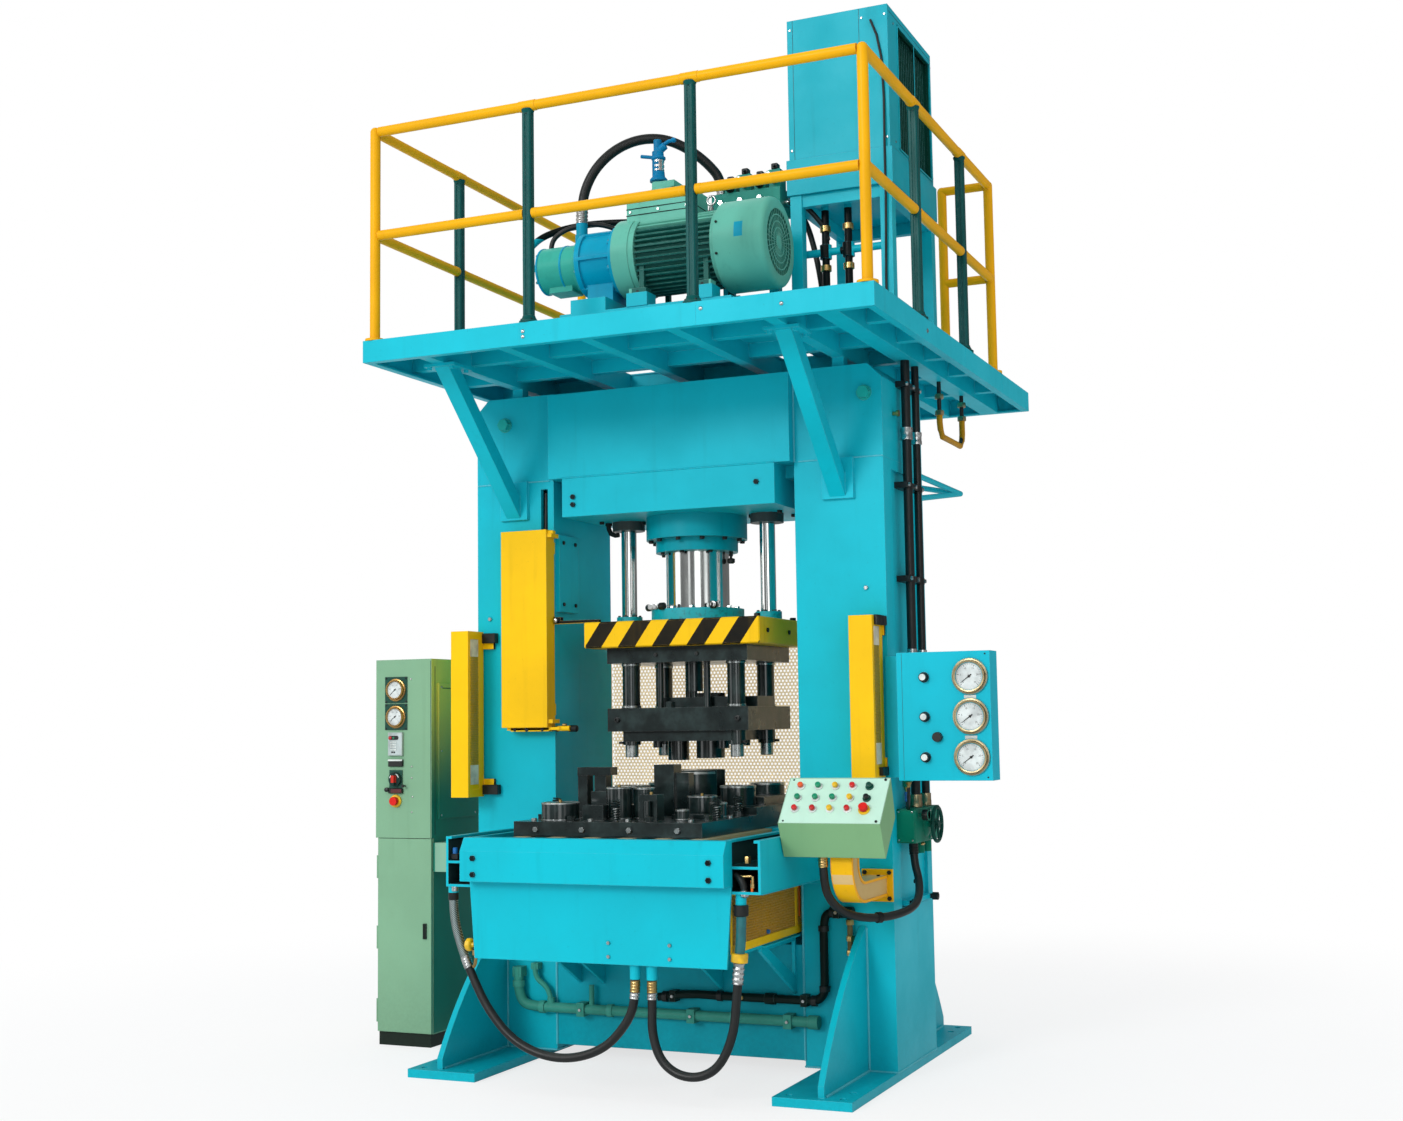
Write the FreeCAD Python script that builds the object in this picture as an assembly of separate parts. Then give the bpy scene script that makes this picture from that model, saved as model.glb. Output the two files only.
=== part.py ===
import FreeCAD, Part
import math
import os

# Hydraulic press with a moving bolster table, an overhead motor platform, a console and a cabinet.
# Millimetres. +X is the operator's right, +Y is the back, +Z is up. The origin lies on the floor,
# straight under the axis of the main cylinder, which is also the middle of the anchor holes.

V = FreeCAD.Vector
os.makedirs("parts", exist_ok=True)

# ---- driving dimensions: running gaps ----
RUN_CLEAR = 0.08          # radial gap of a shaft or rod in its bush
FREE_GAP = 0.3            # gap between fixed curved faces, and round free-moving pieces

# ---- driving dimensions: the two posts and their feet ----
POST_INNER = 665          # from the centre line to a post's inner face
POST_WIDTH = 455
POST_DEPTH = 650
POST_WALL = 30
POST_TOP = 2930
POST_CELLS = 4            # chambers between the diaphragms inside a post
FOOT_THICK = 40
FOOT_LENGTH = 1980
FOOT_WIDTH = 370
ANCHOR_R = 17
ANCHOR_INSET = 60         # end row of anchor holes, from the end of the foot plate
ANCHOR_MID_INSET = 190    # second row of anchor holes
ANCHOR_SIDE = 60          # anchor holes, from the sides of the foot plate
RECESS_DEPTH = 18
RECESS_FRONT = 200
RECESS_BACK = 250
RECESS_LOW = 780
RECESS_TOP_INSET = 50      # top of the recess, under the post's top
GUSSET_SIDE = 155         # gusset's middle plane, from the post's outer face
GUSSET_THICK = 30
GUSSET_TOP = 712
GUSSET_INSET = 40         # toe of the gusset, from the end of the foot plate
GUSSET_TOE = 50
GUSSET_BULGE = 50
SLOT_LOW = 1700           # cable slot in the left post's front wall
SLOT_TOP_INSET = 40       # top of the slot, under the post's top
SLOT_SIDE = 35
SLOT_WIDTH = 40
SWITCH_BOX = (25, 210, 400)   # box on the left post's inner face
SWITCH_BOX_LOW = 2250
CLAMP_BAR_Z = 800
CLAMP_BAR_Y = (-150, 240)
CLAMP_BAR_HALF = 12
CLAMP_BAR_REACH = 20      # past the post's outer face
BRACKET_R = 15
BRACKET_REACH = 825
BRACKET_RISE = 120
BRACKET_SPREAD = 300      # between the two feet of the pipe bracket
BRACKET_SIDE = 20         # bracket pipes, from the post's outer face

# ---- driving dimensions: crown, main cylinder, ram and guide rods ----
CROWN_FRONT = 385         # front face of the crown box, from the centre line
CROWN_RISE = 440          # top of the crown box, over the posts
CROWN_WALL = 30
EAR_RISE = 456            # top of an ear, over the posts
EAR_CORNER = 70
LOWER_BOX_HALF = 584
LOWER_BOX_DROP = 201      # underside of the lower box, under the posts' top
TIE_BOLT_X = (-950, 1032)
TIE_BOLT_RISE = 313
TIE_WASHER_R = 37.5
TIE_WASHER_THICK = 8
TIE_HEX = 55
TIE_HEAD = 25
BAND_BOLTS = ((-520, 100), (-520, 140), (490, 90))   # x, and drop under the posts' top
BAND_HEX = 24
BAND_HEAD = 12
BARREL_R = 250
CYL_FLANGE_R = 262
CYL_FLANGE_THICK = 119
GLAND_R = 213
GLAND_THICK = 65
PISTON_R = 200
PISTON_THICK = 120
CYL_CAP = 40
RAM_R = 165
RAM_RISE = 170            # top of ram and guide rods, over the posts
RAM_FLANGE_R = 240
RAM_FLANGE_THICK = 64
ROD_X = 392
ROD_R = 40
ROD_FLANGE_R = 67.5
ROD_FLANGE_THICK = 40
ROD_BORE_GAP = 6          # round a guide rod over its bush
BUSH_R = 85.5
BUSH_THICK = 49
BUSH_LENGTH = 150
TRAVEL_UP = 220           # the slide's stroke over the place shown here

# ---- driving dimensions: slide and dies ----
SLIDE_HALF = 480
SLIDE_FRONT = 358
SLIDE_BACK = 310
SLIDE_TOP = 2186
SLIDE_THICK = 132
SLIDE_EDGE = 6
DIE_HALF = 385
DIE_FRONT = 285
DIE_BACK = 300
TOP_PLATE_THICK = 79
PLATE_GAP = 227           # between the top plate and the punch plate
PUNCH_PLATE_THICK = 117
SUB_PLATE_THICK = 51
SUB_PLATE_INSET = 35
DIE_POST_X = 290
DIE_POST_Y = 200
DIE_POST_R = 45
GUIDE_PIN_R = 32.5
GUIDE_PIN_END = 1500
GUIDE_COLLAR_THICK = 69
PUNCHES = ((-120, 0, 55, 1480), (60, 0, 73, 1490))   # x, y, radius, bottom height
SMALL_PUNCHES = (         # x, y, radius, bottom height
    (-210, -60, 24, 1545), (170, -90, 30, 1540), (215, 90, 26, 1550), (-205, 110, 20, 1535),
)
SPACER_RODS = ((-120, 150, 22), (130, 160, 30), (110, -150, 18), (-140, -170, 16))   # x, y, radius
LOWER_DIE_HALF = 478
FRONT_DIE_TOP = 1226
FRONT_DIE_REACH = 1085    # front edge of the lower die, from the centre line
DIE_SPLIT = 424           # where the front and rear die plates meet
REAR_DIE_TOP = 1262
REAR_DIE_BACK = 300
BUSH_RING_R = 88
BUSH_RING_TOP = 1357
BUSH_RING_BORE_GAP = 4
DIE_RING_R = 150
DIE_RING_TOP = 1430
DIE_HOLE_GAP = 4
# low drums and blocks standing on the front die plate: x, y, radius, height
DRUMS = (
    (-290, -975, 88, 84), (-40, -860, 58, 150), (60, -800, 48, 145), (235, -520, 72, 96),
    (300, -900, 30, 50), (-380, -640, 46, 66), (370, -640, 40, 70), (150, -960, 16, 90),
)
# blocks on the front die plate: low x, high x, low y, high y, height
BLOCKS = (
    (-185, -75, -960, -900, 70), (-175, -95, -885, -800, 130), (100, 190, -940, -860, 118),
    (-330, -280, -720, -660, 200), (-240, -180, -720, -660, 200), (-350, -120, -745, -640, 26),
    (0, 105, -560, -470, 245), (105, 175, -540, -480, 205), (-120, 10, -700, -630, 60),
    (200, 420, -800, -700, 20),
)
CLAMP_BRIDGE = (-330, -150, -725, -655, 200, 238)

# ---- driving dimensions: bed and bolster table ----
BED_BOTTOM = 70
BED_TOP = 1160
WINDOW_LOW = 608
WINDOW_HIGH = 891
BED_PLATE = 30
BED_CELLS = 3
TABLE_HALF = 790
TABLE_FRONT = 1174        # front end of the table, from the centre line
CHANNEL_WIDTH = 170
CHANNEL_WALL = 12
CHANNEL_BOTTOM = 927
CHANNEL_SHELF = 1035
CHANNEL_LIP = 30
TABLE_TOP = 1159
DECK_TOP = 1138
DECK_THICK = 20
RUNNERS = 6
RUNNER_PITCH = 180
RUNNER_WIDTH = 70
RUNNER_SHIFT = 30         # middle of the runners, from the centre line
RUNNER_TOP = 1157
SHELF_TOP = 665
SHELF_BAR = (45, 15)      # width and height of the bar under a side guard
SHELF_FRONT = 1070
BRACE_X = (-530, -400, 240, 620)
BRACE_THICK = 16
BRACE_REACH = 395
BRACE_DROP = 215
BRACE_DEPTH = 55
LIP_HALF = 657
LIP_DEPTH = 98
LIP_BOTTOM = 962
LIP_CHAMFER = (37, 59)
LIP_WALL = 12
LIP_BOLT_HEX = 24
SKIRT_THICK = 12
SKIRT_INSET = 1           # of the skirt's top corners from the ends of the lip
SKIRT_BOTTOM_HALF = 630
SKIRT_BOTTOM = 606
GUARD_FACE = 640          # outer face of a side guard, from the centre line
GUARD_THICK = 8
GUARD_BACK = 200
HOSE_PLANE = 1140         # plane of the two looped hoses, from the centre line
HOSE_R = 20
HOSE_LEFT_END_X = 168
HOSE_RIGHT_END_X = 250
HOSE_END_Z = 540
HOSE_BLOCK = (110, 310, 1090, 615, 700)   # low x, high x, rear y, low z, high z
COUPLING_R = 24
LEFT_GLAND = (-770, 897)
RIGHT_GLAND = (682, 880)

# ---- driving dimensions: guards and sensors on the posts ----
REAR_GUARD_HALF = 700
REAR_GUARD_THICK = 20
REAR_GUARD_LOW = 1200
REAR_GUARD_HIGH = 2080
CURTAIN_DEPTH = (345, 500)
LEFT_CURTAIN = (-1178, -1076, 1306, 2158)
RIGHT_CURTAIN = (985, 1100, 1404, 2160)
CURTAIN_BRACKET = 60      # height of a bracket
CURTAIN_REACH = (60, 10)  # how far the brackets show past the left and the right bar
COVER_X = (-925, -660)
COVER_Z = (1658, 2668)
COVER_DEPTH = 85
COVER_STANDOFF = 10
COVER_WALL = 4

# ---- driving dimensions: motor platform, struts and rails ----
DECK_LEFT = 1219
DECK_RIGHT = 1385
DECK_FRONT = 1238
DECK_BACK = 1658
PLATFORM_RISE = 50        # rubber pads between the ears and the platform
PLATFORM_DEPTH = 108
FASCIA_WALL = 12
PLATFORM_PLATE = 8
PLATFORM_FLANGE = (28, 10)    # reach and thickness of the strip inside the lower edge
PLATFORM_PAD = 60
PAD_INSET = 60            # middle of a pad, from the post's face
HATCHES = ((-420, -50, -290, 100), (460, 640, -130, 100))   # low x, high x, low y, high y
LONG_BEAMS = (-892, -450, -20, 420, 892)
LONG_BEAM_WIDTH = 60
HOSE_BEAM = (1110, 1210)
CROSS_BEAMS = (-790, -330, 130, 590, 1130)
CROSS_BEAM_WIDTH = 50
CROSS_BEAM_RISE = 30      # underside of a cross beam, over the platform's underside
STRUT_X = 892
STRUT_SIZE = 80
STRUT_WALL = 8
STRUT_FRONT = 988
STRUT_FOOT_DROP = 130     # where a strut's axis meets its foot plate, under the posts' top
STRUT_PAD = 170
STRUT_PAD_THICK = 16
STRUT_FOOT_THICK = 20
STRUT_FOOT_LOW = 195      # lower edge of the foot plate, under the posts' top
STRUT_FOOT_HIGH = 5       # upper edge, over the posts' top
STRUT_FOOT_HALF = 80
STRUT_BOLT_HEX = 24
STRUT_BOLT_HEAD = 14
STRUT_BOLT_INSET = (22, 18)
RAIL_R = 24
RAIL_HIGH = 1050          # top rail over the deck
RAIL_MIDDLE = 528         # middle rail over the deck
RAIL_INSET = 42
POST_R = 25
GREEN_POST_SIZE = 46
FRONT_POSTS = (-320, 520)
LEFT_POSTS = (-410,)
RIGHT_POSTS = (-430, 400)
REAR_RIGHT_POST_Y = 1000
RAIL_RETURN = 260         # length of the rail's return behind the rear right post
GREEN_POST_RISE = 4       # over the top rail
POST_FLANGE_R = 48
POST_FLANGE_THICK = 12

# ---- driving dimensions: motor, bell housing, pump and manifold ----
MOTOR_Y = -600
BASE_RAIL_Y = 170         # middle of each rail of the motor base, from the motor's axis
MOTOR_RISE = 411          # motor's axis over the deck
MOTOR_R = 165
MOTOR_FIN_R = 190
MOTOR_FINS = 40
MOTOR_LENGTH = 460
MOTOR_BORE_R = 112
MOTOR_END = 20
SHAFT_R = 30
ROTOR_CORE_GAP = 2
FAN_COVER_R = 220
FAN_COVER_LENGTH = 255
FAN_COVER_WALL = 6
FAN_R = 180
FAN_SLOTS = 16
END_FLANGE_R = 200
END_FLANGE_THICK = 90
BELL_LENGTH = 220
BELL_R = 150
BELL_FLANGE_R = 180
BELL_FLANGE_THICK = 25
BELL_BORE_R = 110
PUMP_R = 116
PUMP_LENGTH = 250
PUMP_FITTING_X = -345
PUMP_FITTING_RISE = 225   # top of the pump's outlet, over the motor's axis
TERMINAL_BOX = (-40, 300, 120, 305)   # low x, high x, and heights over the motor's axis
TERMINAL_HALF = 110
BALL_VALVE_X = 80
BALL_VALVE_RISE = 595     # top of the ball valve, over the motor's axis
BASE_RISE = 191           # motor's seat over the deck
MANIFOLD_PLAN = (240, 610, -300, -150)    # low x, high x, low y, high y
MANIFOLD_RISE = 656       # manifold's underside over the deck
MANIFOLD_HIGH = 130
PRESSURE_HOSE_R = 25
RETURN_PIPE_R = 17.5

# ---- driving dimensions: oil cooler tower ----
COOLER_X = (660, 1185)
COOLER_Y = (-290, 465)
COOLER_RISE = 726         # cooler's underside over the deck
COOLER_LIP_HIGH = 180     # deeper band round the cooler's lower edge
COOLER_HIGH = 900
COOLER_LIP = 12
COOLER_WALL = 20
COOLER_WINDOW = (-130, 440, 215, 845)    # low y, high y, and heights over the cooler's underside
COOLER_FINS = 18
STAND_LEG = 60

# ---- driving dimensions: electrical cabinet ----
CABINET_LEFT = 1760       # from the centre line
CABINET_WIDTH = 348
CABINET_FRONT = 316
CABINET_DEPTH = 500
CABINET_TOP = 2030
CABINET_KICK = 69
CABINET_KICK_INSET = 15
CABINET_WALL = 15
CABINET_SEAM = 1083
SIDE_PANEL_Z = (1180, 1900)      # bottom and top of the panel on the cabinet's right side
SIDE_PANEL_INSET = 60
DOOR_THICK = 18
DOOR_GAP = 3
HINGE_R = 6
HINGE_PIN_R = 3
HINGE_Z = (180, 560, 930)
KNUCKLE = 60
CABINET_GAUGES = (1868, 1724)
GAUGE_PLATE = 140
GAUGE_RING_R = 60.5
INSTRUMENT_X = -1632
COUNTER_Z = 1580
DISPLAY_Z = 1479
SWITCH_Z = 1394
CABINET_STOP_Z = 1278
DUCT_Z = (909, 1060)
DUCT_Y = (-300, -200)

# ---- driving dimensions: gauge box, console, valve block ----
GAUGE_BOX_RIGHT = 1640    # from the centre line
GAUGE_BOX_WIDTH = 442
GAUGE_BOX_Y = (-450, -320)
GAUGE_BOX_Z = (1390, 1980)
PANEL_GAUGES = (1864, 1682, 1497)
PANEL_GAUGE_X = 1546
PANEL_GAUGE_R = 84
PANEL_KNOB_X = 1330
PANEL_KNOB_R = 24
CONSOLE_X = (794, 1268)
CONSOLE_PROFILE = ((-970, 1222), (-800, 1415), (-750, 1240), (-900, 1070))
BUTTON_COLUMNS = (0.135, 0.312, 0.482, 0.652, 0.815)
BUTTON_ROWS = (0.20, 0.457, 0.70)
BUTTON_CAP_R = 12.5
BUTTON_CAP_HIGH = 14
BUTTON_STEM_R = 9
BUTTON_STEM = 16
BEZEL_R = 17
BEZEL_HIGH = 6
STOP_CAP_R = 20
STOP_CAP_HIGH = 18
BUTTON_TRAVEL = 5
ARM_X = 1045
ARM_SIZE = 95
ARM_Z = 900
ARM_FRONT = 800
ARM_BEND_R = 90
VALVE_BLOCK = (1120, 1210, -250, 160, 1090, 1250)
WHEEL_Y = -60
WHEEL_Z = 1170
WHEEL_X = 1262
WHEEL_R = 90
WHEEL_RIM_R = 9
WHEEL_SPOKES = 5
COLUMN_HOSES = ((-60, 22.5), (110, 19))   # y and radius of each hose on the right post
COLUMN_HOSE_X = 1160
HOSE_JOINT_Z = 3040       # bottom of the couplings in those hoses
HOSE_CLAMPS = (3300, 2800, 2340, 1880, 1420)
DRAIN_LOOP = (550, 1000, 286)    # near y, far y, and drop under the platform
DRAIN_R = 11
CONDUIT_R = 19
CONDUIT_START = (960, -850, 1075)
CONDUIT_GLAND_R = 26
CONDUIT_GLAND = 70
GREEN_PIPE_R = 25
GREEN_PIPE_Z = 256
GREEN_PIPE_FEET = (-500, 100, 600)
GREEN_PIPE_END = (865, 450)    # left riser from the centre line, and its top
BLACK_PIPE_R = 20
BLACK_PIPE_Z = 355
BLACK_PIPE_TOP = 772
BRANCH_R = 13
BED_PIPE_GAP = 12         # between a bed pipe and the bed's front face

# ---- values worked out from the driving dimensions ----
post_outer = POST_INNER + POST_WIDTH
half_depth = POST_DEPTH / 2
foot_inner = post_outer - FOOT_WIDTH
foot_end = FOOT_LENGTH / 2
gusset_x = post_outer - GUSSET_SIDE
slide_bottom = SLIDE_TOP - SLIDE_THICK
top_plate_bottom = slide_bottom - TOP_PLATE_THICK
punch_plate_top = top_plate_bottom - PLATE_GAP
punch_plate_bottom = punch_plate_top - PUNCH_PLATE_THICK
sub_plate_bottom = punch_plate_bottom - SUB_PLATE_THICK
channel_inner = TABLE_HALF - CHANNEL_WIDTH
crown_top = POST_TOP + CROWN_RISE
ear_top = POST_TOP + EAR_RISE
lower_box_bottom = POST_TOP - LOWER_BOX_DROP
ram_top = POST_TOP + RAM_RISE
cyl_flange_bottom = lower_box_bottom - CYL_FLANGE_THICK
gland_bottom = cyl_flange_bottom - GLAND_THICK
platform_bottom = ear_top + PLATFORM_RISE
platform_top = platform_bottom + PLATFORM_DEPTH
rail_top = platform_top + RAIL_HIGH
rail_middle = platform_top + RAIL_MIDDLE
motor_z = platform_top + MOTOR_RISE
base_top = platform_top + BASE_RISE
pump_fitting_top = motor_z + PUMP_FITTING_RISE
manifold_low = platform_top + MANIFOLD_RISE
manifold_top = manifold_low + MANIFOLD_HIGH
cooler_bottom = platform_top + COOLER_RISE
cooler_lip_top = cooler_bottom + COOLER_LIP_HIGH
cooler_top = cooler_bottom + COOLER_HIGH
cabinet_x = (-CABINET_LEFT, CABINET_WIDTH - CABINET_LEFT)
cabinet_y = (-CABINET_FRONT, CABINET_DEPTH - CABINET_FRONT)
gauge_box_x = (GAUGE_BOX_RIGHT - GAUGE_BOX_WIDTH, GAUGE_BOX_RIGHT)


# ---- small makers ----
def box(x0, x1, y0, y1, z0, z1):
    return Part.makeBox(x1 - x0, y1 - y0, z1 - z0, V(x0, y0, z0))


def rod(radius, start, end):
    """Cylinder of one radius from one point to another."""
    way = V(*end) - V(*start)
    return Part.makeCylinder(radius, way.Length, V(*start), way)


def disc(radius, x, y, z0, z1):
    return Part.makeCylinder(radius, z1 - z0, V(x, y, z0))


def cone(r0, r1, start, end):
    way = V(*end) - V(*start)
    return Part.makeCone(r0, r1, way.Length, V(*start), way)


def plate_yz(points, x0, x1):
    """Outline in the YZ plane, carried along X."""
    corners = [V(x0, y, z) for y, z in points]
    return Part.Face(Part.makePolygon(corners + corners[:1])).extrude(V(x1 - x0, 0, 0))


def plate_xz(points, y0, y1):
    """Outline in the XZ plane, carried along Y."""
    corners = [V(x, y0, z) for x, z in points]
    return Part.Face(Part.makePolygon(corners + corners[:1])).extrude(V(0, y1 - y0, 0))


def hexagon(across, start, end):
    """Hexagonal bolt head between two points, across is its size over the flats."""
    way = V(*end) - V(*start)
    radius = across / math.sqrt(3)
    corners = []
    for k in range(6):
        angle = math.radians(60 * k)
        corners.append(V(radius * math.cos(angle), radius * math.sin(angle), 0))
    prism = Part.Face(Part.makePolygon(corners + corners[:1])).extrude(V(0, 0, way.Length))
    prism.Placement = FreeCAD.Placement(V(*start), FreeCAD.Rotation(V(0, 0, 1), way))
    return prism


def join(shapes):
    first, rest = shapes[0], shapes[1:]
    return first.fuse(rest).removeSplitter() if rest else first


def mirror_x(shape):
    return shape.mirror(V(0, 0, 0), V(1, 0, 0))


def save(node, *shapes):
    """Writes one node: its solids lie in one compound, each a closed solid of its own."""
    solids = [solid for shape in shapes for solid in shape.Solids]
    whole = solids[0] if len(solids) == 1 else Part.makeCompound(solids)
    if not whole.isValid():
        print("check the shape of", node)
    whole.exportStep("parts/" + node + ".step")


def bent_path(points):
    """Straight runs joined by tangent arcs; each arc takes 0.45 of the shorter run beside it."""
    spots = [V(*p) for p in points]
    edges = []
    radii = []
    at = spots[0]
    for before, corner, after in zip(spots, spots[1:], spots[2:]):
        back = before - corner
        ahead = after - corner
        tangent = 0.45 * min(back.Length, ahead.Length)
        turn = math.pi - back.getAngle(ahead)
        enter = corner + back.normalize() * tangent
        leave = corner + ahead.normalize() * tangent
        radius = tangent / math.tan(turn / 2)
        inward = (enter + leave) * 0.5 - corner
        middle = corner + inward.normalize() * (math.hypot(tangent, radius) - radius)
        edges.append(Part.LineSegment(at, enter).toShape())
        edges.append(Part.Arc(enter, middle, leave).toShape())
        radii.append(radius)
        at = leave
    edges.append(Part.LineSegment(at, spots[-1]).toShape())
    return Part.Wire(edges), radii


def tube(points, radius, label=None, bore=0):
    """Round bar, or pipe with a bore, along a bent path."""
    path, radii = bent_path(points)
    start = path.Edges[0]
    way = start.tangentAt(start.FirstParameter)

    def swept(r):
        ring = Part.Wire(Part.makeCircle(r, V(*points[0]), way))
        return path.makePipeShell([ring], True, False)

    solid = swept(radius)
    if label:
        ratio = solid.Volume / (math.pi * radius ** 2 * path.Length)
        print(f"{label}: length {path.Length:.0f} mm, smallest bend radius {min(radii):.0f} mm,",
              f"volume over section times length {ratio:.4f}")
    if bore:
        solid = solid.cut(swept(bore))
    return solid


# ---- posts: welded boxes on foot plates, with gussets front and back ----
def post_body():
    body = box(POST_INNER, post_outer, -half_depth, half_depth, FOOT_THICK, POST_TOP)
    cell = (POST_TOP - FOOT_THICK - POST_WALL) / POST_CELLS
    cells = []
    for k in range(POST_CELLS):
        low = FOOT_THICK + POST_WALL + k * cell
        cells.append(box(
            POST_INNER + POST_WALL, post_outer - POST_WALL,
            POST_WALL - half_depth, half_depth - POST_WALL, low, low + cell - POST_WALL,
        ))
    recess = box(post_outer - RECESS_DEPTH, post_outer + 1,
                 -RECESS_FRONT, RECESS_BACK, RECESS_LOW, POST_TOP - RECESS_TOP_INSET)
    return body.cut(cells + [recess])


def gusset(side):
    """Triangular web between the post and the foot plate, with a bulging free edge."""
    x = gusset_x - GUSSET_THICK / 2
    top = V(x, side * half_depth, GUSSET_TOP)
    toe_y = side * (foot_end - GUSSET_INSET)
    toe = V(x, toe_y, FOOT_THICK + GUSSET_TOE)
    chord = toe - top
    outward = V(0, -chord.z * side, chord.y * side).normalize()
    bulge = (top + toe) * 0.5 + outward * GUSSET_BULGE
    edge = Part.Arc(top, bulge, toe).toShape()
    corner = V(x, side * half_depth, FOOT_THICK)
    under_toe = V(x, toe_y, FOOT_THICK)
    outline = Part.Wire([edge, *(Part.LineSegment(a, b).toShape() for a, b in (
        (toe, under_toe), (under_toe, corner), (corner, top)))])
    return Part.Face(outline).extrude(V(GUSSET_THICK, 0, 0))


def anchor_holes():
    holes = []
    for x in (foot_inner + ANCHOR_SIDE, post_outer - ANCHOR_SIDE):
        for y in (ANCHOR_INSET - foot_end, foot_end - ANCHOR_INSET):
            holes.append(disc(ANCHOR_R, x, y, -1, FOOT_THICK + 1))
    for y in (ANCHOR_MID_INSET - foot_end, foot_end - ANCHOR_MID_INSET):
        holes.append(disc(ANCHOR_R, post_outer - ANCHOR_SIDE, y, -1, FOOT_THICK + 1))
    return holes


def post_base():
    """Foot plate with its anchor holes, and the gussets that stand on it."""
    foot = box(foot_inner, post_outer, -foot_end, foot_end, 0, FOOT_THICK)
    return [foot.cut(anchor_holes()), gusset(-1), gusset(1)]


def left_post():
    post = mirror_x(post_body())
    slot_x = -POST_INNER - SLOT_SIDE
    slot = box(slot_x - SLOT_WIDTH, slot_x, -half_depth - 1, POST_WALL - half_depth + 1,
               SLOT_LOW, POST_TOP - SLOT_TOP_INSET)
    thick, wide, high = SWITCH_BOX
    switch_box = box(-POST_INNER, thick - POST_INNER, 15 - half_depth, 15 - half_depth + wide,
                     SWITCH_BOX_LOW, SWITCH_BOX_LOW + high)
    return [post.cut(slot), switch_box] + [mirror_x(piece) for piece in post_base()]


def right_post():
    """Right post with a bar on its side and a welded pipe bracket at the back."""
    bar = box(post_outer - RECESS_DEPTH, post_outer + CLAMP_BAR_REACH, *CLAMP_BAR_Y,
              CLAMP_BAR_Z - CLAMP_BAR_HALF, CLAMP_BAR_Z + CLAMP_BAR_HALF)
    x = post_outer - BRACKET_SIDE
    tip_y = half_depth + BRACKET_REACH
    start_y = half_depth - BRACKET_R
    high = POST_TOP - BRACKET_R
    bracket = join([
        rod(BRACKET_R, (x, start_y, high), (x, tip_y, high)),
        rod(BRACKET_R, (x, start_y, high - BRACKET_RISE), (x, tip_y, high)),
        rod(BRACKET_R, (x - BRACKET_SPREAD, start_y, high), (x, tip_y, high)),
    ]).cut(box(POST_INNER, post_outer + 1, 0, half_depth, 0, POST_TOP + 1))
    return [post_body(), bar, bracket] + post_base()


save("left_column", *left_post())
save("right_column", *right_post())


# ---- crown: welded box over the daylight with an ear on each post ----
def crown():
    box_mid = box(-POST_INNER, POST_INNER, -CROWN_FRONT, CROWN_FRONT, POST_TOP, crown_top)
    lower = box(-LOWER_BOX_HALF, LOWER_BOX_HALF, -CROWN_FRONT, CROWN_FRONT, lower_box_bottom, POST_TOP)
    ear = plate_xz([
        (POST_INNER, POST_TOP), (post_outer, POST_TOP), (post_outer, ear_top - EAR_CORNER),
        (post_outer - EAR_CORNER, ear_top), (POST_INNER, ear_top),
    ], -half_depth, half_depth)
    ear_cell = box(POST_INNER + CROWN_WALL, post_outer - CROWN_WALL, CROWN_WALL - half_depth,
                   half_depth - CROWN_WALL, POST_TOP + CROWN_WALL, ear_top - EAR_CORNER - CROWN_WALL)
    web = box(LOWER_BOX_HALF, POST_INNER, 100 - half_depth, half_depth - 100,
              POST_TOP - 60, POST_TOP)
    cells = []
    for y0, y1 in ((CROWN_WALL - CROWN_FRONT, -CROWN_WALL / 2), (CROWN_WALL / 2, CROWN_FRONT - CROWN_WALL)):
        cells.append(box(ROD_X + BUSH_R, POST_INNER - CROWN_WALL, y0, y1,
                         POST_TOP + CROWN_WALL, crown_top - CROWN_WALL))
    half = join([ear, web]).cut([ear_cell])
    whole = join([box_mid, lower, half, mirror_x(half)])
    whole = whole.cut(cells + [mirror_x(c) for c in cells])
    bores = [disc(BARREL_R + FREE_GAP, 0, 0, lower_box_bottom - 1, crown_top + 1)]
    bushes = []
    bush_top = lower_box_bottom - BUSH_THICK + BUSH_LENGTH
    for x in (-ROD_X, ROD_X):
        bushes.append(disc(BUSH_R, x, 0, lower_box_bottom - BUSH_THICK, lower_box_bottom))
        bores.append(disc(ROD_R + RUN_CLEAR, x, 0, lower_box_bottom - BUSH_THICK - 1, bush_top))
        bores.append(disc(ROD_R + ROD_BORE_GAP, x, 0, bush_top, ram_top + TRAVEL_UP + 15))
    fasteners = []
    tie_z = POST_TOP + TIE_BOLT_RISE
    for x in TIE_BOLT_X:
        face = -half_depth
        fasteners.append(rod(TIE_WASHER_R, (x, face, tie_z), (x, face - TIE_WASHER_THICK, tie_z)))
        fasteners.append(hexagon(TIE_HEX, (x, face - TIE_WASHER_THICK, tie_z),
                                 (x, face - TIE_WASHER_THICK - TIE_HEAD, tie_z)))
    for x, drop in BAND_BOLTS:
        z = POST_TOP - drop
        fasteners.append(hexagon(BAND_HEX, (x, -CROWN_FRONT, z), (x, -CROWN_FRONT - BAND_HEAD, z)))
    return join([whole] + bushes + fasteners).cut(bores)


save("crown", crown())


# ---- main cylinder with its gland, and the chromed ram with its piston ----
barrel = join([
    disc(BARREL_R, 0, 0, lower_box_bottom, crown_top),
    disc(CYL_FLANGE_R, 0, 0, cyl_flange_bottom, lower_box_bottom),
    disc(GLAND_R, 0, 0, gland_bottom, cyl_flange_bottom),
])
chamber = disc(PISTON_R + RUN_CLEAR, 0, 0, cyl_flange_bottom, crown_top - CYL_CAP)
gland_bore = disc(RAM_R + RUN_CLEAR, 0, 0, gland_bottom - 1, cyl_flange_bottom + 1)
save("main_cylinder", barrel.cut([chamber, gland_bore]))

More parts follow.
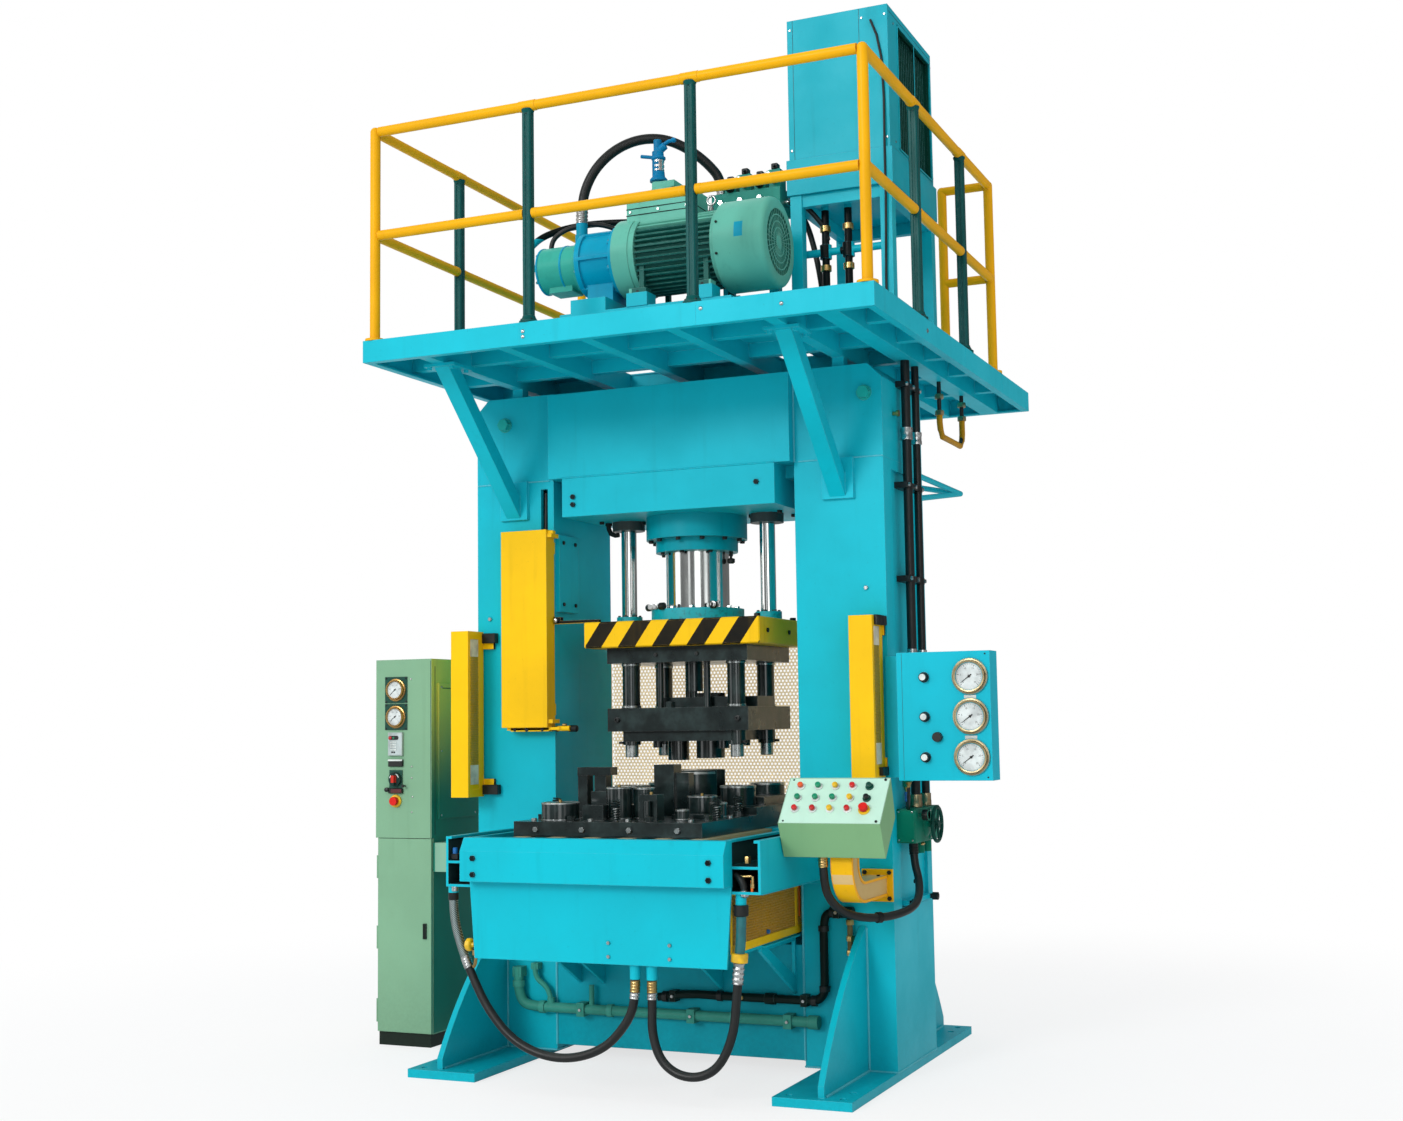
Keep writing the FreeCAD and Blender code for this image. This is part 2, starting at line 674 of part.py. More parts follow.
ram_parts = [
    disc(RAM_R, 0, 0, SLIDE_TOP, ram_top),
    disc(PISTON_R, 0, 0, ram_top - PISTON_THICK, ram_top),
    disc(RAM_FLANGE_R, 0, 0, SLIDE_TOP, SLIDE_TOP + RAM_FLANGE_THICK),
]
for valve_x, valve_y in ((-190, -130), (-150, -165), (165, -150)):
    flange_top = SLIDE_TOP + RAM_FLANGE_THICK
    ram_parts.append(box(valve_x - 13, valve_x + 13, valve_y - 9, valve_y + 9,
                         flange_top - 2, flange_top + 26))
save("ram", join(ram_parts))

save("guide_rods", *(
    join([disc(ROD_R, x, 0, SLIDE_TOP, ram_top),
          disc(ROD_FLANGE_R, x, 0, SLIDE_TOP, SLIDE_TOP + ROD_FLANGE_THICK)])
    for x in (-ROD_X, ROD_X)
))

# ---- slide: thick plate with a trip arm that works the switches on the left post ----
slide_block = box(-SLIDE_HALF, SLIDE_HALF, -SLIDE_FRONT, SLIDE_BACK, slide_bottom, SLIDE_TOP)
slide_block = slide_block.makeChamfer(SLIDE_EDGE, slide_block.Edges)
trip_arm = join([
    box(-POST_INNER + 8, -400, -SLIDE_FRONT + 8, -SLIDE_FRONT + 38, SLIDE_TOP - 1, SLIDE_TOP + 14),
    box(-POST_INNER + 8, -POST_INNER + 48, -SLIDE_FRONT + 8, -SLIDE_FRONT + 38,
        SLIDE_TOP, SLIDE_TOP + 34),
])
save("slide", join([slide_block, trip_arm]))


# ---- upper die: top plate, posts, punch plate, guide pins and punches ----
def upper_die():
    corners = [(sx * DIE_POST_X, sy * DIE_POST_Y) for sx in (-1, 1) for sy in (-1, 1)]
    pieces = [
        box(-DIE_HALF, DIE_HALF, -DIE_FRONT, DIE_BACK, top_plate_bottom, slide_bottom),
        box(-DIE_HALF, DIE_HALF, -DIE_FRONT, DIE_BACK, punch_plate_bottom, punch_plate_top),
        box(SUB_PLATE_INSET * 2 - DIE_HALF, DIE_HALF - SUB_PLATE_INSET * 3, SUB_PLATE_INSET - DIE_FRONT,
            DIE_BACK - SUB_PLATE_INSET, sub_plate_bottom, punch_plate_bottom),
        disc(DIE_POST_R, 0, -60, top_plate_bottom - 145, top_plate_bottom),
        disc(15, 0, -60, top_plate_bottom - 190, top_plate_bottom - 140),
        box(-170, 370, -120, 120, punch_plate_top, punch_plate_top + 52),
        box(-60, 90, 30, 130, punch_plate_top + 52, punch_plate_top + 75),
        hexagon(46, (-60, -DIE_FRONT + 60, punch_plate_top), (-60, -DIE_FRONT + 60, punch_plate_top + 30)),
    ]
    for x, y in corners:
        pieces.append(disc(DIE_POST_R, x, y, punch_plate_top, top_plate_bottom))
        pieces.append(disc(DIE_POST_R, x, y, punch_plate_bottom - GUIDE_COLLAR_THICK, punch_plate_bottom))
        pieces.append(disc(GUIDE_PIN_R, x, y, GUIDE_PIN_END, punch_plate_bottom))
    for x, y, radius in SPACER_RODS:
        pieces.append(disc(radius, x, y, punch_plate_top, top_plate_bottom))
    for x, y, radius, bottom in PUNCHES:
        pieces.append(disc(radius, x, y, bottom, sub_plate_bottom))
    for x, y, radius, low in SMALL_PUNCHES:
        pieces.append(disc(radius, x, y, low, sub_plate_bottom))
    return join(pieces)


save("upper_die", upper_die())


# ---- bed: welded box between the posts, with a window over its lower beam ----
def bed():
    block = box(-POST_INNER, POST_INNER, -half_depth, half_depth, BED_BOTTOM, BED_TOP)
    window = box(-POST_INNER - 1, POST_INNER + 1, -half_depth - 1, half_depth - BED_PLATE,
                 WINDOW_LOW, WINDOW_HIGH)
    cuts = [window]
    pitch = (2 * POST_INNER - BED_PLATE) / BED_CELLS
    for k in range(BED_CELLS):
        x = BED_PLATE - POST_INNER + k * pitch
        for low, high in ((BED_BOTTOM, WINDOW_LOW), (WINDOW_HIGH, BED_TOP)):
            top_plate = BED_PLATE * 2 if high == BED_TOP else BED_PLATE
            cuts.append(box(x, x + pitch - BED_PLATE, BED_PLATE - half_depth, half_depth - BED_PLATE,
                            low + BED_PLATE, high - top_plate))
    return block.cut(cuts)


save("bed", bed())


# ---- bolster table: two open channels, a deck with runners, shelf bars and braces ----
def table_frame():
    back = -half_depth
    front = -TABLE_FRONT

    def side():
        outer = TABLE_HALF
        wall = CHANNEL_WALL
        return [
            box(outer - wall, outer, front, back, CHANNEL_BOTTOM, TABLE_TOP),
            box(channel_inner, channel_inner + wall, front, back, CHANNEL_BOTTOM, TABLE_TOP),
            box(channel_inner, outer, front, back, CHANNEL_BOTTOM, CHANNEL_BOTTOM + wall),
            box(channel_inner, outer, front, back, CHANNEL_SHELF, CHANNEL_SHELF + wall),
            box(outer - CHANNEL_LIP, outer, front, back, TABLE_TOP - wall, TABLE_TOP),
            box(channel_inner, channel_inner + CHANNEL_LIP, front, back, TABLE_TOP - wall, TABLE_TOP),
            box(channel_inner - 20, outer, back - 20, back, CHANNEL_BOTTOM - 27, TABLE_TOP),
            box(channel_inner - SHELF_BAR[0] + wall, channel_inner + wall, -SHELF_FRONT, back,
                SHELF_TOP - SHELF_BAR[1], SHELF_TOP),
        ]

    pieces = side() + [mirror_x(piece) for piece in side()]
    pieces.append(box(-channel_inner, channel_inner, front, back, DECK_TOP - DECK_THICK, DECK_TOP))
    pieces.append(box(-channel_inner, channel_inner, front, front + 20, CHANNEL_BOTTOM + 35, DECK_TOP))
    first = RUNNER_SHIFT - RUNNER_PITCH * (RUNNERS - 1) / 2
    for k in range(RUNNERS):
        x = first + k * RUNNER_PITCH
        pieces.append(box(x - RUNNER_WIDTH / 2, x + RUNNER_WIDTH / 2, front, back, DECK_TOP, RUNNER_TOP))
    for x in (-560, 560):
        pieces.append(box(x - 30, x + 30, front, back, CHANNEL_BOTTOM + 113, DECK_TOP - DECK_THICK))
    low = SHELF_TOP - SHELF_BAR[1]
    for x in BRACE_X:
        pieces.append(plate_yz([
            (back, low),
            (back - BRACE_REACH - BRACE_DEPTH, low),
            (back - BRACE_REACH - BRACE_DEPTH, low - 20),
            (back, low - BRACE_DROP - BRACE_DEPTH),
        ], x - BRACE_THICK / 2, x + BRACE_THICK / 2).cut(plate_yz([
            (back - 20, low - 20), (back - BRACE_REACH + 40, low - 20), (back - 20, low - BRACE_DROP + 35),
        ], x - BRACE_THICK, x + BRACE_THICK)))
        pieces.append(box(x - 30, x + 30, back - BRACE_REACH - BRACE_DEPTH, back, low, low + 8))
    for x, z in (LEFT_GLAND, RIGHT_GLAND):
        pieces.append(rod(COUPLING_R, (x, -HOSE_PLANE, z), (x, -HOSE_PLANE, CHANNEL_BOTTOM + 1)))
    return join(pieces)


save("table_frame", table_frame())


def front_lip():
    """Folded plate across the front of the table, closed at its ends."""
    back = -TABLE_FRONT
    front = back - LIP_DEPTH
    run, drop = LIP_CHAMFER
    outline = [(back, LIP_BOTTOM), (front, LIP_BOTTOM), (front, TABLE_TOP - drop),
               (front + run, TABLE_TOP), (back, TABLE_TOP)]
    wall = LIP_WALL
    slope = math.hypot(run, drop)
    shift = wall * (slope - drop) / run
    hollow = [(back + 1, LIP_BOTTOM + wall), (front + wall, LIP_BOTTOM + wall),
              (front + wall, TABLE_TOP - drop - shift * 0.5),
              (front + run + shift * 0.8, TABLE_TOP - wall), (back + 1, TABLE_TOP - wall)]
    lip = plate_yz(outline, -LIP_HALF, LIP_HALF).cut(plate_yz(hollow, wall - LIP_HALF, LIP_HALF - wall))
    bolts = []
    for x in (70 - LIP_HALF, LIP_HALF - 70):
        for z in (LIP_BOTTOM + 32, LIP_BOTTOM + 106):
            bolts.append(hexagon(LIP_BOLT_HEX, (x, front, z), (x, front - 10, z)))
    return join([lip] + bolts)


save("table_front_lip", front_lip())

# ---- skirt plate under the lip, with the coupling block of the two looped hoses behind it ----
skirt_top_half = LIP_HALF - SKIRT_INSET
skirt = plate_xz([
    (-SKIRT_BOTTOM_HALF, SKIRT_BOTTOM), (SKIRT_BOTTOM_HALF, SKIRT_BOTTOM),
    (skirt_top_half, LIP_BOTTOM), (-skirt_top_half, LIP_BOTTOM),
], -TABLE_FRONT - SKIRT_THICK, -TABLE_FRONT)
block_x0, block_x1, block_back, block_low, block_high = HOSE_BLOCK
couplings = [box(block_x0, block_x1, -TABLE_FRONT - 1, -block_back, block_low, block_high)]
for coupling_x in (HOSE_LEFT_END_X, HOSE_RIGHT_END_X):
    couplings.append(rod(COUPLING_R, (coupling_x, -HOSE_PLANE, HOSE_END_Z),
                         (coupling_x, -HOSE_PLANE, block_low + 1)))
save("table_skirt", join([skirt] + couplings))


# ---- lower die: two plates on the table and bed, with rings, drums, blocks and clamps ----
def lower_die():
    pieces = [
        box(-LOWER_DIE_HALF, LOWER_DIE_HALF, -FRONT_DIE_REACH, -half_depth, RUNNER_TOP, FRONT_DIE_TOP),
        box(-LOWER_DIE_HALF, LOWER_DIE_HALF, -DIE_SPLIT, REAR_DIE_BACK, BED_TOP, REAR_DIE_TOP),
        disc(DIE_RING_R, -25, 0, REAR_DIE_TOP, DIE_RING_TOP),
        box(-LOWER_DIE_HALF + 60, LOWER_DIE_HALF - 60, -175, 175, REAR_DIE_TOP, REAR_DIE_TOP + 38),
    ]
    bores = []
    for sx in (-1, 1):
        for sy in (-1, 1):
            x, y = sx * DIE_POST_X, sy * DIE_POST_Y
            pieces.append(disc(BUSH_RING_R, x, y, REAR_DIE_TOP, BUSH_RING_TOP))
            bores.append(disc(GUIDE_PIN_R + BUSH_RING_BORE_GAP, x, y, BED_TOP + 20, BUSH_RING_TOP + 1))
    for x, y, radius, bottom in PUNCHES:
        bores.append(disc(radius + DIE_HOLE_GAP, x, y, REAR_DIE_TOP, DIE_RING_TOP + 1))
    for x, y, radius, high in DRUMS:
        pieces.append(disc(radius, x, y, FRONT_DIE_TOP, FRONT_DIE_TOP + high))
    for x0, x1, y0, y1, high in BLOCKS:
        pieces.append(box(x0, x1, y0, y1, FRONT_DIE_TOP, FRONT_DIE_TOP + high))
    x0, x1, y0, y1, low, high = CLAMP_BRIDGE
    pieces.append(box(x0, x1, y0, y1, FRONT_DIE_TOP + low, FRONT_DIE_TOP + high))
    for x, y in ((-430, -900), (-430, -560), (430, -900), (430, -560), (-200, -1040), (200, -1040)):
        pieces.append(hexagon(36, (x, y, FRONT_DIE_TOP), (x, y, FRONT_DIE_TOP + 24)))
    return join(pieces).cut(bores)


save("lower_die", lower_die())


# ---- guards: perforated sheets in angle frames ----
def side_guard():
    inside = box(GUARD_FACE - GUARD_THICK, GUARD_FACE, -half_depth, -GUARD_BACK, SHELF_TOP, WINDOW_HIGH - 2)
    outside = box(GUARD_FACE - GUARD_THICK, GUARD_FACE, 24 - TABLE_FRONT, -half_depth - 20,
                  SHELF_TOP, CHANNEL_BOTTOM)
    bridge = box(GUARD_FACE - GUARD_THICK, GUARD_FACE, -half_depth - 20, -half_depth,
                 SHELF_TOP, WINDOW_HIGH - 2)
    bolt = rod(14, (GUARD_FACE, -640, 740), (GUARD_FACE + 14, -640, 740))
    return join([inside, outside, bridge, bolt])


save("side_guards", side_guard(), mirror_x(side_guard()))


def rear_guard():
    sheet_y = half_depth + REAR_GUARD_THICK / 2 - 2
    frame = box(-REAR_GUARD_HALF, REAR_GUARD_HALF, half_depth, half_depth + REAR_GUARD_THICK,
                REAR_GUARD_LOW, REAR_GUARD_HIGH)
    edge = 30
    opening = box(edge - REAR_GUARD_HALF, REAR_GUARD_HALF - edge, half_depth - 1,
                  half_depth + REAR_GUARD_THICK + 1, REAR_GUARD_LOW + edge, REAR_GUARD_HIGH - edge)
    sheet = box(edge - REAR_GUARD_HALF - 1, REAR_GUARD_HALF - edge + 1, sheet_y, sheet_y + 4,
                REAR_GUARD_LOW + edge - 1, REAR_GUARD_HIGH - edge + 1)
    return join([frame.cut(opening), sheet])


save("rear_guard", rear_guard())


# ---- light curtains: yellow sensor bars on black brackets at the posts' outer edges ----
def curtain(x0, x1, z0, z1, reach):
    near, far = CURTAIN_DEPTH
    bar = box(x0, x1, -far, -near, z0, z1)
    strip_x = x1
    window = box(strip_x - 2, strip_x + 2, -far + 45, -near - 45, z0 + 40, z1 - 40)
    brackets = []
    for low in (z0 + 30, z1 - 30 - CURTAIN_BRACKET):
        brackets.append(box(x0 + 60, x1 + reach, -near, -half_depth, low, low + CURTAIN_BRACKET))
    return join([bar.cut(window)] + brackets)


save("light_curtains", curtain(*LEFT_CURTAIN, CURTAIN_REACH[0]), curtain(*RIGHT_CURTAIN, CURTAIN_REACH[1]))


# ---- switch cover: tall yellow case on the left post, open at its back ----
def switch_cover():
    x0, x1 = COVER_X
    z0, z1 = COVER_Z
    back = -half_depth - COVER_STANDOFF
    front = back - COVER_DEPTH
    case = box(x0, x1, front, back, z0, z1)
    hollow = box(x0 + COVER_WALL, x1 - COVER_WALL, front + COVER_WALL, back + 1,
                 z0 + COVER_WALL, z1 - COVER_WALL)
    pieces = [case.cut(hollow)]
    for z in (z0 + 60, z1 - 120):
        pieces.append(box(x0, x1, back, -half_depth, z, z + 60))
    for z in (z0 + 20, z1 - 40):
        pieces.append(box(x1 - 1, x1 + 26, front + 10, back, z, z + 20))
    pieces.append(box(x0 + 20, x1 + 60, front + 20, front + 60, z0 - 14, z0 + 1))
    pieces.append(rod(13, (x1 + 40, front + 40, z0 - 7), (x1 + 110, front + 40, z0 - 7)))
    return join(pieces)


save("switch_cover", switch_cover())


# ---- motor platform: edge plates, beams and deck sheets, on rubber pads and two struts ----
def deck_sheets(left, right, front, back):
    """Sheets laid edge to edge, with the two hatches left open between them."""
    sheets = []
    start = left
    for x0, x1, y0, y1 in HATCHES:
        for low, high, near, far in ((start, x0, front, back), (x0, x1, front, y0), (x0, x1, y1, back)):
            sheets.append(box(low, high, near, far, platform_top - PLATFORM_PLATE, platform_top))
        start = x1
    sheets.append(box(start, right, front, back, platform_top - PLATFORM_PLATE, platform_top))
    return sheets


def platform():
    """Welded frame: each plate, beam and sheet is a solid that meets its neighbours face to face."""
    low, under = platform_bottom, platform_top - PLATFORM_PLATE
    left, right = FASCIA_WALL - DECK_LEFT, DECK_RIGHT - FASCIA_WALL
    front, back = FASCIA_WALL - DECK_FRONT, DECK_BACK - FASCIA_WALL
    reach, thick = PLATFORM_FLANGE
    pieces = [
        box(-DECK_LEFT, DECK_RIGHT, -DECK_FRONT, front, low, platform_top),
        box(-DECK_LEFT, DECK_RIGHT, back, DECK_BACK, low, platform_top),
        box(-DECK_LEFT, left, front, back, low, platform_top),
        box(right, DECK_RIGHT, front, back, low, platform_top),
    ]
    strips = [
        box(left, right, front, front + reach, low, low + thick),
        box(left, right, back - reach, back, low, low + thick),
        box(left, left + reach, front + reach, back - reach, low, low + thick),
        box(right - reach, right, front + reach, back - reach, low, low + thick),
    ]
    spans = [(x - LONG_BEAM_WIDTH / 2, x + LONG_BEAM_WIDTH / 2) for x in LONG_BEAMS] + [HOSE_BEAM]
    for x0, x1 in spans:
        pieces.append(box(x0, x1, front, back, low, under).cut(strips))
    stops = [left] + [x for span in spans for x in span] + [right]
    half = CROSS_BEAM_WIDTH / 2
    for y in CROSS_BEAMS:
        for x0, x1 in zip(stops[::2], stops[1::2]):
            pieces.append(box(x0, x1, y - half, y + half, low + CROSS_BEAM_RISE, under))
    half = PLATFORM_PAD / 2
    for x in (-STRUT_X, STRUT_X):
        for y in (PAD_INSET - half_depth, half_depth - PAD_INSET):
            pieces.append(box(x - half, x + half, y - half, y + half, ear_top, low))
    return pieces + strips + deck_sheets(left, right, front, back)


save("platform", *platform())


def strut():
    """Square tube from a pad under the platform down to a foot plate on the post."""
    pad_top = platform_bottom
    top = pad_top - STRUT_PAD_THICK
    foot = -half_depth - STRUT_FOOT_THICK
    foot_z = POST_TOP - STRUT_FOOT_DROP
    rise = top - foot_z
    reach = STRUT_FRONT + foot
    length = math.hypot(rise, reach)

    def slanted(size):
        level = size / 2 * length / rise
        upright = size / 2 * length / reach
        return [(-STRUT_FRONT - level, top), (-STRUT_FRONT + level, top),
                (foot, foot_z + upright), (foot, foot_z - upright)]

    half = STRUT_SIZE / 2
    bar = plate_yz(slanted(STRUT_SIZE), STRUT_X - half, STRUT_X + half)
    core = plate_yz(slanted(STRUT_SIZE - 2 * STRUT_WALL),
                    STRUT_X - half + STRUT_WALL, STRUT_X + half - STRUT_WALL)
    pad_half = STRUT_PAD / 2
    pad = box(STRUT_X - pad_half, STRUT_X + pad_half, -STRUT_FRONT - pad_half, -STRUT_FRONT + pad_half,
              top, pad_top)
    foot_plate = box(STRUT_X - STRUT_FOOT_HALF, STRUT_X + STRUT_FOOT_HALF, foot, -half_depth,
                     POST_TOP - STRUT_FOOT_LOW, POST_TOP + STRUT_FOOT_HIGH)
    bolts = []
    for sx in (-1, 1):
        for sy in (-1, 1):
            x = STRUT_X + sx * (pad_half - STRUT_BOLT_INSET[0])
            y = -STRUT_FRONT + sy * (pad_half - STRUT_BOLT_INSET[1])
            bolts.append(hexagon(STRUT_BOLT_HEX, (x, y, top), (x, y, top - STRUT_BOLT_HEAD)))
    return join([bar.cut(core), pad, foot_plate] + bolts)


save("platform_struts", strut(), mirror_x(strut()))


# ---- guard rails: yellow pipe rails and corner posts, green posts between them ----
rail_left = RAIL_INSET - DECK_LEFT
rail_right = DECK_RIGHT - RAIL_INSET
rail_front = RAIL_INSET - DECK_FRONT
stub_x = rail_right - RAIL_RETURN
pipe_posts = ((rail_left, rail_front), (rail_right, rail_front), (rail_right, REAR_RIGHT_POST_Y),
              (rail_left, REAR_RIGHT_POST_Y), (stub_x, REAR_RIGHT_POST_Y))
front_spots = [(x, rail_front) for x in FRONT_POSTS]
side_spots = [(rail_left, y) for y in LEFT_POSTS] + [(rail_right, y) for y in RIGHT_POSTS]
post_foot = platform_top + POST_FLANGE_THICK


def foot_ring(x, y):
    return disc(POST_FLANGE_R, x, y, platform_top, post_foot)


def pipe_post(x, y):
    """Pipe on its round foot, with a domed top."""
    return join([disc(POST_R, x, y, post_foot, rail_top), Part.makeSphere(POST_R, V(x, y, rail_top))])


def gap_for_post(spots, half_x, half_y):
    above = rail_top + 2 * RAIL_R
    return [box(x - half_x, x + half_x, y - half_y, y + half_y, platform_top, above) for x, y in spots]


def guard_rails():
    """Pipe posts, and pipe rails that butt against them and against the green posts."""
    stands = [pipe_post(x, y) for x, y in pipe_posts]
    half = GREEN_POST_SIZE / 2
    across = RAIL_R + FREE_GAP
    gaps = gap_for_post(front_spots, half, across) + gap_for_post(side_spots, across, half)
    rails = []
    for z in (rail_middle, rail_top):
        rails += [
            rod(RAIL_R, (rail_left + across, rail_front, z), (rail_right - across, rail_front, z)),
            rod(RAIL_R, (rail_right, rail_front, z), (rail_right, REAR_RIGHT_POST_Y, z)),
            rod(RAIL_R, (rail_left, rail_front, z), (rail_left, REAR_RIGHT_POST_Y, z)),
            rod(RAIL_R, (rail_right - across, REAR_RIGHT_POST_Y, z), (stub_x, REAR_RIGHT_POST_Y, z)),
        ]
    rails = [rail.cut(stands + gaps) for rail in rails]
    return stands + rails + [foot_ring(x, y) for x, y in pipe_posts]


def green_posts():
    half = GREEN_POST_SIZE / 2
    top = rail_top + RAIL_R + GREEN_POST_RISE
    posts = []
    for x, y in front_spots + side_spots:
        posts += [box(x - half, x + half, y - half, y + half, post_foot, top), foot_ring(x, y)]
    return posts


save("guard_rails", *guard_rails())
save("rail_posts", *green_posts())


# ---- motor: finned body, end flange, terminal box with its valve; fan cover behind ----
def motor_rod(radius, x0, x1):
    return rod(radius, (x0, MOTOR_Y, motor_z), (x1, MOTOR_Y, motor_z))


def finned_body():
    """Body with square fins along X, cut from one toothed outline."""
    corners = []
    for k in range(MOTOR_FINS):
        for part, radius in ((0.0, MOTOR_R), (0.28, MOTOR_R), (0.32, MOTOR_FIN_R),
                             (0.62, MOTOR_FIN_R), (0.66, MOTOR_R)):
            angle = 2 * math.pi * (k + part) / MOTOR_FINS
            corners.append(V(0, MOTOR_Y + radius * math.cos(angle), motor_z + radius * math.sin(angle)))
    return Part.Face(Part.makePolygon(corners + corners[:1])).extrude(V(MOTOR_LENGTH, 0, 0))


def motor():
    x0, x1 = TERMINAL_BOX[:2]
    z0, z1 = (motor_z + rise for rise in TERMINAL_BOX[2:])
    valve_top = motor_z + BALL_VALVE_RISE
    pieces = [
        finned_body(),
        motor_rod(END_FLANGE_R, -END_FLANGE_THICK, 0),
        motor_rod(MOTOR_FIN_R + 6, 0, 30),
        motor_rod(MOTOR_FIN_R + 6, MOTOR_LENGTH - 26, MOTOR_LENGTH),
        box(x0, x1, MOTOR_Y - TERMINAL_HALF, MOTOR_Y + TERMINAL_HALF, z0, z1),
        disc(70, 120, MOTOR_Y, z1, z1 + 30),
        box(70, 190, MOTOR_Y - 50, MOTOR_Y + 50, z1 + 30, z1 + 62),
        disc(28, BALL_VALVE_X, MOTOR_Y, z1 + 60, valve_top - 60),
        disc(20, BALL_VALVE_X, MOTOR_Y, valve_top - 60, valve_top),
        rod(9, (BALL_VALVE_X, MOTOR_Y, valve_top - 90), (BALL_VALVE_X - 90, MOTOR_Y, valve_top - 70)),
    ]
    for x in (60, MOTOR_LENGTH - 60):
        for side in (-1, 1):
            y = MOTOR_Y + side * 150
            near, far = sorted((y, y + side * 60))
            pieces.append(box(x - 45, x + 45, near, far, base_top, base_top + 24))
            pieces.append(box(x - 12, x + 12, y - 12, y + 12, base_top, motor_z - 60))
    hollow = motor_rod(MOTOR_BORE_R, MOTOR_END, MOTOR_LENGTH - MOTOR_END)
    shaft_bore = motor_rod(SHAFT_R + RUN_CLEAR, -END_FLANGE_THICK - 1, MOTOR_LENGTH + 1)
    return join(pieces).cut([hollow, shaft_bore])


save("motor", motor())


def fan_cover():
    """Round sheet cover with radial slots in its end."""
    x0 = MOTOR_LENGTH
    x1 = x0 + FAN_COVER_LENGTH
    shell = motor_rod(FAN_COVER_R, x0, x1)
    hollow = motor_rod(FAN_COVER_R - FAN_COVER_WALL, x0 - 1, x1 - FAN_COVER_WALL)
    collar = motor_rod(FAN_COVER_R, x0, x0 + 8)
    collar_hole = motor_rod(MOTOR_FIN_R - 10, x0 - 1, x0 + 9)
    slots = []
    for k in range(FAN_SLOTS):
        slot = box(x1 - FAN_COVER_WALL - 1, x1 + 1, MOTOR_Y - 6, MOTOR_Y + 6, motor_z + 60, motor_z + 185)
        slot.rotate(V(x1, MOTOR_Y, motor_z), V(1, 0, 0), 360 * k / FAN_SLOTS)
        slots.append(slot)
    return join([shell.cut(hollow), collar.cut(collar_hole)]).cut(slots)


save("fan_cover", fan_cover())


# ---- rotor: core, shaft, fan and coupling turning as one piece ----
def rotor():
    fan_x = MOTOR_LENGTH + 60
    pieces = [
        motor_rod(SHAFT_R, -END_FLANGE_THICK - 190, fan_x + 60),
        motor_rod(MOTOR_BORE_R - ROTOR_CORE_GAP, MOTOR_END + 30, MOTOR_LENGTH - MOTOR_END - 30),
        motor_rod(62, -END_FLANGE_THICK - 150, -END_FLANGE_THICK - 40),
        motor_rod(55, fan_x, fan_x + 50),
    ]
    blade_count = 8
    for k in range(blade_count):
        blade = box(fan_x, fan_x + 50, MOTOR_Y - 4, MOTOR_Y + 4, motor_z + 45, motor_z + FAN_R)
        blade.rotate(V(0, MOTOR_Y, motor_z), V(1, 0, 0), 360 * k / blade_count)
        pieces.append(blade)
    return join(pieces)


save("motor_rotor", rotor())


# ---- bell housing between motor and pump, and the pump with its outlet fitting ----
def bell_housing():
    x1 = -END_FLANGE_THICK
    x0 = x1 - BELL_LENGTH
    pieces = [
        motor_rod(BELL_R, x0, x1),
        motor_rod(BELL_FLANGE_R, x1 - BELL_FLANGE_THICK, x1),
        motor_rod(BELL_FLANGE_R - 18, x0, x0 + BELL_FLANGE_THICK),
        box(x0 + 40, x1 - 40, MOTOR_Y - 90, MOTOR_Y + 90, base_top, motor_z - 100),
    ]
    for k in range(6):
        rib = box(x0 + 10, x1 - 10, MOTOR_Y - 9, MOTOR_Y + 9, motor_z + 100, motor_z + BELL_R + 14)
        rib.rotate(V(0, MOTOR_Y, motor_z), V(1, 0, 0), 60 * k + 30)
        pieces.append(rib)
    for k in range(8):
        angle = math.radians(45 * k + 22.5)
        y = MOTOR_Y + (BELL_FLANGE_R - 14) * math.cos(angle)
        z = motor_z + (BELL_FLANGE_R - 14) * math.sin(angle)
        pieces.append(hexagon(20, (x1 - BELL_FLANGE_THICK, y, z), (x1 - BELL_FLANGE_THICK - 12, y, z)))
    return join(pieces).cut(motor_rod(BELL_BORE_R, x0 - 1, x1 + 1))


save("bell_housing", bell_housing())


def pump():
    x1 = -END_FLANGE_THICK - BELL_LENGTH
    x0 = x1 - PUMP_LENGTH
    pieces = [
        motor_rod(PUMP_R, x0 + 20, x1),
        motor_rod(PUMP_R - 14, x0, x0 + 20),
        motor_rod(BELL_BORE_R + 30, x1 - 22, x1),
        disc(34, PUMP_FITTING_X, MOTOR_Y, motor_z + PUMP_R - 20, motor_z + PUMP_R + 50),
        disc(29, PUMP_FITTING_X, MOTOR_Y, motor_z + PUMP_R + 50, pump_fitting_top),
        box(x0 + 60, x1 - 60, MOTOR_Y - 60, MOTOR_Y + 60, motor_z - PUMP_R - 12, motor_z - PUMP_R + 20),
    ]
    return join(pieces)


save("pump", pump())


# ---- motor base: two rails on the deck with pads under motor and bell housing ----
def motor_base():
    pieces = []
    for side in (-1, 1):
        y = MOTOR_Y + side * BASE_RAIL_Y
        pieces.append(box(-360, 550, y - 45, y + 45, platform_top, platform_top + 60))
        pieces.append(box(-360, 550, y - 45, y + 45, platform_top + 110, platform_top + 125))
        pieces.append(box(-360, 550, y - 8, y + 8, platform_top + 60, platform_top + 110))
        for x in (60, MOTOR_LENGTH - 60):
            pieces.append(box(x - 55, x + 55, y - 50, y + 50, platform_top + 125, base_top))
    pieces.append(box(-300, -110, MOTOR_Y - 215, MOTOR_Y + 215, platform_top + 125, base_top))
    for x in (-330, 520):
        pieces.append(box(x - 30, x + 30, MOTOR_Y - 215, MOTOR_Y + 215, platform_top, platform_top + 50))
    return join(pieces)


save("motor_base", motor_base())


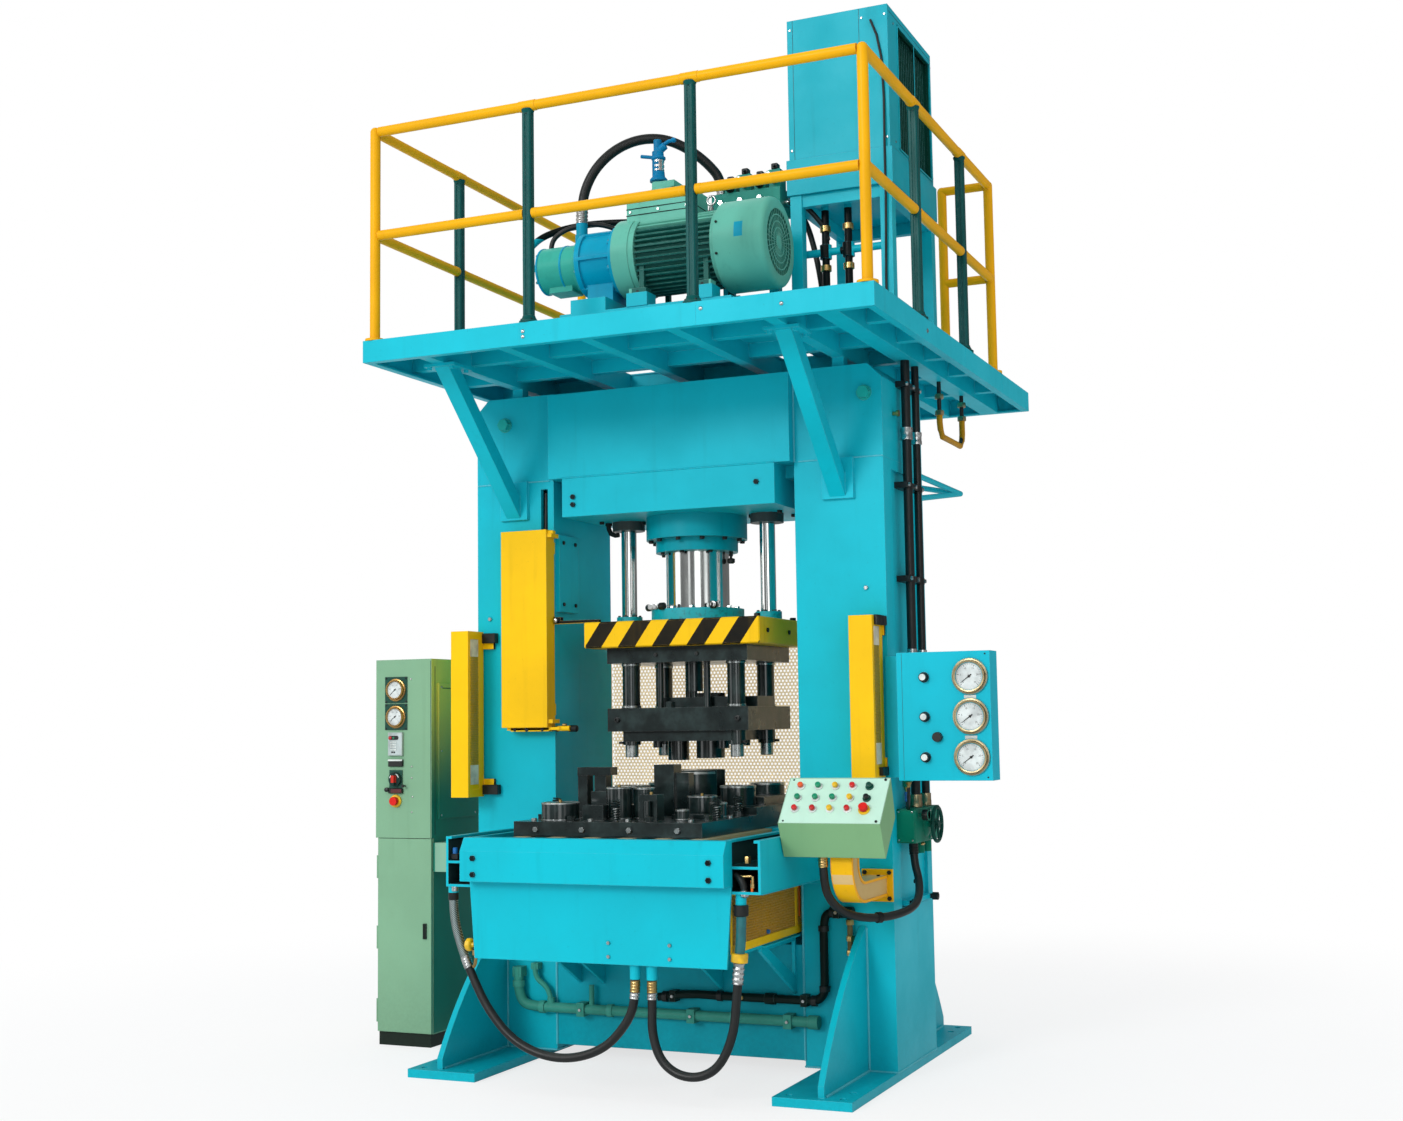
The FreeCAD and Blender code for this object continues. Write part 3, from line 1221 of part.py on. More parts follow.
# ---- valve manifold on two legs behind the motor, with the bent return pipe from the pump ----
def valve_manifold():
    x0, x1, y0, y1 = MANIFOLD_PLAN
    z0, z1 = manifold_low, manifold_top
    pieces = [box(x0, x1, y0, y1, z0, z1)]
    for x in (x0 + 60, x1 - 60):
        pieces.append(box(x - 25, x + 25, y0 + 50, y1 - 50, platform_top, z0))
        pieces.append(box(x - 60, x + 60, y0 + 15, y1 - 15, platform_top, platform_top + 14))
    for k, high in enumerate((64, 96, 70, 100)):
        x = x0 + 92 + k * 80
        pieces.append(box(x - 30, x + 30, y0 + 30, y1 - 40, z1, z1 + high))
        pieces.append(rod(20, (x, y0 + 40, z1 + high / 2), (x, y0 - 50, z1 + high / 2)))
    for k in range(3):
        x = x0 + 80 + k * 105
        pieces.append(rod(16, (x, y0, z0 + 60), (x, y0 - 70, z0 + 60)))
    return join(pieces)


pump_end_x = -END_FLANGE_THICK - BELL_LENGTH - PUMP_LENGTH
return_route = [
    (pump_end_x, -560, 3990), (-640, -560, 3990), (-718, -522, 4046), (-735, -455, 4130), (-700, -380, 4210),
    (-610, -310, 4262), (-490, -262, 4284), (-360, -236, 4284), (-225, -226, 4272), (-80, -222, 4264),
    (80, -224, 4262), (MANIFOLD_PLAN[0], -224, 4262),
]
return_pipe = tube(return_route, RETURN_PIPE_R, "return pipe")
save("valve_manifold", valve_manifold(), return_pipe)

pressure_route = [
    (PUMP_FITTING_X, MOTOR_Y, pump_fitting_top), (PUMP_FITTING_X, MOTOR_Y, 4275), (-318, -597, 4380),
    (-262, -576, 4482), (-178, -532, 4568), (-75, -478, 4618), (35, -415, 4622), (132, -345, 4578),
    (210, -275, 4510), (268, -225, 4424), (268, -225, manifold_top),
]
save("pressure_hose", tube(pressure_route, PRESSURE_HOSE_R, "pressure hose"))


# ---- oil cooler: sheet cabinet with a window on its right side, on a welded stand ----
def cooler_cabinet():
    x0, x1 = COOLER_X
    y0, y1 = COOLER_Y
    lip = COOLER_LIP
    pieces = [
        box(x0, x1, y0, y1, cooler_lip_top, cooler_top),
        box(x0 - lip, x1 + lip, y0 - lip, y1 + lip, cooler_bottom, cooler_lip_top),
    ]
    wall = COOLER_WALL
    inside = box(x0 + wall, x1 - wall, y0 + wall, y1 - wall, cooler_bottom + wall, cooler_top - wall)
    wy0, wy1 = COOLER_WINDOW[:2]
    wz0, wz1 = (cooler_bottom + rise for rise in COOLER_WINDOW[2:])
    window = box(x1 - wall - 1, x1 + 1, wy0, wy1, wz0, wz1)
    core = box(x1 - wall - 120, x1 - wall - 40, y0 + wall, y1 - wall, wz0 - 40, cooler_top - wall)
    fins = []
    pitch = (wy1 - wy0) / COOLER_FINS
    for k in range(COOLER_FINS):
        y = wy0 + (k + 0.5) * pitch
        fins.append(box(x1 - wall - 41, x1 - wall - 12, y - 4, y + 4, wz0, wz1))
    return join([join(pieces).cut([inside, window]), core] + fins)


save("cooler_cabinet", cooler_cabinet())


def cooler_stand():
    x0, x1 = COOLER_X
    y0, y1 = COOLER_Y
    leg = STAND_LEG
    pieces = []
    for x in (x0, x1 - leg):
        for y in (y0, y1 - leg):
            pieces.append(box(x, x + leg, y, y + leg, platform_top, cooler_bottom))
            pieces.append(box(x - 20, x + leg + 20, y - 20, y + leg + 20, platform_top, platform_top + 12))
    for z in (platform_top + 120, cooler_bottom - leg):
        for y in (y0, y1 - leg):
            pieces.append(box(x0, x1, y + 10, y + leg - 10, z, z + leg))
        for x in (x0, x1 - leg):
            pieces.append(box(x + 10, x + leg - 10, y0, y1, z, z + leg))
    pipe_y = y0 + 120
    for x in (x0 + 140, x0 + 260):
        pieces.append(rod(19, (x, pipe_y, platform_top), (x, pipe_y, cooler_bottom)))
        for z in (platform_top + 200, platform_top + 420):
            pieces.append(rod(30, (x, pipe_y, z), (x, pipe_y, z + 70)))
    pieces.append(rod(19, (x0 + 30, pipe_y, platform_top + 455), (x1 - 30, pipe_y, platform_top + 455)))
    return join(pieces)


save("cooler_stand", cooler_stand())


# ---- electrical cabinet: sheet case, hinged door below, instruments above ----
def dial(x, face_y, z, radius, plate=None):
    """Round gauge on a panel that faces -Y: flange, raised ring and glass."""
    pieces = [rod(radius, (x, face_y, z), (x, face_y - 10, z)),
              rod(radius * 0.86, (x, face_y - 10, z), (x, face_y - 24, z))]
    if plate:
        half = plate / 2
        pieces.append(box(x - half, x + half, face_y - 3, face_y, z - half, z + half))
    return join(pieces).cut(rod(radius * 0.74, (x, face_y - 16, z), (x, face_y - 25, z)))


def electrical_cabinet():
    x0, x1 = cabinet_x
    y0, y1 = cabinet_y
    wall = CABINET_WALL
    inset = CABINET_KICK_INSET
    case = box(x0, x1, y0, y1, CABINET_KICK, CABINET_TOP)
    inside = box(x0 + wall, x1 - wall, y0 + DOOR_THICK + DOOR_GAP, y1 - wall,
                 CABINET_KICK + wall, CABINET_TOP - wall)
    doorway = box(x0 + wall, x1 - wall, y0 - 1, y0 + DOOR_THICK + DOOR_GAP + 1,
                  CABINET_KICK + wall, CABINET_SEAM - 20)
    leaf_room = box(x0 - 1, x1 + 1, y0 - 1, y0 + DOOR_THICK + DOOR_GAP, CABINET_KICK - 1, CABINET_SEAM)
    face = y0
    half = 45
    pieces = [
        case.cut([inside, doorway, leaf_room]),
        box(x0 + inset, x1 - inset, y0 + inset, y1 - inset, 0, CABINET_KICK),
        box(INSTRUMENT_X - half, INSTRUMENT_X + half, face - 12, face, COUNTER_Z - 62, COUNTER_Z + 62),
        box(INSTRUMENT_X - half, INSTRUMENT_X + half, face - 10, face, DISPLAY_Z - 19, DISPLAY_Z + 19),
        box(INSTRUMENT_X - half + 5, INSTRUMENT_X + half - 5, face - 6, face, SWITCH_Z - 48, SWITCH_Z + 48),
        rod(32.5, (INSTRUMENT_X, face, CABINET_STOP_Z), (INSTRUMENT_X, face - 10, CABINET_STOP_Z)),
        box(x1, -post_outer, DUCT_Y[0], DUCT_Y[1], DUCT_Z[0], DUCT_Z[1]),
        box(x1, x1 + 10, y0 + SIDE_PANEL_INSET, y1 - SIDE_PANEL_INSET, SIDE_PANEL_Z[0], SIDE_PANEL_Z[1]),
    ]
    for z in CABINET_GAUGES:
        pieces.append(dial(INSTRUMENT_X, face, z, GAUGE_RING_R, GAUGE_PLATE))
    sockets = [
        rod(8 + FREE_GAP, (INSTRUMENT_X, face - 7, SWITCH_Z), (INSTRUMENT_X, face + 30, SWITCH_Z)),
        rod(9 + FREE_GAP, (INSTRUMENT_X, face - 11, CABINET_STOP_Z),
            (INSTRUMENT_X, face + 40, CABINET_STOP_Z)),
    ]
    return join(pieces).cut(sockets)


door_face = cabinet_y[0]
hinge_x = cabinet_x[0] + DOOR_GAP + HINGE_R
hinge_y = door_face + HINGE_R


def hinge_halves():
    """Fixed knuckles under the door's knuckles, each with the pin that the door turns on."""
    pieces = []
    for z in HINGE_Z:
        low = z - FREE_GAP - KNUCKLE
        pieces.append(rod(HINGE_R, (hinge_x, hinge_y, low), (hinge_x, hinge_y, z - FREE_GAP)))
        pieces.append(rod(HINGE_PIN_R, (hinge_x, hinge_y, low), (hinge_x, hinge_y, z + KNUCKLE)))
        pieces.append(box(hinge_x - HINGE_R, hinge_x + HINGE_R - 1,
                          hinge_y, door_face + DOOR_THICK + DOOR_GAP + 1, low, z - FREE_GAP))
    return pieces


save("electrical_cabinet", join([electrical_cabinet()] + hinge_halves()))

door_leaf = box(hinge_x + HINGE_R, cabinet_x[1] - DOOR_GAP, door_face, door_face + DOOR_THICK,
                CABINET_KICK + DOOR_GAP, CABINET_SEAM - DOOR_GAP)
knuckles = [rod(HINGE_R, (hinge_x, hinge_y, z), (hinge_x, hinge_y, z + KNUCKLE)) for z in HINGE_Z]
knuckle_tabs = [
    box(hinge_x, hinge_x + HINGE_R + 2, hinge_y - 3, hinge_y + 3, z, z + KNUCKLE) for z in HINGE_Z
]
pin_bores = [
    rod(HINGE_PIN_R + RUN_CLEAR, (hinge_x, hinge_y, z - 1), (hinge_x, hinge_y, z + KNUCKLE + 1))
    for z in HINGE_Z
]
latch = box(cabinet_x[1] - 50, cabinet_x[1] - 30, door_face - 8, door_face + 1, 560, 640)
save("cabinet_door", join([door_leaf, latch] + knuckles + knuckle_tabs).cut(pin_bores))

knob_y = cabinet_y[0] - 6
save("main_switch", join([
    rod(8, (INSTRUMENT_X, knob_y - 8, SWITCH_Z), (INSTRUMENT_X, cabinet_y[0] + 18, SWITCH_Z)),
    rod(37, (INSTRUMENT_X, knob_y - FREE_GAP, SWITCH_Z), (INSTRUMENT_X, knob_y - 14, SWITCH_Z)),
    box(INSTRUMENT_X - 9, INSTRUMENT_X + 9, knob_y - 34, knob_y - 13, SWITCH_Z - 33, SWITCH_Z + 33),
]))

stop_y = cabinet_y[0] - 10
save("cabinet_estop", join([
    rod(9, (INSTRUMENT_X, stop_y - BUTTON_TRAVEL - 2, CABINET_STOP_Z),
        (INSTRUMENT_X, cabinet_y[0] + 12, CABINET_STOP_Z)),
    rod(22.5, (INSTRUMENT_X, stop_y - BUTTON_TRAVEL - 1, CABINET_STOP_Z),
        (INSTRUMENT_X, stop_y - BUTTON_TRAVEL - 20, CABINET_STOP_Z)),
]))


# ---- gauge box on the right post: three dials, three regulator knobs and one black knob ----
def gauge_box():
    x0, x1 = gauge_box_x
    y0, y1 = GAUGE_BOX_Y
    z0, z1 = GAUGE_BOX_Z
    pieces = [
        box(x0, x1, y0, y1, z0, z1),
        box(post_outer - 8, x0 + 20, -half_depth - 20, -half_depth, z0 + 10, z1 - 10),
        box(post_outer, x0 + 120, -half_depth, 35 - half_depth, z0 + 60, z1 - 60),
    ]
    inside = box(x0 + 4, x1 - 4, y0 + 4, y1 - 4, z0 + 4, z1 - 4)
    dials = [dial(PANEL_GAUGE_X, y0, z, PANEL_GAUGE_R) for z in PANEL_GAUGES]
    knobs = []
    for z in PANEL_GAUGES:
        knobs.append(rod(PANEL_KNOB_R, (PANEL_KNOB_X, y0, z), (PANEL_KNOB_X, y0 - 8, z)))
        knobs.append(rod(PANEL_KNOB_R * 0.7, (PANEL_KNOB_X, y0 - 8, z), (PANEL_KNOB_X, y0 - 30, z)))
    knobs.append(rod(22, (PANEL_KNOB_X + 58, y0, PANEL_GAUGES[2] + 92),
                     (PANEL_KNOB_X + 58, y0 - 22, PANEL_GAUGES[2] + 92)))
    return join([join(pieces).cut(inside)] + dials + knobs)


save("gauge_box", gauge_box())


# ---- console: sloped box on a bent arm, fourteen push buttons and one stop button ----
front_top = V(0, *CONSOLE_PROFILE[0])
rear_top = V(0, *CONSOLE_PROFILE[1])
slope = rear_top - front_top
panel_length = slope.Length
slope_way = V(slope).normalize()
panel_out = V(0, -slope_way.z, slope_way.y)


def panel_spot(column, row):
    """Point on the sloped panel: column from the left edge, row down from its top edge."""
    x = CONSOLE_X[0] + (CONSOLE_X[1] - CONSOLE_X[0]) * column
    return V(x, 0, 0) + rear_top - slope_way * (panel_length * row)


def stem_socket(spot):
    return rod(BUTTON_STEM_R + FREE_GAP, spot + panel_out * (BEZEL_HIGH + 1), spot - panel_out * 34)


def console_box():
    shell = plate_yz(CONSOLE_PROFILE, *CONSOLE_X)
    wall = 3
    centre_y = sum(y for y, z in CONSOLE_PROFILE) / 4
    centre_z = sum(z for y, z in CONSOLE_PROFILE) / 4
    inner = []
    for y, z in CONSOLE_PROFILE:
        way = V(0, centre_y - y, centre_z - z)
        inner.append((y + way.y * 0.06, z + way.z * 0.06))
    hollow = plate_yz(inner, CONSOLE_X[0] + wall, CONSOLE_X[1] - wall)
    bezels = []
    sockets = []
    for row in BUTTON_ROWS:
        for column in BUTTON_COLUMNS:
            spot = panel_spot(column, row)
            last = row == BUTTON_ROWS[-1] and column == BUTTON_COLUMNS[-1]
            radius = BEZEL_R + 8 if last else BEZEL_R
            bezels.append(rod(radius, spot - panel_out, spot + panel_out * BEZEL_HIGH))
            sockets.append(stem_socket(spot))
    x, y, z = CONDUIT_START
    gland = rod(CONDUIT_GLAND_R, (x, y, z), (x, y, z + CONDUIT_GLAND))
    return join([shell, gland]).cut([hollow]).fuse(bezels).removeSplitter().cut(sockets)


save("console_box", console_box())


def push_button(spot, cap_r, cap_high):
    gap = BEZEL_HIGH + BUTTON_TRAVEL + 1
    return join([
        rod(BUTTON_STEM_R, spot - panel_out * BUTTON_STEM, spot + panel_out * (gap + 2)),
        rod(cap_r, spot + panel_out * gap, spot + panel_out * (gap + cap_high)),
    ])


for row_number, row_at in enumerate(BUTTON_ROWS, 1):
    for column_number, column_at in enumerate(BUTTON_COLUMNS, 1):
        button_spot = panel_spot(column_at, row_at)
        if row_number == len(BUTTON_ROWS) and column_number == len(BUTTON_COLUMNS):
            save("console_estop", push_button(button_spot, STOP_CAP_R, STOP_CAP_HIGH))
        else:
            node = f"push_button_{row_number}{column_number}"
            save(node, push_button(button_spot, BUTTON_CAP_R, BUTTON_CAP_HIGH))


def console_arm():
    """Square arm out of the post's front face, bent up to the underside of the console."""
    half = ARM_SIZE / 2
    x0, x1 = ARM_X - half, ARM_X + half
    turn_y = -ARM_FRONT + half
    level = box(x0, x1, turn_y + ARM_BEND_R, -half_depth, ARM_Z - half, ARM_Z + half)
    bend_centre = V(x0, turn_y + ARM_BEND_R, ARM_Z + half + ARM_BEND_R)
    bend = Part.makeCylinder(ARM_BEND_R + ARM_SIZE, ARM_SIZE, bend_centre, V(1, 0, 0))
    bend = bend.cut(Part.makeCylinder(ARM_BEND_R, ARM_SIZE, bend_centre, V(1, 0, 0)))
    quarter = box(x0, x1, turn_y - ARM_SIZE, turn_y + ARM_BEND_R, ARM_Z - half, ARM_Z + half + ARM_BEND_R)
    upright = box(x0, x1, turn_y - ARM_SIZE, turn_y, ARM_Z + half + ARM_BEND_R, CONSOLE_PROFILE[1][1])
    flange = box(ARM_X - 75, ARM_X + 75, -half_depth - 16, -half_depth, ARM_Z - 75, ARM_Z + 75)
    (fy, fz), (ry, rz) = CONSOLE_PROFILE[3], CONSOLE_PROFILE[2]
    rate = (rz - fz) / (ry - fy)
    front, back = -ARM_FRONT - ARM_SIZE, -half_depth
    trim = plate_yz([
        (front, 0), (back, 0), (back, fz + rate * (back - fy)), (front, fz + rate * (front - fy)),
    ], x0 - 1, x1 + 1)
    return join([level, bend.common(quarter), upright.common(trim), flange])


save("console_arm", console_arm())


# ---- valve block on the right post with its handwheel, and the hoses from the platform ----
def valve_block():
    x0, x1, y0, y1, z0, z1 = VALVE_BLOCK
    spindle = rod(16, (x1, WHEEL_Y, WHEEL_Z), (x1 + 22, WHEEL_Y, WHEEL_Z))
    knob = rod(24, (x1 + 20, WHEEL_Y - 130, z1 - 30), (x1 + 52, WHEEL_Y - 130, z1 - 30))
    knob_stem = rod(9, (x1, WHEEL_Y - 130, z1 - 30), (x1 + 22, WHEEL_Y - 130, z1 - 30))
    ports = [rod(22, (x0 + 45, y, z0), (x0 + 45, y, z0 - 60)) for y in (-30, 90)]
    body = join([box(x0, x1, y0, y1, z0, z1), spindle, knob, knob_stem] + ports)
    return body.cut(rod(8 + RUN_CLEAR, (x1 - 40, WHEEL_Y, WHEEL_Z), (x1 + 23, WHEEL_Y, WHEEL_Z)))


save("valve_block", valve_block())


def handwheel():
    """Round rim with spokes on a spindle along X."""
    hub_x0 = VALVE_BLOCK[1] + 22 + FREE_GAP
    rim = Part.makeTorus(WHEEL_R - WHEEL_RIM_R, WHEEL_RIM_R, V(WHEEL_X, WHEEL_Y, WHEEL_Z), V(1, 0, 0))
    pieces = [rim, rod(8, (VALVE_BLOCK[1] - 38, WHEEL_Y, WHEEL_Z), (WHEEL_X, WHEEL_Y, WHEEL_Z)),
              rod(18, (hub_x0, WHEEL_Y, WHEEL_Z), (WHEEL_X + 12, WHEEL_Y, WHEEL_Z))]
    for k in range(WHEEL_SPOKES):
        angle = 2 * math.pi * k / WHEEL_SPOKES
        reach = WHEEL_R - WHEEL_RIM_R
        tip = (WHEEL_X, WHEEL_Y + reach * math.cos(angle), WHEEL_Z + reach * math.sin(angle))
        pieces.append(rod(5, (WHEEL_X, WHEEL_Y, WHEEL_Z), tip))
    return join(pieces)


save("handwheel", handwheel())


def column_hoses():
    pieces = []
    for y, radius in COLUMN_HOSES:
        pieces.append(rod(radius, (COLUMN_HOSE_X, y, VALVE_BLOCK[5]), (COLUMN_HOSE_X, y, platform_bottom)))
        for z in (VALVE_BLOCK[5], HOSE_JOINT_Z):
            pieces.append(rod(radius + 6, (COLUMN_HOSE_X, y, z), (COLUMN_HOSE_X, y, z + 60)))
    for z in HOSE_CLAMPS:
        near = post_outer if z > POST_TOP - RECESS_TOP_INSET else post_outer - RECESS_DEPTH
        pieces.append(box(near, COLUMN_HOSE_X + 12, COLUMN_HOSES[0][0] - 40, COLUMN_HOSES[1][0] + 40,
                          z, z + 30))
    return join(pieces)


y_near, y_far, drain_drop = DRAIN_LOOP
loop_low = platform_bottom - drain_drop
drain_points = [
    (COLUMN_HOSE_X, y_near, platform_bottom), (COLUMN_HOSE_X, y_near, loop_low + 60),
    (COLUMN_HOSE_X, y_near + 50, loop_low), (COLUMN_HOSE_X, y_far - 50, loop_low),
    (COLUMN_HOSE_X, y_far, loop_low + 60), (COLUMN_HOSE_X, y_far, platform_bottom),
]
save("column_hoses", column_hoses(), tube(drain_points, DRAIN_R))


# ---- pipes along the bed: green suction line and black pressure line with their clamps ----
def bed_pipes():
    green_y = -half_depth - BED_PIPE_GAP - GREEN_PIPE_R
    black_y = -half_depth - BED_PIPE_GAP - BLACK_PIPE_R
    riser_x, riser_top = -GREEN_PIPE_END[0], GREEN_PIPE_END[1]
    green = tube([
        (riser_x, green_y, riser_top), (riser_x, green_y, GREEN_PIPE_Z + 74),
        (riser_x + 30, green_y, GREEN_PIPE_Z + 10),
        (riser_x + 120, green_y, GREEN_PIPE_Z), (750, green_y, GREEN_PIPE_Z),
    ], GREEN_PIPE_R)
    black = tube([
        (-85, black_y, BLACK_PIPE_Z - 20), (90, black_y, BLACK_PIPE_Z + 4), (260, black_y, BLACK_PIPE_Z),
        (735, black_y, BLACK_PIPE_Z), (776, black_y, BLACK_PIPE_Z + 28), (780, black_y, BLACK_PIPE_Z + 90),
        (780, black_y, BLACK_PIPE_TOP - 70), (792, black_y, BLACK_PIPE_TOP - 12),
        (835, black_y, BLACK_PIPE_TOP), (905, black_y, BLACK_PIPE_TOP),
    ], BLACK_PIPE_R)
    branches = [
        tube([
            (-770, green_y, 471), (-768, green_y, 400), (-700, green_y, 352), (-679, green_y, 296),
        ], BRANCH_R),
        rod(BRANCH_R + 6, (-679, green_y, GREEN_PIPE_Z), (-679, green_y, 304)),
        rod(BRANCH_R, (-450, green_y, GREEN_PIPE_Z), (-450, green_y, 376)),
        rod(BRANCH_R, (911, black_y, 576), (911, black_y, BLACK_PIPE_TOP)),
    ]
    unions = [
        rod(GREEN_PIPE_R + 7, (700, green_y, GREEN_PIPE_Z), (750, green_y, GREEN_PIPE_Z)),
        rod(BLACK_PIPE_R + 7, (480, black_y, BLACK_PIPE_Z), (530, black_y, BLACK_PIPE_Z)),
        rod(BLACK_PIPE_R + 7, (870, black_y, BLACK_PIPE_TOP), (930, black_y, BLACK_PIPE_TOP)),
    ]
    feet = []
    reach = GREEN_PIPE_R + 8
    for x in GREEN_PIPE_FEET:
        feet.append(box(x - 20, x + 20, green_y - reach, -half_depth,
                        GREEN_PIPE_Z - reach, GREEN_PIPE_Z + reach))
    for x, z in ((0, BLACK_PIPE_Z - 10), (680, BLACK_PIPE_Z), (850, BLACK_PIPE_TOP)):
        feet.append(box(x - 16, x + 16, black_y - BLACK_PIPE_R - 6, -half_depth, z - 27, z + 27))
    feet.append(box(riser_x - 25, riser_x + 25, green_y - 20, -half_depth, riser_top - 50, riser_top))
    feet.append(box(-790, -750, green_y - 8, -half_depth, 440, 471))
    return join([green, black] + branches + unions + feet)


save("bed_pipes", bed_pipes())


# ---- free hoses: two loops under the table and the conduit of the console ----
left_route = [
    LEFT_GLAND, (LEFT_GLAND[0], 790), (-736, 672), (-676, 528), (-584, 362), (-436, 218),
    (-218, 160), (0, 214), (128, 345), (HOSE_LEFT_END_X, 450), (HOSE_LEFT_END_X, HOSE_END_Z),
]
right_route = [
    RIGHT_GLAND, (RIGHT_GLAND[0], 765), (668, 625), (655, 480), (638, 324), (575, 188), (482, 130),
    (372, 132), (284, 193), (246, 312), (HOSE_RIGHT_END_X, 430), (HOSE_RIGHT_END_X, HOSE_END_Z),
]
save("left_loop_hose", tube([(x, -HOSE_PLANE, z) for x, z in left_route], HOSE_R, "left loop hose"))
save("right_loop_hose", tube([(x, -HOSE_PLANE, z) for x, z in right_route], HOSE_R, "right loop hose"))

conduit_route = [
    CONDUIT_START, (960, -850, 975), (966, -803, 880), (1000, -715, 812), (1060, -610, 778),
    (1130, -510, 772), (1182, -410, 782), (1208, -305, 800), (1210, -215, 838), (1195, -155, 910),
    (VALVE_BLOCK[0] + 45, -138, 1000), (VALVE_BLOCK[0] + 45, -138, VALVE_BLOCK[4]),
]
save("console_conduit", tube(conduit_route, CONDUIT_R, "console conduit"))
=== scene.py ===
import math

import bpy
import numpy as np
from mathutils import Matrix


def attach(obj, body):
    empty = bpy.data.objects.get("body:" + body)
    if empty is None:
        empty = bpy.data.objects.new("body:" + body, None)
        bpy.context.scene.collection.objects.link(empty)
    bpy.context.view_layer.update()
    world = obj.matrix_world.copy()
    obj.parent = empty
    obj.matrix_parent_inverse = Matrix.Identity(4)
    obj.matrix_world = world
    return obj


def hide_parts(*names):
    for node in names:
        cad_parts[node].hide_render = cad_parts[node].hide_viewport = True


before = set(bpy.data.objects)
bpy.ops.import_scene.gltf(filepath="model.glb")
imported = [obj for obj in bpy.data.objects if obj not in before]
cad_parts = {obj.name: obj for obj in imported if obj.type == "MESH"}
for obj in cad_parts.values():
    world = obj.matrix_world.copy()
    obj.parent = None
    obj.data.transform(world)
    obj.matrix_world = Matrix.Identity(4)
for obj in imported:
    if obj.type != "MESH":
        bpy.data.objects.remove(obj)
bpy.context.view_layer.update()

# ---- camera ----
# A person's eye height in front of the press, a little to its right. Place, turn and lens were solved
# from the photograph, whose frame is 1403 x 1121 pixels.
FRAME_PIXELS = 1403
FOCAL_PIXELS = 1739.79
SENSOR_MM = 36.0
EYE = (3.5979, -8.2339, 1.6764)
YAW, PITCH, ROLL = 0.4095, 0.0922, -0.0148

ahead = np.array([-math.sin(YAW) * math.cos(PITCH), math.cos(YAW) * math.cos(PITCH), math.sin(PITCH)])
level = np.array([math.cos(YAW), math.sin(YAW), 0.0])
upright = np.cross(level, ahead)
right = level * math.cos(ROLL) + upright * math.sin(ROLL)
up = upright * math.cos(ROLL) - level * math.sin(ROLL)
camera_data = bpy.data.cameras.new("camera")
camera_data.sensor_fit = "HORIZONTAL"
camera_data.sensor_width = SENSOR_MM
camera_data.lens = FOCAL_PIXELS / FRAME_PIXELS * SENSOR_MM
camera_data.clip_end = 60.0
camera = bpy.data.objects.new("camera", camera_data)
camera.matrix_world = Matrix([
    [right[k], up[k], -ahead[k], EYE[k]] for k in range(3)
] + [[0.0, 0.0, 0.0, 1.0]])
bpy.context.scene.collection.objects.link(camera)
bpy.context.scene.camera = camera
bpy.context.scene.view_settings.view_transform = "Standard"


# ---- directions and shader nodes ----
# Names for the six directions, as the press is seen from its front, and small functions that add nodes to a
# shader. Most give the socket that the next one takes.
UP, DOWN = (0, 0, 1), (0, 0, -1)
RIGHT, LEFT = (1, 0, 0), (-1, 0, 0)
BACK, FRONT = (0, 1, 0), (0, -1, 0)
ASLANT = (0.31, 0.95, 0.0)


def add(tree, kind, settings=(), **fed):
    """Adds a shader node. A keyword names an input, or iN its number, and is a value or the socket that
    feeds it."""
    node = tree.nodes.new("ShaderNode" + kind)
    for key, value in dict(settings).items():
        setattr(node, key, value)
    for key, value in fed.items():
        numbered = key[0] == "i" and key[1:].isdigit()
        socket = node.inputs[int(key[1:])] if numbered else node.inputs[key.replace("_", " ")]
        if isinstance(value, bpy.types.NodeSocket):
            tree.links.new(value, socket)
        else:
            socket.default_value = value
    return node


def calc(tree, operation, *values):
    """One step of arithmetic on sockets or numbers. All but MULTIPLY_ADD are held between 0 and 1."""
    fed = {f"i{k}": value for k, value in enumerate(values)}
    clamped = operation != "MULTIPLY_ADD"
    return add(tree, "Math", {"operation": operation, "use_clamp": clamped}, **fed).outputs[0]


def mixed(tree, mask, first, second):
    """Colour that runs from the first to the second as the mask runs from 0 to 1."""
    return add(tree, "Mix", {"data_type": "RGBA"}, i0=mask, i6=first, i7=second).outputs[2]


def ramp(tree, value, low, high, to_low=0.0, to_high=1.0):
    """Smooth step of a value from one range to another."""
    settings = {"interpolation_type": "SMOOTHSTEP"}
    return add(tree, "MapRange", settings, i0=value, i1=low, i2=high, i3=to_low, i4=to_high).outputs[0]


def noise(tree, place, scale, detail=3.0, rough=0.55):
    """Soft random pattern between 0 and 1."""
    return add(tree, "TexNoise", Vector=place, Scale=scale, Detail=detail, Roughness=rough).outputs[0]


def stretched(tree, place, stretch, detail=3.0):
    """The same pattern, drawn out along the axes with a small stretch."""
    return noise(tree, add(tree, "Mapping", i0=place, i3=stretch).outputs[0], 1.0, detail)


def vector(tree, operation, first, second=None, out=0):
    """One step of vector arithmetic. A measure such as a dot product or a length comes out of socket 1."""
    fed = {"i0": first} if second is None else {"i0": first, "i1": second}
    return add(tree, "VectorMath", {"operation": operation}, **fed).outputs[out]


def object_place(tree):
    """A point's place in the machine's own metres."""
    return add(tree, "TexCoord").outputs["Object"]


def height_of(tree, place):
    """The upward part of a vector."""
    return add(tree, "SeparateXYZ", i0=place).outputs[2]


def bump(tree, strength, distance, height, **normal):
    """Normal of a surface with fine relief."""
    return add(tree, "Bump", Strength=strength, Distance=distance, Height=height, **normal).outputs[0]


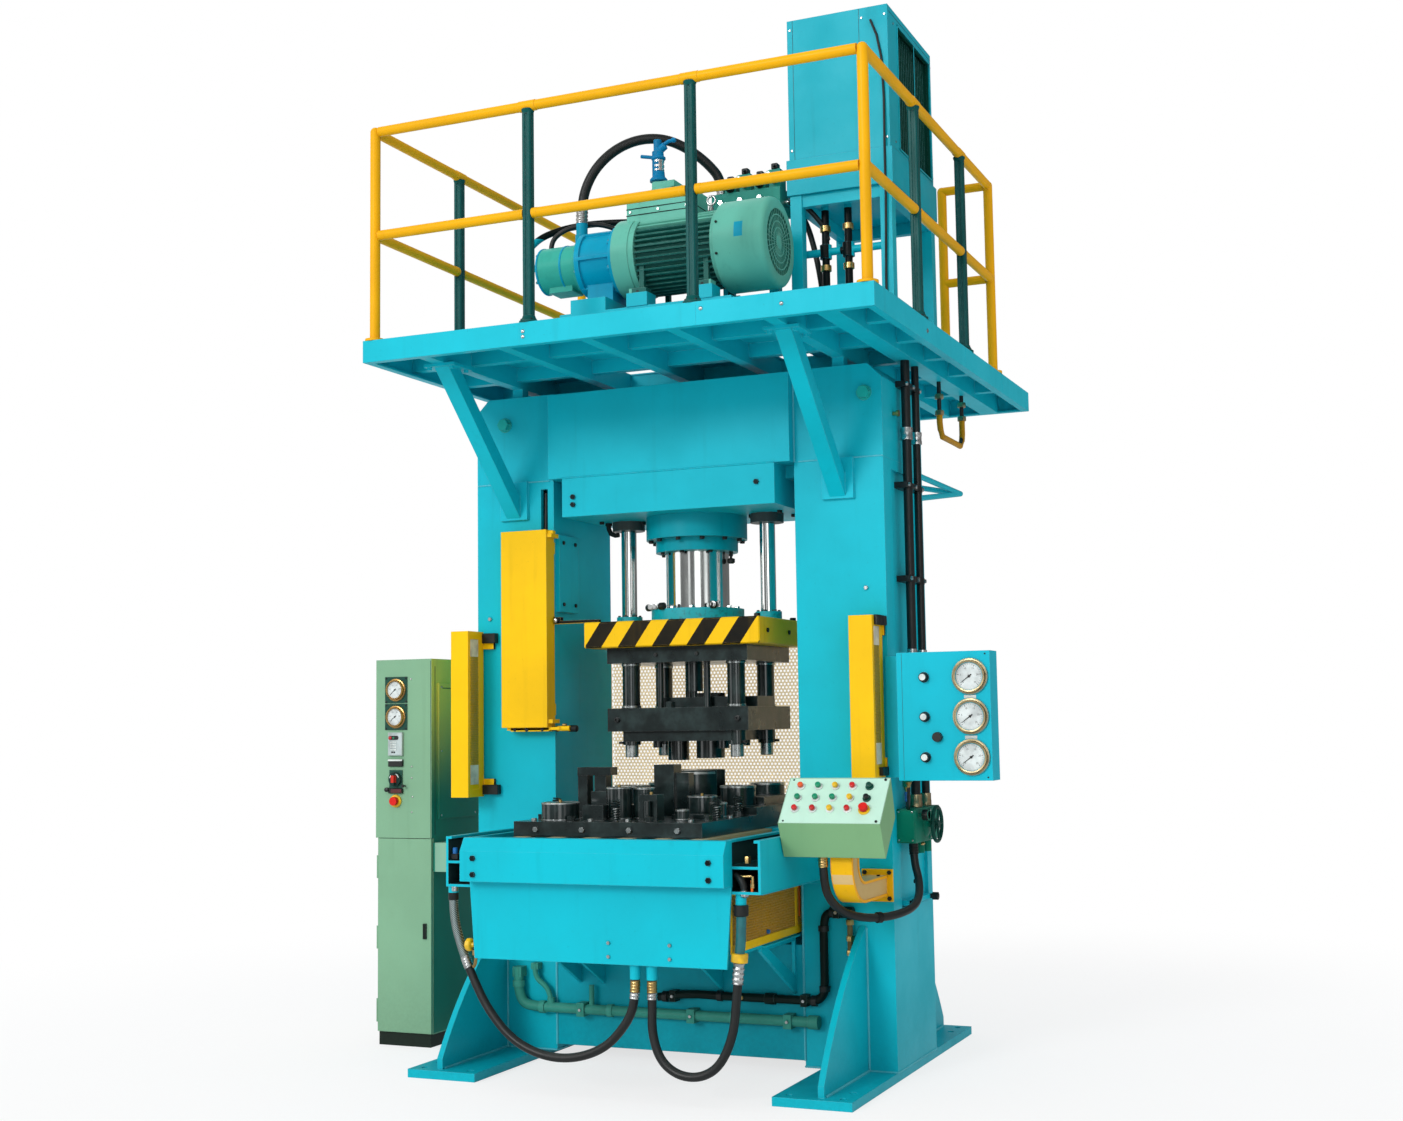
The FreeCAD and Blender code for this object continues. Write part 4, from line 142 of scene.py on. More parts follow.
def group(name, inputs, outputs):
    """Empty node group with named sockets: returns the group, its input node's sockets and a function to
    end it."""
    tree = bpy.data.node_groups.new(name, "ShaderNodeTree")
    kinds = {"colour": "NodeSocketColor", "value": "NodeSocketFloat", "vector": "NodeSocketVector"}
    for label, kind in inputs:
        tree.interface.new_socket(label, in_out="INPUT", socket_type=kinds[kind])
    for label, kind in outputs:
        tree.interface.new_socket(label, in_out="OUTPUT", socket_type=kinds[kind])
    entry = tree.nodes.new("NodeGroupInput").outputs
    leave = tree.nodes.new("NodeGroupOutput")

    def end(**sockets):
        for label, socket in sockets.items():
            tree.links.new(socket, leave.inputs[label])

    return tree, entry, end


def new_material(name, **constants):
    """Material with one Principled shader, whose plain numbers are set on its own sockets."""
    material = bpy.data.materials.new(name)
    material.use_nodes = True
    shader = material.node_tree.nodes["Principled BSDF"]
    for key, value in constants.items():
        shader.inputs[key.replace("_", " ")].default_value = value
    return material, material.node_tree, shader


def link(tree, node, **sockets):
    """Feeds a node's named inputs from sockets."""
    for label, socket in sockets.items():
        tree.links.new(socket, node.inputs[label.replace("_", " ")])


# ---- hoses ----
# Four wire-braided rubber hoses that hang freely. Each is pressed onto threaded ends, so it leaves them
# straight, then sags or arches. Points are the hose's control points, in metres.
# Rubber has fine wrap marks of the cloth that the hose was cured in, and dust on what faces up.
rubber, tree, shader = new_material("hose_rubber", Specular_IOR_Level=0.45)
place = object_place(tree)
wrap = noise(tree, place, 420.0)
cloud = noise(tree, place, 7.0, 4.0)
facing = height_of(tree, add(tree, "NewGeometry").outputs["Normal"])
dust = calc(tree, "MULTIPLY", ramp(tree, facing, 0.1, 1.0), cloud)
link(tree, shader, Base_Color=mixed(tree, dust, (0.006, 0.008, 0.008, 1), (0.06, 0.065, 0.06, 1)),
     Roughness=ramp(tree, cloud, 0.2, 0.8, 0.34, 0.52), Normal=bump(tree, 0.12, 0.001, wrap))

LOOP_Y = -1.140
LEFT_LOOP = [(-0.770, 0.897), (-0.770, 0.790), (-0.736, 0.672), (-0.676, 0.528), (-0.584, 0.362),
             (-0.436, 0.218), (-0.218, 0.160), (0.0, 0.214), (0.128, 0.345), (0.168, 0.450), (0.168, 0.540)]
RIGHT_LOOP = [(0.682, 0.880), (0.682, 0.765), (0.668, 0.625), (0.655, 0.480), (0.638, 0.324), (0.575, 0.188),
              (0.482, 0.130), (0.372, 0.132), (0.284, 0.193), (0.246, 0.312), (0.250, 0.430), (0.250, 0.540)]
CONDUIT = [(0.960, -0.850, 1.075), (0.960, -0.850, 0.975), (0.966, -0.803, 0.880), (1.000, -0.715, 0.812),
           (1.060, -0.610, 0.778), (1.130, -0.510, 0.772), (1.182, -0.410, 0.782), (1.208, -0.305, 0.800),
           (1.210, -0.215, 0.838), (1.195, -0.155, 0.910), (1.165, -0.138, 1.000), (1.165, -0.138, 1.090)]
PRESSURE = [(-0.345, -0.600, 4.180), (-0.345, -0.600, 4.275), (-0.318, -0.597, 4.380),
            (-0.262, -0.576, 4.482), (-0.178, -0.532, 4.568), (-0.075, -0.478, 4.618), (0.035, -0.415, 4.622),
            (0.132, -0.345, 4.578), (0.210, -0.275, 4.510), (0.268, -0.225, 4.424), (0.268, -0.225, 4.330)]


def hose_curve(name, route, radius):
    """One open NURBS spline through the hose's control points, as thick as the hose."""
    curve = bpy.data.curves.new(name, "CURVE")
    curve.dimensions = "3D"
    curve.resolution_u = 16
    curve.bevel_depth = radius
    curve.bevel_resolution = 6
    curve.use_fill_caps = radius > 0
    spline = curve.splines.new("NURBS")
    spline.points.add(len(route) - 1)
    for point, spot in zip(spline.points, route):
        point.co = (*spot, 1.0)
    spline.order_u = 3
    spline.use_endpoint_u = True
    return curve


def hose(node, route, radius):
    """A hose that replaces its plain solid and ends in the machine at both ends."""
    cord = bpy.data.objects.new(node + "_rubber", hose_curve(node + "_rubber", route, radius))
    bpy.context.scene.collection.objects.link(cord)
    cord.data.materials.append(rubber)
    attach(cord, "frame")
    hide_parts(node)


LEFT_LOOP = [(x, LOOP_Y, z) for x, z in LEFT_LOOP]
RIGHT_LOOP = [(x, LOOP_Y, z) for x, z in RIGHT_LOOP]
hose("left_loop_hose", LEFT_LOOP, 0.020)
hose("right_loop_hose", RIGHT_LOOP, 0.020)
hose("console_conduit", CONDUIT, 0.019)
hose("pressure_hose", PRESSURE, 0.025)


# ---- shapes ----
# A shape is a pair: its points, and its faces as arrays of corner numbers. Rings of points make turned,
# bent and boxed shapes, and make() joins several shapes into one piece of the press.
def skin(rings, looped=False):
    """Quads over a grid of points: point j of ring i is joined to its neighbours in the ring and to point
    j of the next ring, so a corner's number is i times the points in a ring, plus j. Flat faces close the
    end rings."""
    rings = np.asarray(rings, float)
    count, around = rings.shape[:2]
    i = np.arange(count if looped else count - 1)[:, None]
    j = np.arange(around)[None, :]
    next_i = (i + 1) % count
    next_j = (j + 1) % around
    corners = (i * around + j, i * around + next_j, next_i * around + next_j, next_i * around + j)
    faces = [np.stack(corners, -1).reshape(-1, 4)]
    if not looped:
        faces.append(np.arange(around)[None, ::-1])
        faces.append(np.arange((count - 1) * around, count * around)[None, :])
    return rings.reshape(-1, 3), faces


def frame_of(way):
    """Two unit vectors square to a direction, and the direction itself, as a right-handed set."""
    way = np.asarray(way, float) / np.linalg.norm(way)
    first = np.cross(way, UP if abs(way[2]) < 0.9 else BACK)
    first = first / np.linalg.norm(first)
    return first, np.cross(way, first), way


def turned(profile, start, way, sides=32, looped=False):
    """Surface of revolution: each (distance, radius) of the profile is a circle about the axis, the point
    at angle a being start + distance * way + radius * (cos a * first + sin a * second). A looped profile
    makes an open ring."""
    first, second, axis = frame_of(way)
    distance, radius = np.array(profile, float).T[:, :, None, None]
    angle = (np.arange(sides) * 2 * math.pi / sides)[None, :, None]
    ring = radius * (np.cos(angle) * first + np.sin(angle) * second)
    return skin(np.asarray(start, float) + distance * axis + ring, looped=looped)


def hexed(start, way, across, high):
    """Hexagonal head or nut: a turned shape with six sides and a small bevel on its top."""
    radius = across / math.sqrt(3)
    return turned([(0, radius), (high * 0.8, radius), (high, radius * 0.88)], start, way, 6)


def block(low, high, edge=0.002):
    """Box with bevelled edges: four rings of eight points, the outer two drawn in by the bevel."""
    (x0, y0, z0), (x1, y1, z1) = low, high

    def ring(inset, z):
        a, b, c, d, e = x0 + inset, x1 - inset, y0 + inset, y1 - inset, edge
        return [(a + e, c, z), (b - e, c, z), (b, c + e, z), (b, d - e, z),
                (b - e, d, z), (a + e, d, z), (a, d - e, z), (a, c + e, z)]

    return skin([ring(edge, z0), ring(0, z0 + edge), ring(0, z1 - edge), ring(edge, z1)])


def pipe(line, radius, sides=16, ref=None, looped=False):
    """Round section carried along a line of points; the section's first side is square to the line and to
    ref, and the radius may be one number or one for each point."""
    line = np.asarray(line, float)
    way = np.gradient(line, axis=0)
    if looped:
        way = np.roll(line, -1, 0) - np.roll(line, 1, 0)
    way = way / np.linalg.norm(way, axis=1)[:, None]
    if ref is None:
        ref = UP if abs(way[:, 2]).max() < 0.9 else ASLANT
    first = np.cross(np.asarray(ref, float), way)
    first = first / np.linalg.norm(first, axis=1)[:, None]
    second = np.cross(way, first)
    angle = (np.arange(sides) * 2 * math.pi / sides)[None, :, None]
    reach = (np.zeros(len(line)) + radius)[:, None, None]
    ring = reach * (np.cos(angle) * first[:, None] + np.sin(angle) * second[:, None])
    return skin(line[:, None] + ring, looped=looped)


def make(name, shapes, material, body="frame", crease=35):
    """One object from several shapes, smooth across edges flatter than the crease angle."""
    points, faces, base = [], [], 0
    for spots, groups in shapes:
        points.append(spots)
        for corners in groups:
            faces += (corners + base).tolist()
        base += len(spots)
    mesh = bpy.data.meshes.new(name)
    mesh.from_pydata(np.concatenate(points).tolist(), [], faces)
    mesh.shade_smooth()
    mesh.set_sharp_from_angle(angle=math.radians(crease))
    mesh.materials.append(material)
    piece = bpy.data.objects.new(name, mesh)
    bpy.context.scene.collection.objects.link(piece)
    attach(piece, body)
    return piece


def centreline(name, route):
    """Points along a hose's own spline, and their distance from its start."""
    bare = bpy.data.objects.new(name, hose_curve(name, route, 0.0))
    bpy.context.scene.collection.objects.link(bare)
    mesh = bpy.data.meshes.new_from_object(bare)
    line = np.array([vertex.co for vertex in mesh.vertices])
    bpy.data.objects.remove(bare)
    steps = np.linalg.norm(np.diff(line, axis=0), axis=1)
    return line, np.concatenate([[0.0], np.cumsum(steps)])


def sleeve(track, profile, ref=BACK):
    """Collar on a hose: each (distance along the hose, radius) of the profile is a circle about its
    centreline."""
    line, along = track
    distance, radius = np.array(profile, float).T
    spots = np.stack([np.interp(distance, along, line[:, k]) for k in range(3)], -1)
    return pipe(spots, radius, 24, ref)


def crimp(start, length, radius, rise=0.003, rings=4):
    """Profile of a crimped ferrule: shallow grooves between raised rings."""
    stops = np.linspace(start, start + length, 4 * rings + 1)
    high = np.where(np.arange(4 * rings + 1) % 4 < 2, radius + rise, radius + rise * 0.45)
    return [(start, radius)] + list(zip(stops + 0.0004, high)) + [(start + length + 0.001, radius)]


def plain_metal(name, colour, rough, metallic=1.0):
    """Bare or plated metal with fine turning marks and duller patches."""
    material, tree, shader = new_material(name, Metallic=metallic)
    place = object_place(tree)
    patch = noise(tree, place, 14.0, 4.0)
    dull = [value * 0.62 for value in colour[:3]] + [1]
    link(tree, shader, Base_Color=mixed(tree, ramp(tree, patch, 0.35, 0.7), colour, dull),
         Roughness=ramp(tree, patch, 0.25, 0.75, rough * 0.8, rough * 1.5),
         Normal=bump(tree, 0.08, 0.0004, noise(tree, place, 700.0, 2.0)))
    return material


def plastic(name, colour, rough=0.35):
    """Moulded plastic with the same fine marks and patches."""
    return plain_metal(name, colour, rough, metallic=0.0)


# ---- hose ends ----
# Each hose is crimped into brass or plated steel ferrules. The left loop climbs in a silver braid, the
# right loop hangs from a black cap in a teal sleeve with a yellow collar and a plated swivel.
brass = plain_metal("brass", (0.62, 0.42, 0.16, 1), 0.30)
plated = plain_metal("plated_steel", (0.62, 0.64, 0.64, 1), 0.25)
black_iron = plain_metal("black_iron", (0.016, 0.020, 0.020, 1), 0.40, metallic=0.4)
braid, tree, shader = new_material("silver_braid", Metallic=0.85, Roughness=0.38)
place = object_place(tree)
strands = []
for turn in (45.0, -45.0):
    turned_place = add(tree, "Mapping", i0=place, i2=(0, math.radians(turn), 0)).outputs[0]
    strands.append(add(tree, "TexWave", {"wave_type": "BANDS", "bands_direction": "X"}, Vector=turned_place,
                       Scale=46.0, Distortion=0.0).outputs[1])
weave = calc(tree, "MULTIPLY", strands[0], strands[1])
link(tree, shader, Base_Color=mixed(tree, weave, (0.06, 0.10, 0.10, 1), (0.72, 0.80, 0.80, 1)),
     Normal=bump(tree, 0.5, 0.002, weave))
teal_sleeve = plastic("teal_sleeve", (0.01, 0.16, 0.18, 1))
yellow_plastic = plastic("yellow_plastic", (0.92, 0.55, 0.01, 1))

left_track = centreline("left_line", LEFT_LOOP)
right_track = centreline("right_line", RIGHT_LOOP)
left_end, right_end = left_track[1][-1], right_track[1][-1]
make("loop_ferrules_brass", [
    sleeve(left_track, crimp(left_end - 0.055, 0.050, 0.0205)),
    sleeve(right_track, crimp(right_end - 0.055, 0.050, 0.0205)),
], brass)
make("loop_ferrules_plated", [
    sleeve(left_track, crimp(0.300, 0.055, 0.0205)),
    sleeve(left_track, crimp(left_end - 0.085, 0.028, 0.0205, rings=2)),
    sleeve(right_track, crimp(0.250, 0.090, 0.0210, 0.006)),
    sleeve(right_track, crimp(right_end - 0.085, 0.028, 0.0205, rings=2)),
], plated)
make("loop_braid", [sleeve(left_track, [(s, 0.0212) for s in np.linspace(0.0, 0.305, 24)])], braid)
make("loop_teal_sleeve", [sleeve(right_track, [(s, 0.0225) for s in np.linspace(0.045, 0.215, 12)])],
     teal_sleeve)
make("loop_black_cap", [
    sleeve(right_track, [(0.0, 0.026), (0.002, 0.033), (0.046, 0.033), (0.050, 0.026)]),
    sleeve(left_track, [(0.0, 0.024), (0.030, 0.025), (0.034, 0.023)]),
], black_iron)
make("loop_yellow_collar", [
    sleeve(right_track, [(0.208, 0.026), (0.210, 0.037), (0.246, 0.037), (0.248, 0.026)]),
], yellow_plastic)
# knob of the drain cock behind the skirt's left edge
KNOB_AT = (-0.642, -1.168, 0.664)
make("drain_knob", [
    turned([(0, 0.010), (0.012, 0.012), (0.013, 0.026), (0.018, 0.030), (0.034, 0.030), (0.040, 0.024)],
           KNOB_AT, LEFT, 10),
], yellow_plastic)
pressure_track = centreline("pressure_line", PRESSURE)
conduit_track = centreline("conduit_line", CONDUIT)
pressure_end, conduit_end = pressure_track[1][-1], conduit_track[1][-1]
make("pressure_ferrules", [
    sleeve(pressure_track, crimp(0.0, 0.095, 0.0255, 0.005, 5), ref=RIGHT),
    sleeve(pressure_track, crimp(pressure_end - 0.085, 0.080, 0.0255, 0.005), ref=RIGHT),
], plated)
make("conduit_ferrules", [
    sleeve(conduit_track, crimp(0.005, 0.045, 0.0195), ref=RIGHT),
], brass)
make("conduit_clips", [
    sleeve(conduit_track, [(0.520, 0.020), (0.521, 0.025), (0.545, 0.025), (0.546, 0.020)], ref=RIGHT),
    sleeve(conduit_track, crimp(conduit_end - 0.06, 0.055, 0.0195), ref=RIGHT),
], black_iron)


# ---- floor, backdrop and light ----
# A plain pale floor under even soft light, brighter from the front than from the sides and back, with one
# soft light from the front left. Metal mirrors a grey hall with narrow bright panels before, beside and
# behind it.
FLOOR_HALF = 14.0
SKY_BACK, SKY_FRONT = 0.50, 1.06
BRIGHT_SKY = (-0.28, -0.74, 0.61)
SUN_LEVEL = 1.20
HALL_GREY = 0.16
floor_mesh = bpy.data.meshes.new("floor")
floor_mesh.from_pydata([(x * FLOOR_HALF, y * FLOOR_HALF, 0) for x, y in ((-1, -1), (1, -1), (1, 1), (-1, 1))],
                       [], [(0, 1, 2, 3)])
floor = bpy.data.objects.new("floor", floor_mesh)
bpy.context.scene.collection.objects.link(floor)
floor_paint, tree, shader = new_material("pale_floor", Roughness=0.9, Specular_IOR_Level=0.1)
place = object_place(tree)
cloud = noise(tree, place, 1.5)
link(tree, shader, Base_Color=mixed(tree, cloud, (0.92, 0.92, 0.92, 1), (0.95, 0.95, 0.95, 1)))
rays = add(tree, "LightPath")
glossy = add(tree, "Emission", Color=(0.55, 0.57, 0.57, 1), Strength=1.0)
white = add(tree, "Emission", Color=(1, 1, 1, 1), Strength=1.0)
far_off = ramp(tree, vector(tree, "LENGTH", place, out=1), 3.0, 6.5, 0.72)
whiteness = calc(tree, "MULTIPLY", far_off, rays.outputs["Is Camera Ray"])
blend = add(tree, "MixShader", i0=whiteness, i1=shader.outputs[0], i2=white.outputs[0])
mirrored = calc(tree, "ADD", rays.outputs["Is Glossy Ray"], rays.outputs["Is Transmission Ray"])
blend = add(tree, "MixShader", i0=mirrored, i1=blend.outputs[0], i2=glossy.outputs[0])
tree.links.new(blend.outputs[0], tree.nodes["Material Output"].inputs[0])
floor_mesh.materials.append(floor_paint)

world = bpy.data.worlds.new("studio")
world.use_nodes = True
bpy.context.scene.world = world
tree = world.node_tree
rays = add(tree, "LightPath")
way = add(tree, "TexCoord").outputs["Generated"]
lit = tree.nodes["Background"]
lit.inputs["Color"].default_value = (0.97, 0.985, 1.0, 1)
towards_sky = vector(tree, "DOT_PRODUCT", way, BRIGHT_SKY, out=1)
link(tree, lit, Strength=ramp(tree, towards_sky, -0.6, 0.9, SKY_BACK, SKY_FRONT))
hall = HALL_GREY
# each panel: the way it lies in degrees from +X, half its width in degrees, its strength
PANELS = ((-66, 8, 2.3), (-142, 9, 1.7), (-96, 3, 0.8), (-36, 5, 1.1), (130, 18, 1.0), (178, 8, 0.8),
          (8, 6, 0.6))
for angle, half_width, strength in PANELS:
    centre = math.radians(angle)
    flat = vector(tree, "NORMALIZE", vector(tree, "MULTIPLY", way, (1, 1, 0.15)))
    meet = vector(tree, "DOT_PRODUCT", flat, (math.cos(centre), math.sin(centre), 0), out=1)
    rim = math.radians(half_width)
    on_it = ramp(tree, meet, math.cos(rim * 1.4), math.cos(rim * 0.8))
    hall = calc(tree, "MULTIPLY_ADD", on_it, strength, hall)
seen = calc(tree, "ADD", rays.outputs["Is Camera Ray"], rays.outputs["Is Transmission Ray"])
backdrop = add(tree, "Background", Color=mixed(tree, seen, hall, (1, 1, 1, 1)), Strength=1.0)
special = calc(tree, "ADD", seen, rays.outputs["Is Glossy Ray"])
blend = add(tree, "MixShader", i0=special, i1=lit.outputs[0], i2=backdrop.outputs[0])
tree.links.new(blend.outputs[0], tree.nodes["World Output"].inputs[0])

sun_data = bpy.data.lights.new("key", "SUN")
sun_data.energy = SUN_LEVEL
sun_data.angle = math.radians(17)
sun = bpy.data.objects.new("key", sun_data)
towards = np.array([-0.26, -0.86, 0.34])
towards = towards / np.linalg.norm(towards)
side = np.cross([0, 0, 1], towards)
side = side / np.linalg.norm(side)
over = np.cross(towards, side)
sun.matrix_world = Matrix([[side[k], over[k], towards[k], towards[k] * 10] for k in range(3)]
                          + [[0, 0, 0, 1]])
bpy.context.scene.collection.objects.link(sun)


# ---- posts ----
# Two welded boxes of thick plate on long foot plates, with a curved gusset front and back. All of the
# frame has the same turquoise enamel, brushed and rolled on site, so it has soft clouds and runs, and
# paler edges that are partly enamel worn thin and partly a painted highlight.
ENAMEL = (0.003, 0.475, 0.585, 1)
BLACK_PAINT = (0.004, 0.005, 0.005, 1)


def edge_finder(tree, radius):
    """Normal rounded over edges, and how well it agrees with the flat face: under 1 along an edge."""
    eased = add(tree, "Bevel", {"samples": 4}, Radius=radius).outputs[0]
    flat = add(tree, "NewGeometry").outputs["Normal"]
    return eased, vector(tree, "DOT_PRODUCT", eased, flat, out=1)


tree, entry, end = group("enamel_coat", [
    ("Paint", "colour"), ("Highlight thin edge", "colour"), ("Soil", "colour"), ("Clouds", "value"), ("Highlight wear", "value"),
    ("Grime", "value")], [("Color", "colour"), ("Roughness", "value"), ("Normal", "vector")])
place = object_place(tree)
eased, meet = edge_finder(tree, 0.0035)
edge = ramp(tree, meet, 0.995, 0.80)
patches = noise(tree, place, 2.1, 5.0, 0.6)
specks = noise(tree, place, 60.0, 5.0, 0.7)
lines = stretched(tree, place, (16.0, 16.0, 1.1))
peel = noise(tree, place, 150.0, 2.0)
dark = mixed(tree, 0.30, entry["Paint"], entry["Soil"])
clouded = calc(tree, "MULTIPLY", ramp(tree, patches, 0.30, 0.72), entry["Clouds"])
cloudy = mixed(tree, clouded, entry["Paint"], dark)
# paler edges where the bevel finds an edge: partly enamel worn thin, partly a painted highlight
highlight_wear_mask = calc(tree, "MULTIPLY", calc(tree, "MULTIPLY", edge, ramp(tree, specks, 0.34, 0.62)), entry["Highlight wear"])
highlit_worn = mixed(tree, highlight_wear_mask, cloudy, entry["Highlight thin edge"])
runs = calc(tree, "MULTIPLY", ramp(tree, lines, 0.56, 0.78), entry["Grime"])
low = ramp(tree, height_of(tree, place), 0.55, 0.0)
spots = calc(tree, "MULTIPLY", ramp(tree, specks, 0.63, 0.70), entry["Grime"])
splash = calc(tree, "MULTIPLY", calc(tree, "MULTIPLY", low, specks), entry["Grime"])
soil = calc(tree, "MAXIMUM", calc(tree, "MULTIPLY", spots, 0.5), splash)
soil = calc(tree, "MAXIMUM", calc(tree, "MULTIPLY", runs, 0.30), soil)
end(Color=mixed(tree, soil, highlit_worn, entry["Soil"]), Roughness=ramp(tree, patches, 0.2, 0.8, 0.30, 0.46),
    Normal=bump(tree, 0.10, 0.0006, peel, Normal=eased))
enamel_coat = tree

# Mask of one box of space, in the machine's own metres: 1 inside, 0 outside.
tree, entry, end = group("inside_box", [("Low", "vector"), ("High", "vector")], [("Mask", "value")])
place = object_place(tree)
over_low = vector(tree, "SUBTRACT", place, entry["Low"])
under_high = vector(tree, "SUBTRACT", entry["High"], place)
mask = None
for spread in (add(tree, "SeparateXYZ", i0=over_low), add(tree, "SeparateXYZ", i0=under_high)):
    for axis in range(3):
        here = calc(tree, "GREATER_THAN", spread.outputs[axis], 0.0)
        mask = here if mask is None else calc(tree, "MULTIPLY", mask, here)
end(Mask=mask)
inside_box = tree
FAR = 9.0


def zone(tree, low, high):
    """Mask of a box of space, where None leaves a side open."""
    node = tree.nodes.new("ShaderNodeGroup")
    node.node_tree = inside_box
    node.inputs["Low"].default_value = [-FAR if value is None else value for value in low]
    node.inputs["High"].default_value = [FAR if value is None else value for value in high]
    return node.outputs["Mask"]


def painted(name, paint, zones=(), soil=None, clouds=0.5, highlight_wear=0.6, grime=0.35, stripes=None, **constants):
    """Enamelled steel. Each zone is (low corner, high corner, its own colour), painted over the first
    colour; stripes is a function that gives the mask of black bands."""
    material, tree, shader = new_material(name, **{"Specular_IOR_Level": 0.11, **constants})
    coat = tree.nodes.new("ShaderNodeGroup")
    coat.node_tree = enamel_coat
    coat.inputs["Paint"].default_value = paint
    # the colour of the paler edges: worn enamel, and also a painted highlight
    coat.inputs["Highlight thin edge"].default_value = [min(1.0, 0.22 + 0.80 * value) for value in paint[:3]] + [1]
    coat.inputs["Soil"].default_value = soil or [0.002 + 0.14 * value for value in paint[:3]] + [1]
    coat.inputs["Clouds"].default_value = clouds
    coat.inputs["Highlight wear"].default_value = highlight_wear
    coat.inputs["Grime"].default_value = grime
    colour = None
    for low, high, own in zones:
        colour = mixed(tree, zone(tree, low, high), colour or paint, own)
    if stripes:
        colour = mixed(tree, stripes(tree), colour or paint, BLACK_PAINT)
    if colour:
        tree.links.new(colour, coat.inputs["Paint"])
    link(tree, shader, Base_Color=coat.outputs["Color"], Roughness=coat.outputs["Roughness"],
         Normal=coat.outputs["Normal"])
    return material


def dress(material, *nodes):
    """Gives nodes of the model their finish."""
    for node in nodes:
        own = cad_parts[node]
        if own.material_slots:
            own.material_slots[0].material = material
        else:
            own.data.materials.append(material)


def bead(points, size=0.005, step=0.012):
    """Weld bead along a line: a small round section that swells and shrinks once every step, as the
    ripples of a hand-laid weld do."""
    line = np.asarray(points, float)
    along = np.concatenate([[0.0], np.cumsum(np.linalg.norm(np.diff(line, axis=0), axis=1))])
    run = np.linspace(0, along[-1], int(along[-1] / step * 4) + 2)
    spots = np.stack([np.interp(run, along, line[:, k]) for k in range(3)], -1)
    return pipe(spots, size * (1 + 0.16 * np.sin(2 * math.pi * run / step)), 6)


def loop_of(x0, x1, y0, y1, z):
    """Corners of a level rectangle, ending where it starts."""
    return [(x0, y0, z), (x1, y0, z), (x1, y1, z), (x0, y1, z), (x0, y0, z)]


turquoise = painted("turquoise_enamel", ENAMEL)
dress(turquoise, "left_column", "right_column")
# welds on each face of each post, as lines of (x, y, z) with the bead's size: both sides of the gusset,
# the lower and upper inner edge and the seam under the crown
GUSSET_WELDS = [([(x, 0.93, 0.043), (x, 0.329, 0.043), (x, 0.327, 0.70)], 0.0065) for x in (0.948, 0.982)]
EDGE_WELDS = [([(0.665, 0.326, 0.07), (0.665, 0.326, 1.16)], 0.006),
              ([(0.6665, 0.327, 2.93), (0.6665, 0.327, 3.36)], 0.006),
              ([(0.69, 0.326, 2.932), (1.118, 0.326, 2.932)], 0.004)]
seams = []
for side in (-1, 1):
    seams.append(bead(loop_of(side * 0.665, side * 1.120, -0.327, 0.327, 0.042)))
    seams += [bead([(side * x, front * y, z) for x, y, z in line], size)
              for front in (-1, 1) for line, size in GUSSET_WELDS + EDGE_WELDS]
weld_paint = painted("weld_enamel", (0.085, 0.56, 0.66, 1), clouds=0.9, highlight_wear=1.0)
make("post_welds", seams, weld_paint)
# cable that climbs in the slot of the left post, and the bolts of its clamps
CABLE = ((-0.716, 1.74), (-0.716, 2.0), (-0.722, 2.4), (-0.716, 2.87))
make("slot_cable", [pipe([(x, -0.312, z) for x, z in CABLE], 0.008, 12)], rubber)
make("post_bolts",
     [hexed((-0.6405, y, z), RIGHT, 0.019, 0.008) for y in (-0.27, -0.14) for z in (2.29, 2.61)]
     + [turned([(0, 0.012), (0.03, 0.012), (0.032, 0.019), (0.06, 0.019), (0.062, 0.015)],
               (1.118, y, 0.80), RIGHT, 12) for y in (-0.13, 0.22)], black_iron)


# ---- crown ----
# A box of plate across the top with a narrower box under it, black bolts and the hook of the slide's
# safety catch under that, and dark bushes for the guide rods.
CROWN_UNDER = 2.729
BUSH_DARK = (0.05, 0.06, 0.06, 1)
PIN_GREEN = (0.010, 0.43, 0.38, 1)
dress(painted("crown_enamel", ENAMEL, zones=[
    ((-0.8, -0.45, 2.72), (0.8, -0.3857, 2.90), BLACK_PAINT),
    *(((x, -0.1, 2.60), (x + 0.22, 0.1, 2.7285), BUSH_DARK) for x in (-0.50, 0.28)),
    *(((x, -0.40, 3.19), (x + 0.10, -0.3257, 3.30), PIN_GREEN) for x in (-1.0, 0.98)),
]), "crown")
make("crown_welds", [bead([(-0.583, y, 2.931), (0.583, y, 2.931)], 0.004) for y in (-0.386, 0.386)],
     turquoise)
make("crown_bolts", [
    turned([(-0.045, 0.013), (0, 0.013), (0.0005, 0.020), (0.018, 0.020)], (x, 0.0, CROWN_UNDER), DOWN, 12)
    for x in (-0.313, 0.313)
] + [hexed((x, y, CROWN_UNDER), DOWN, 0.024, 0.014) for x in (-0.50, 0.50) for y in (-0.10, 0.10)],
     black_iron)
catch = [(-0.50, -0.02, 2.735), (-0.50, -0.02, 2.70), (-0.488, -0.02, 2.672), (-0.462, -0.02, 2.662),
         (-0.44, -0.02, 2.664)]
make("crown_catch", [pipe(catch, 0.013, 12, ref=BACK),
                     turned([(0, 0.017), (0.02, 0.019), (0.022, 0.014)], catch[0], DOWN, 16)], black_iron)


# ---- main cylinder, ram and guide rods ----
# The cylinder's flange and gland are held by rings of bolts. The ram and its two guide rods are chromed
# above their flanges. Three small valves ride on the ram's flange, and a lock knob hangs beside the ram.
dress(painted("cylinder_enamel", (0.0, 0.30, 0.37, 1), grime=0.5), "main_cylinder")


def bolt_ring(count, radius, z, across, high, way=DOWN, middle_x=0.0, turn=0.0):
    """Hexagonal heads spaced evenly on a circle about a vertical axis, the first turned by an angle in
    degrees."""
    angles = [math.radians(turn + 360 * k / count) for k in range(count)]
    return [hexed((middle_x + radius * math.cos(a), radius * math.sin(a), z), way, across, high)
            for a in angles]


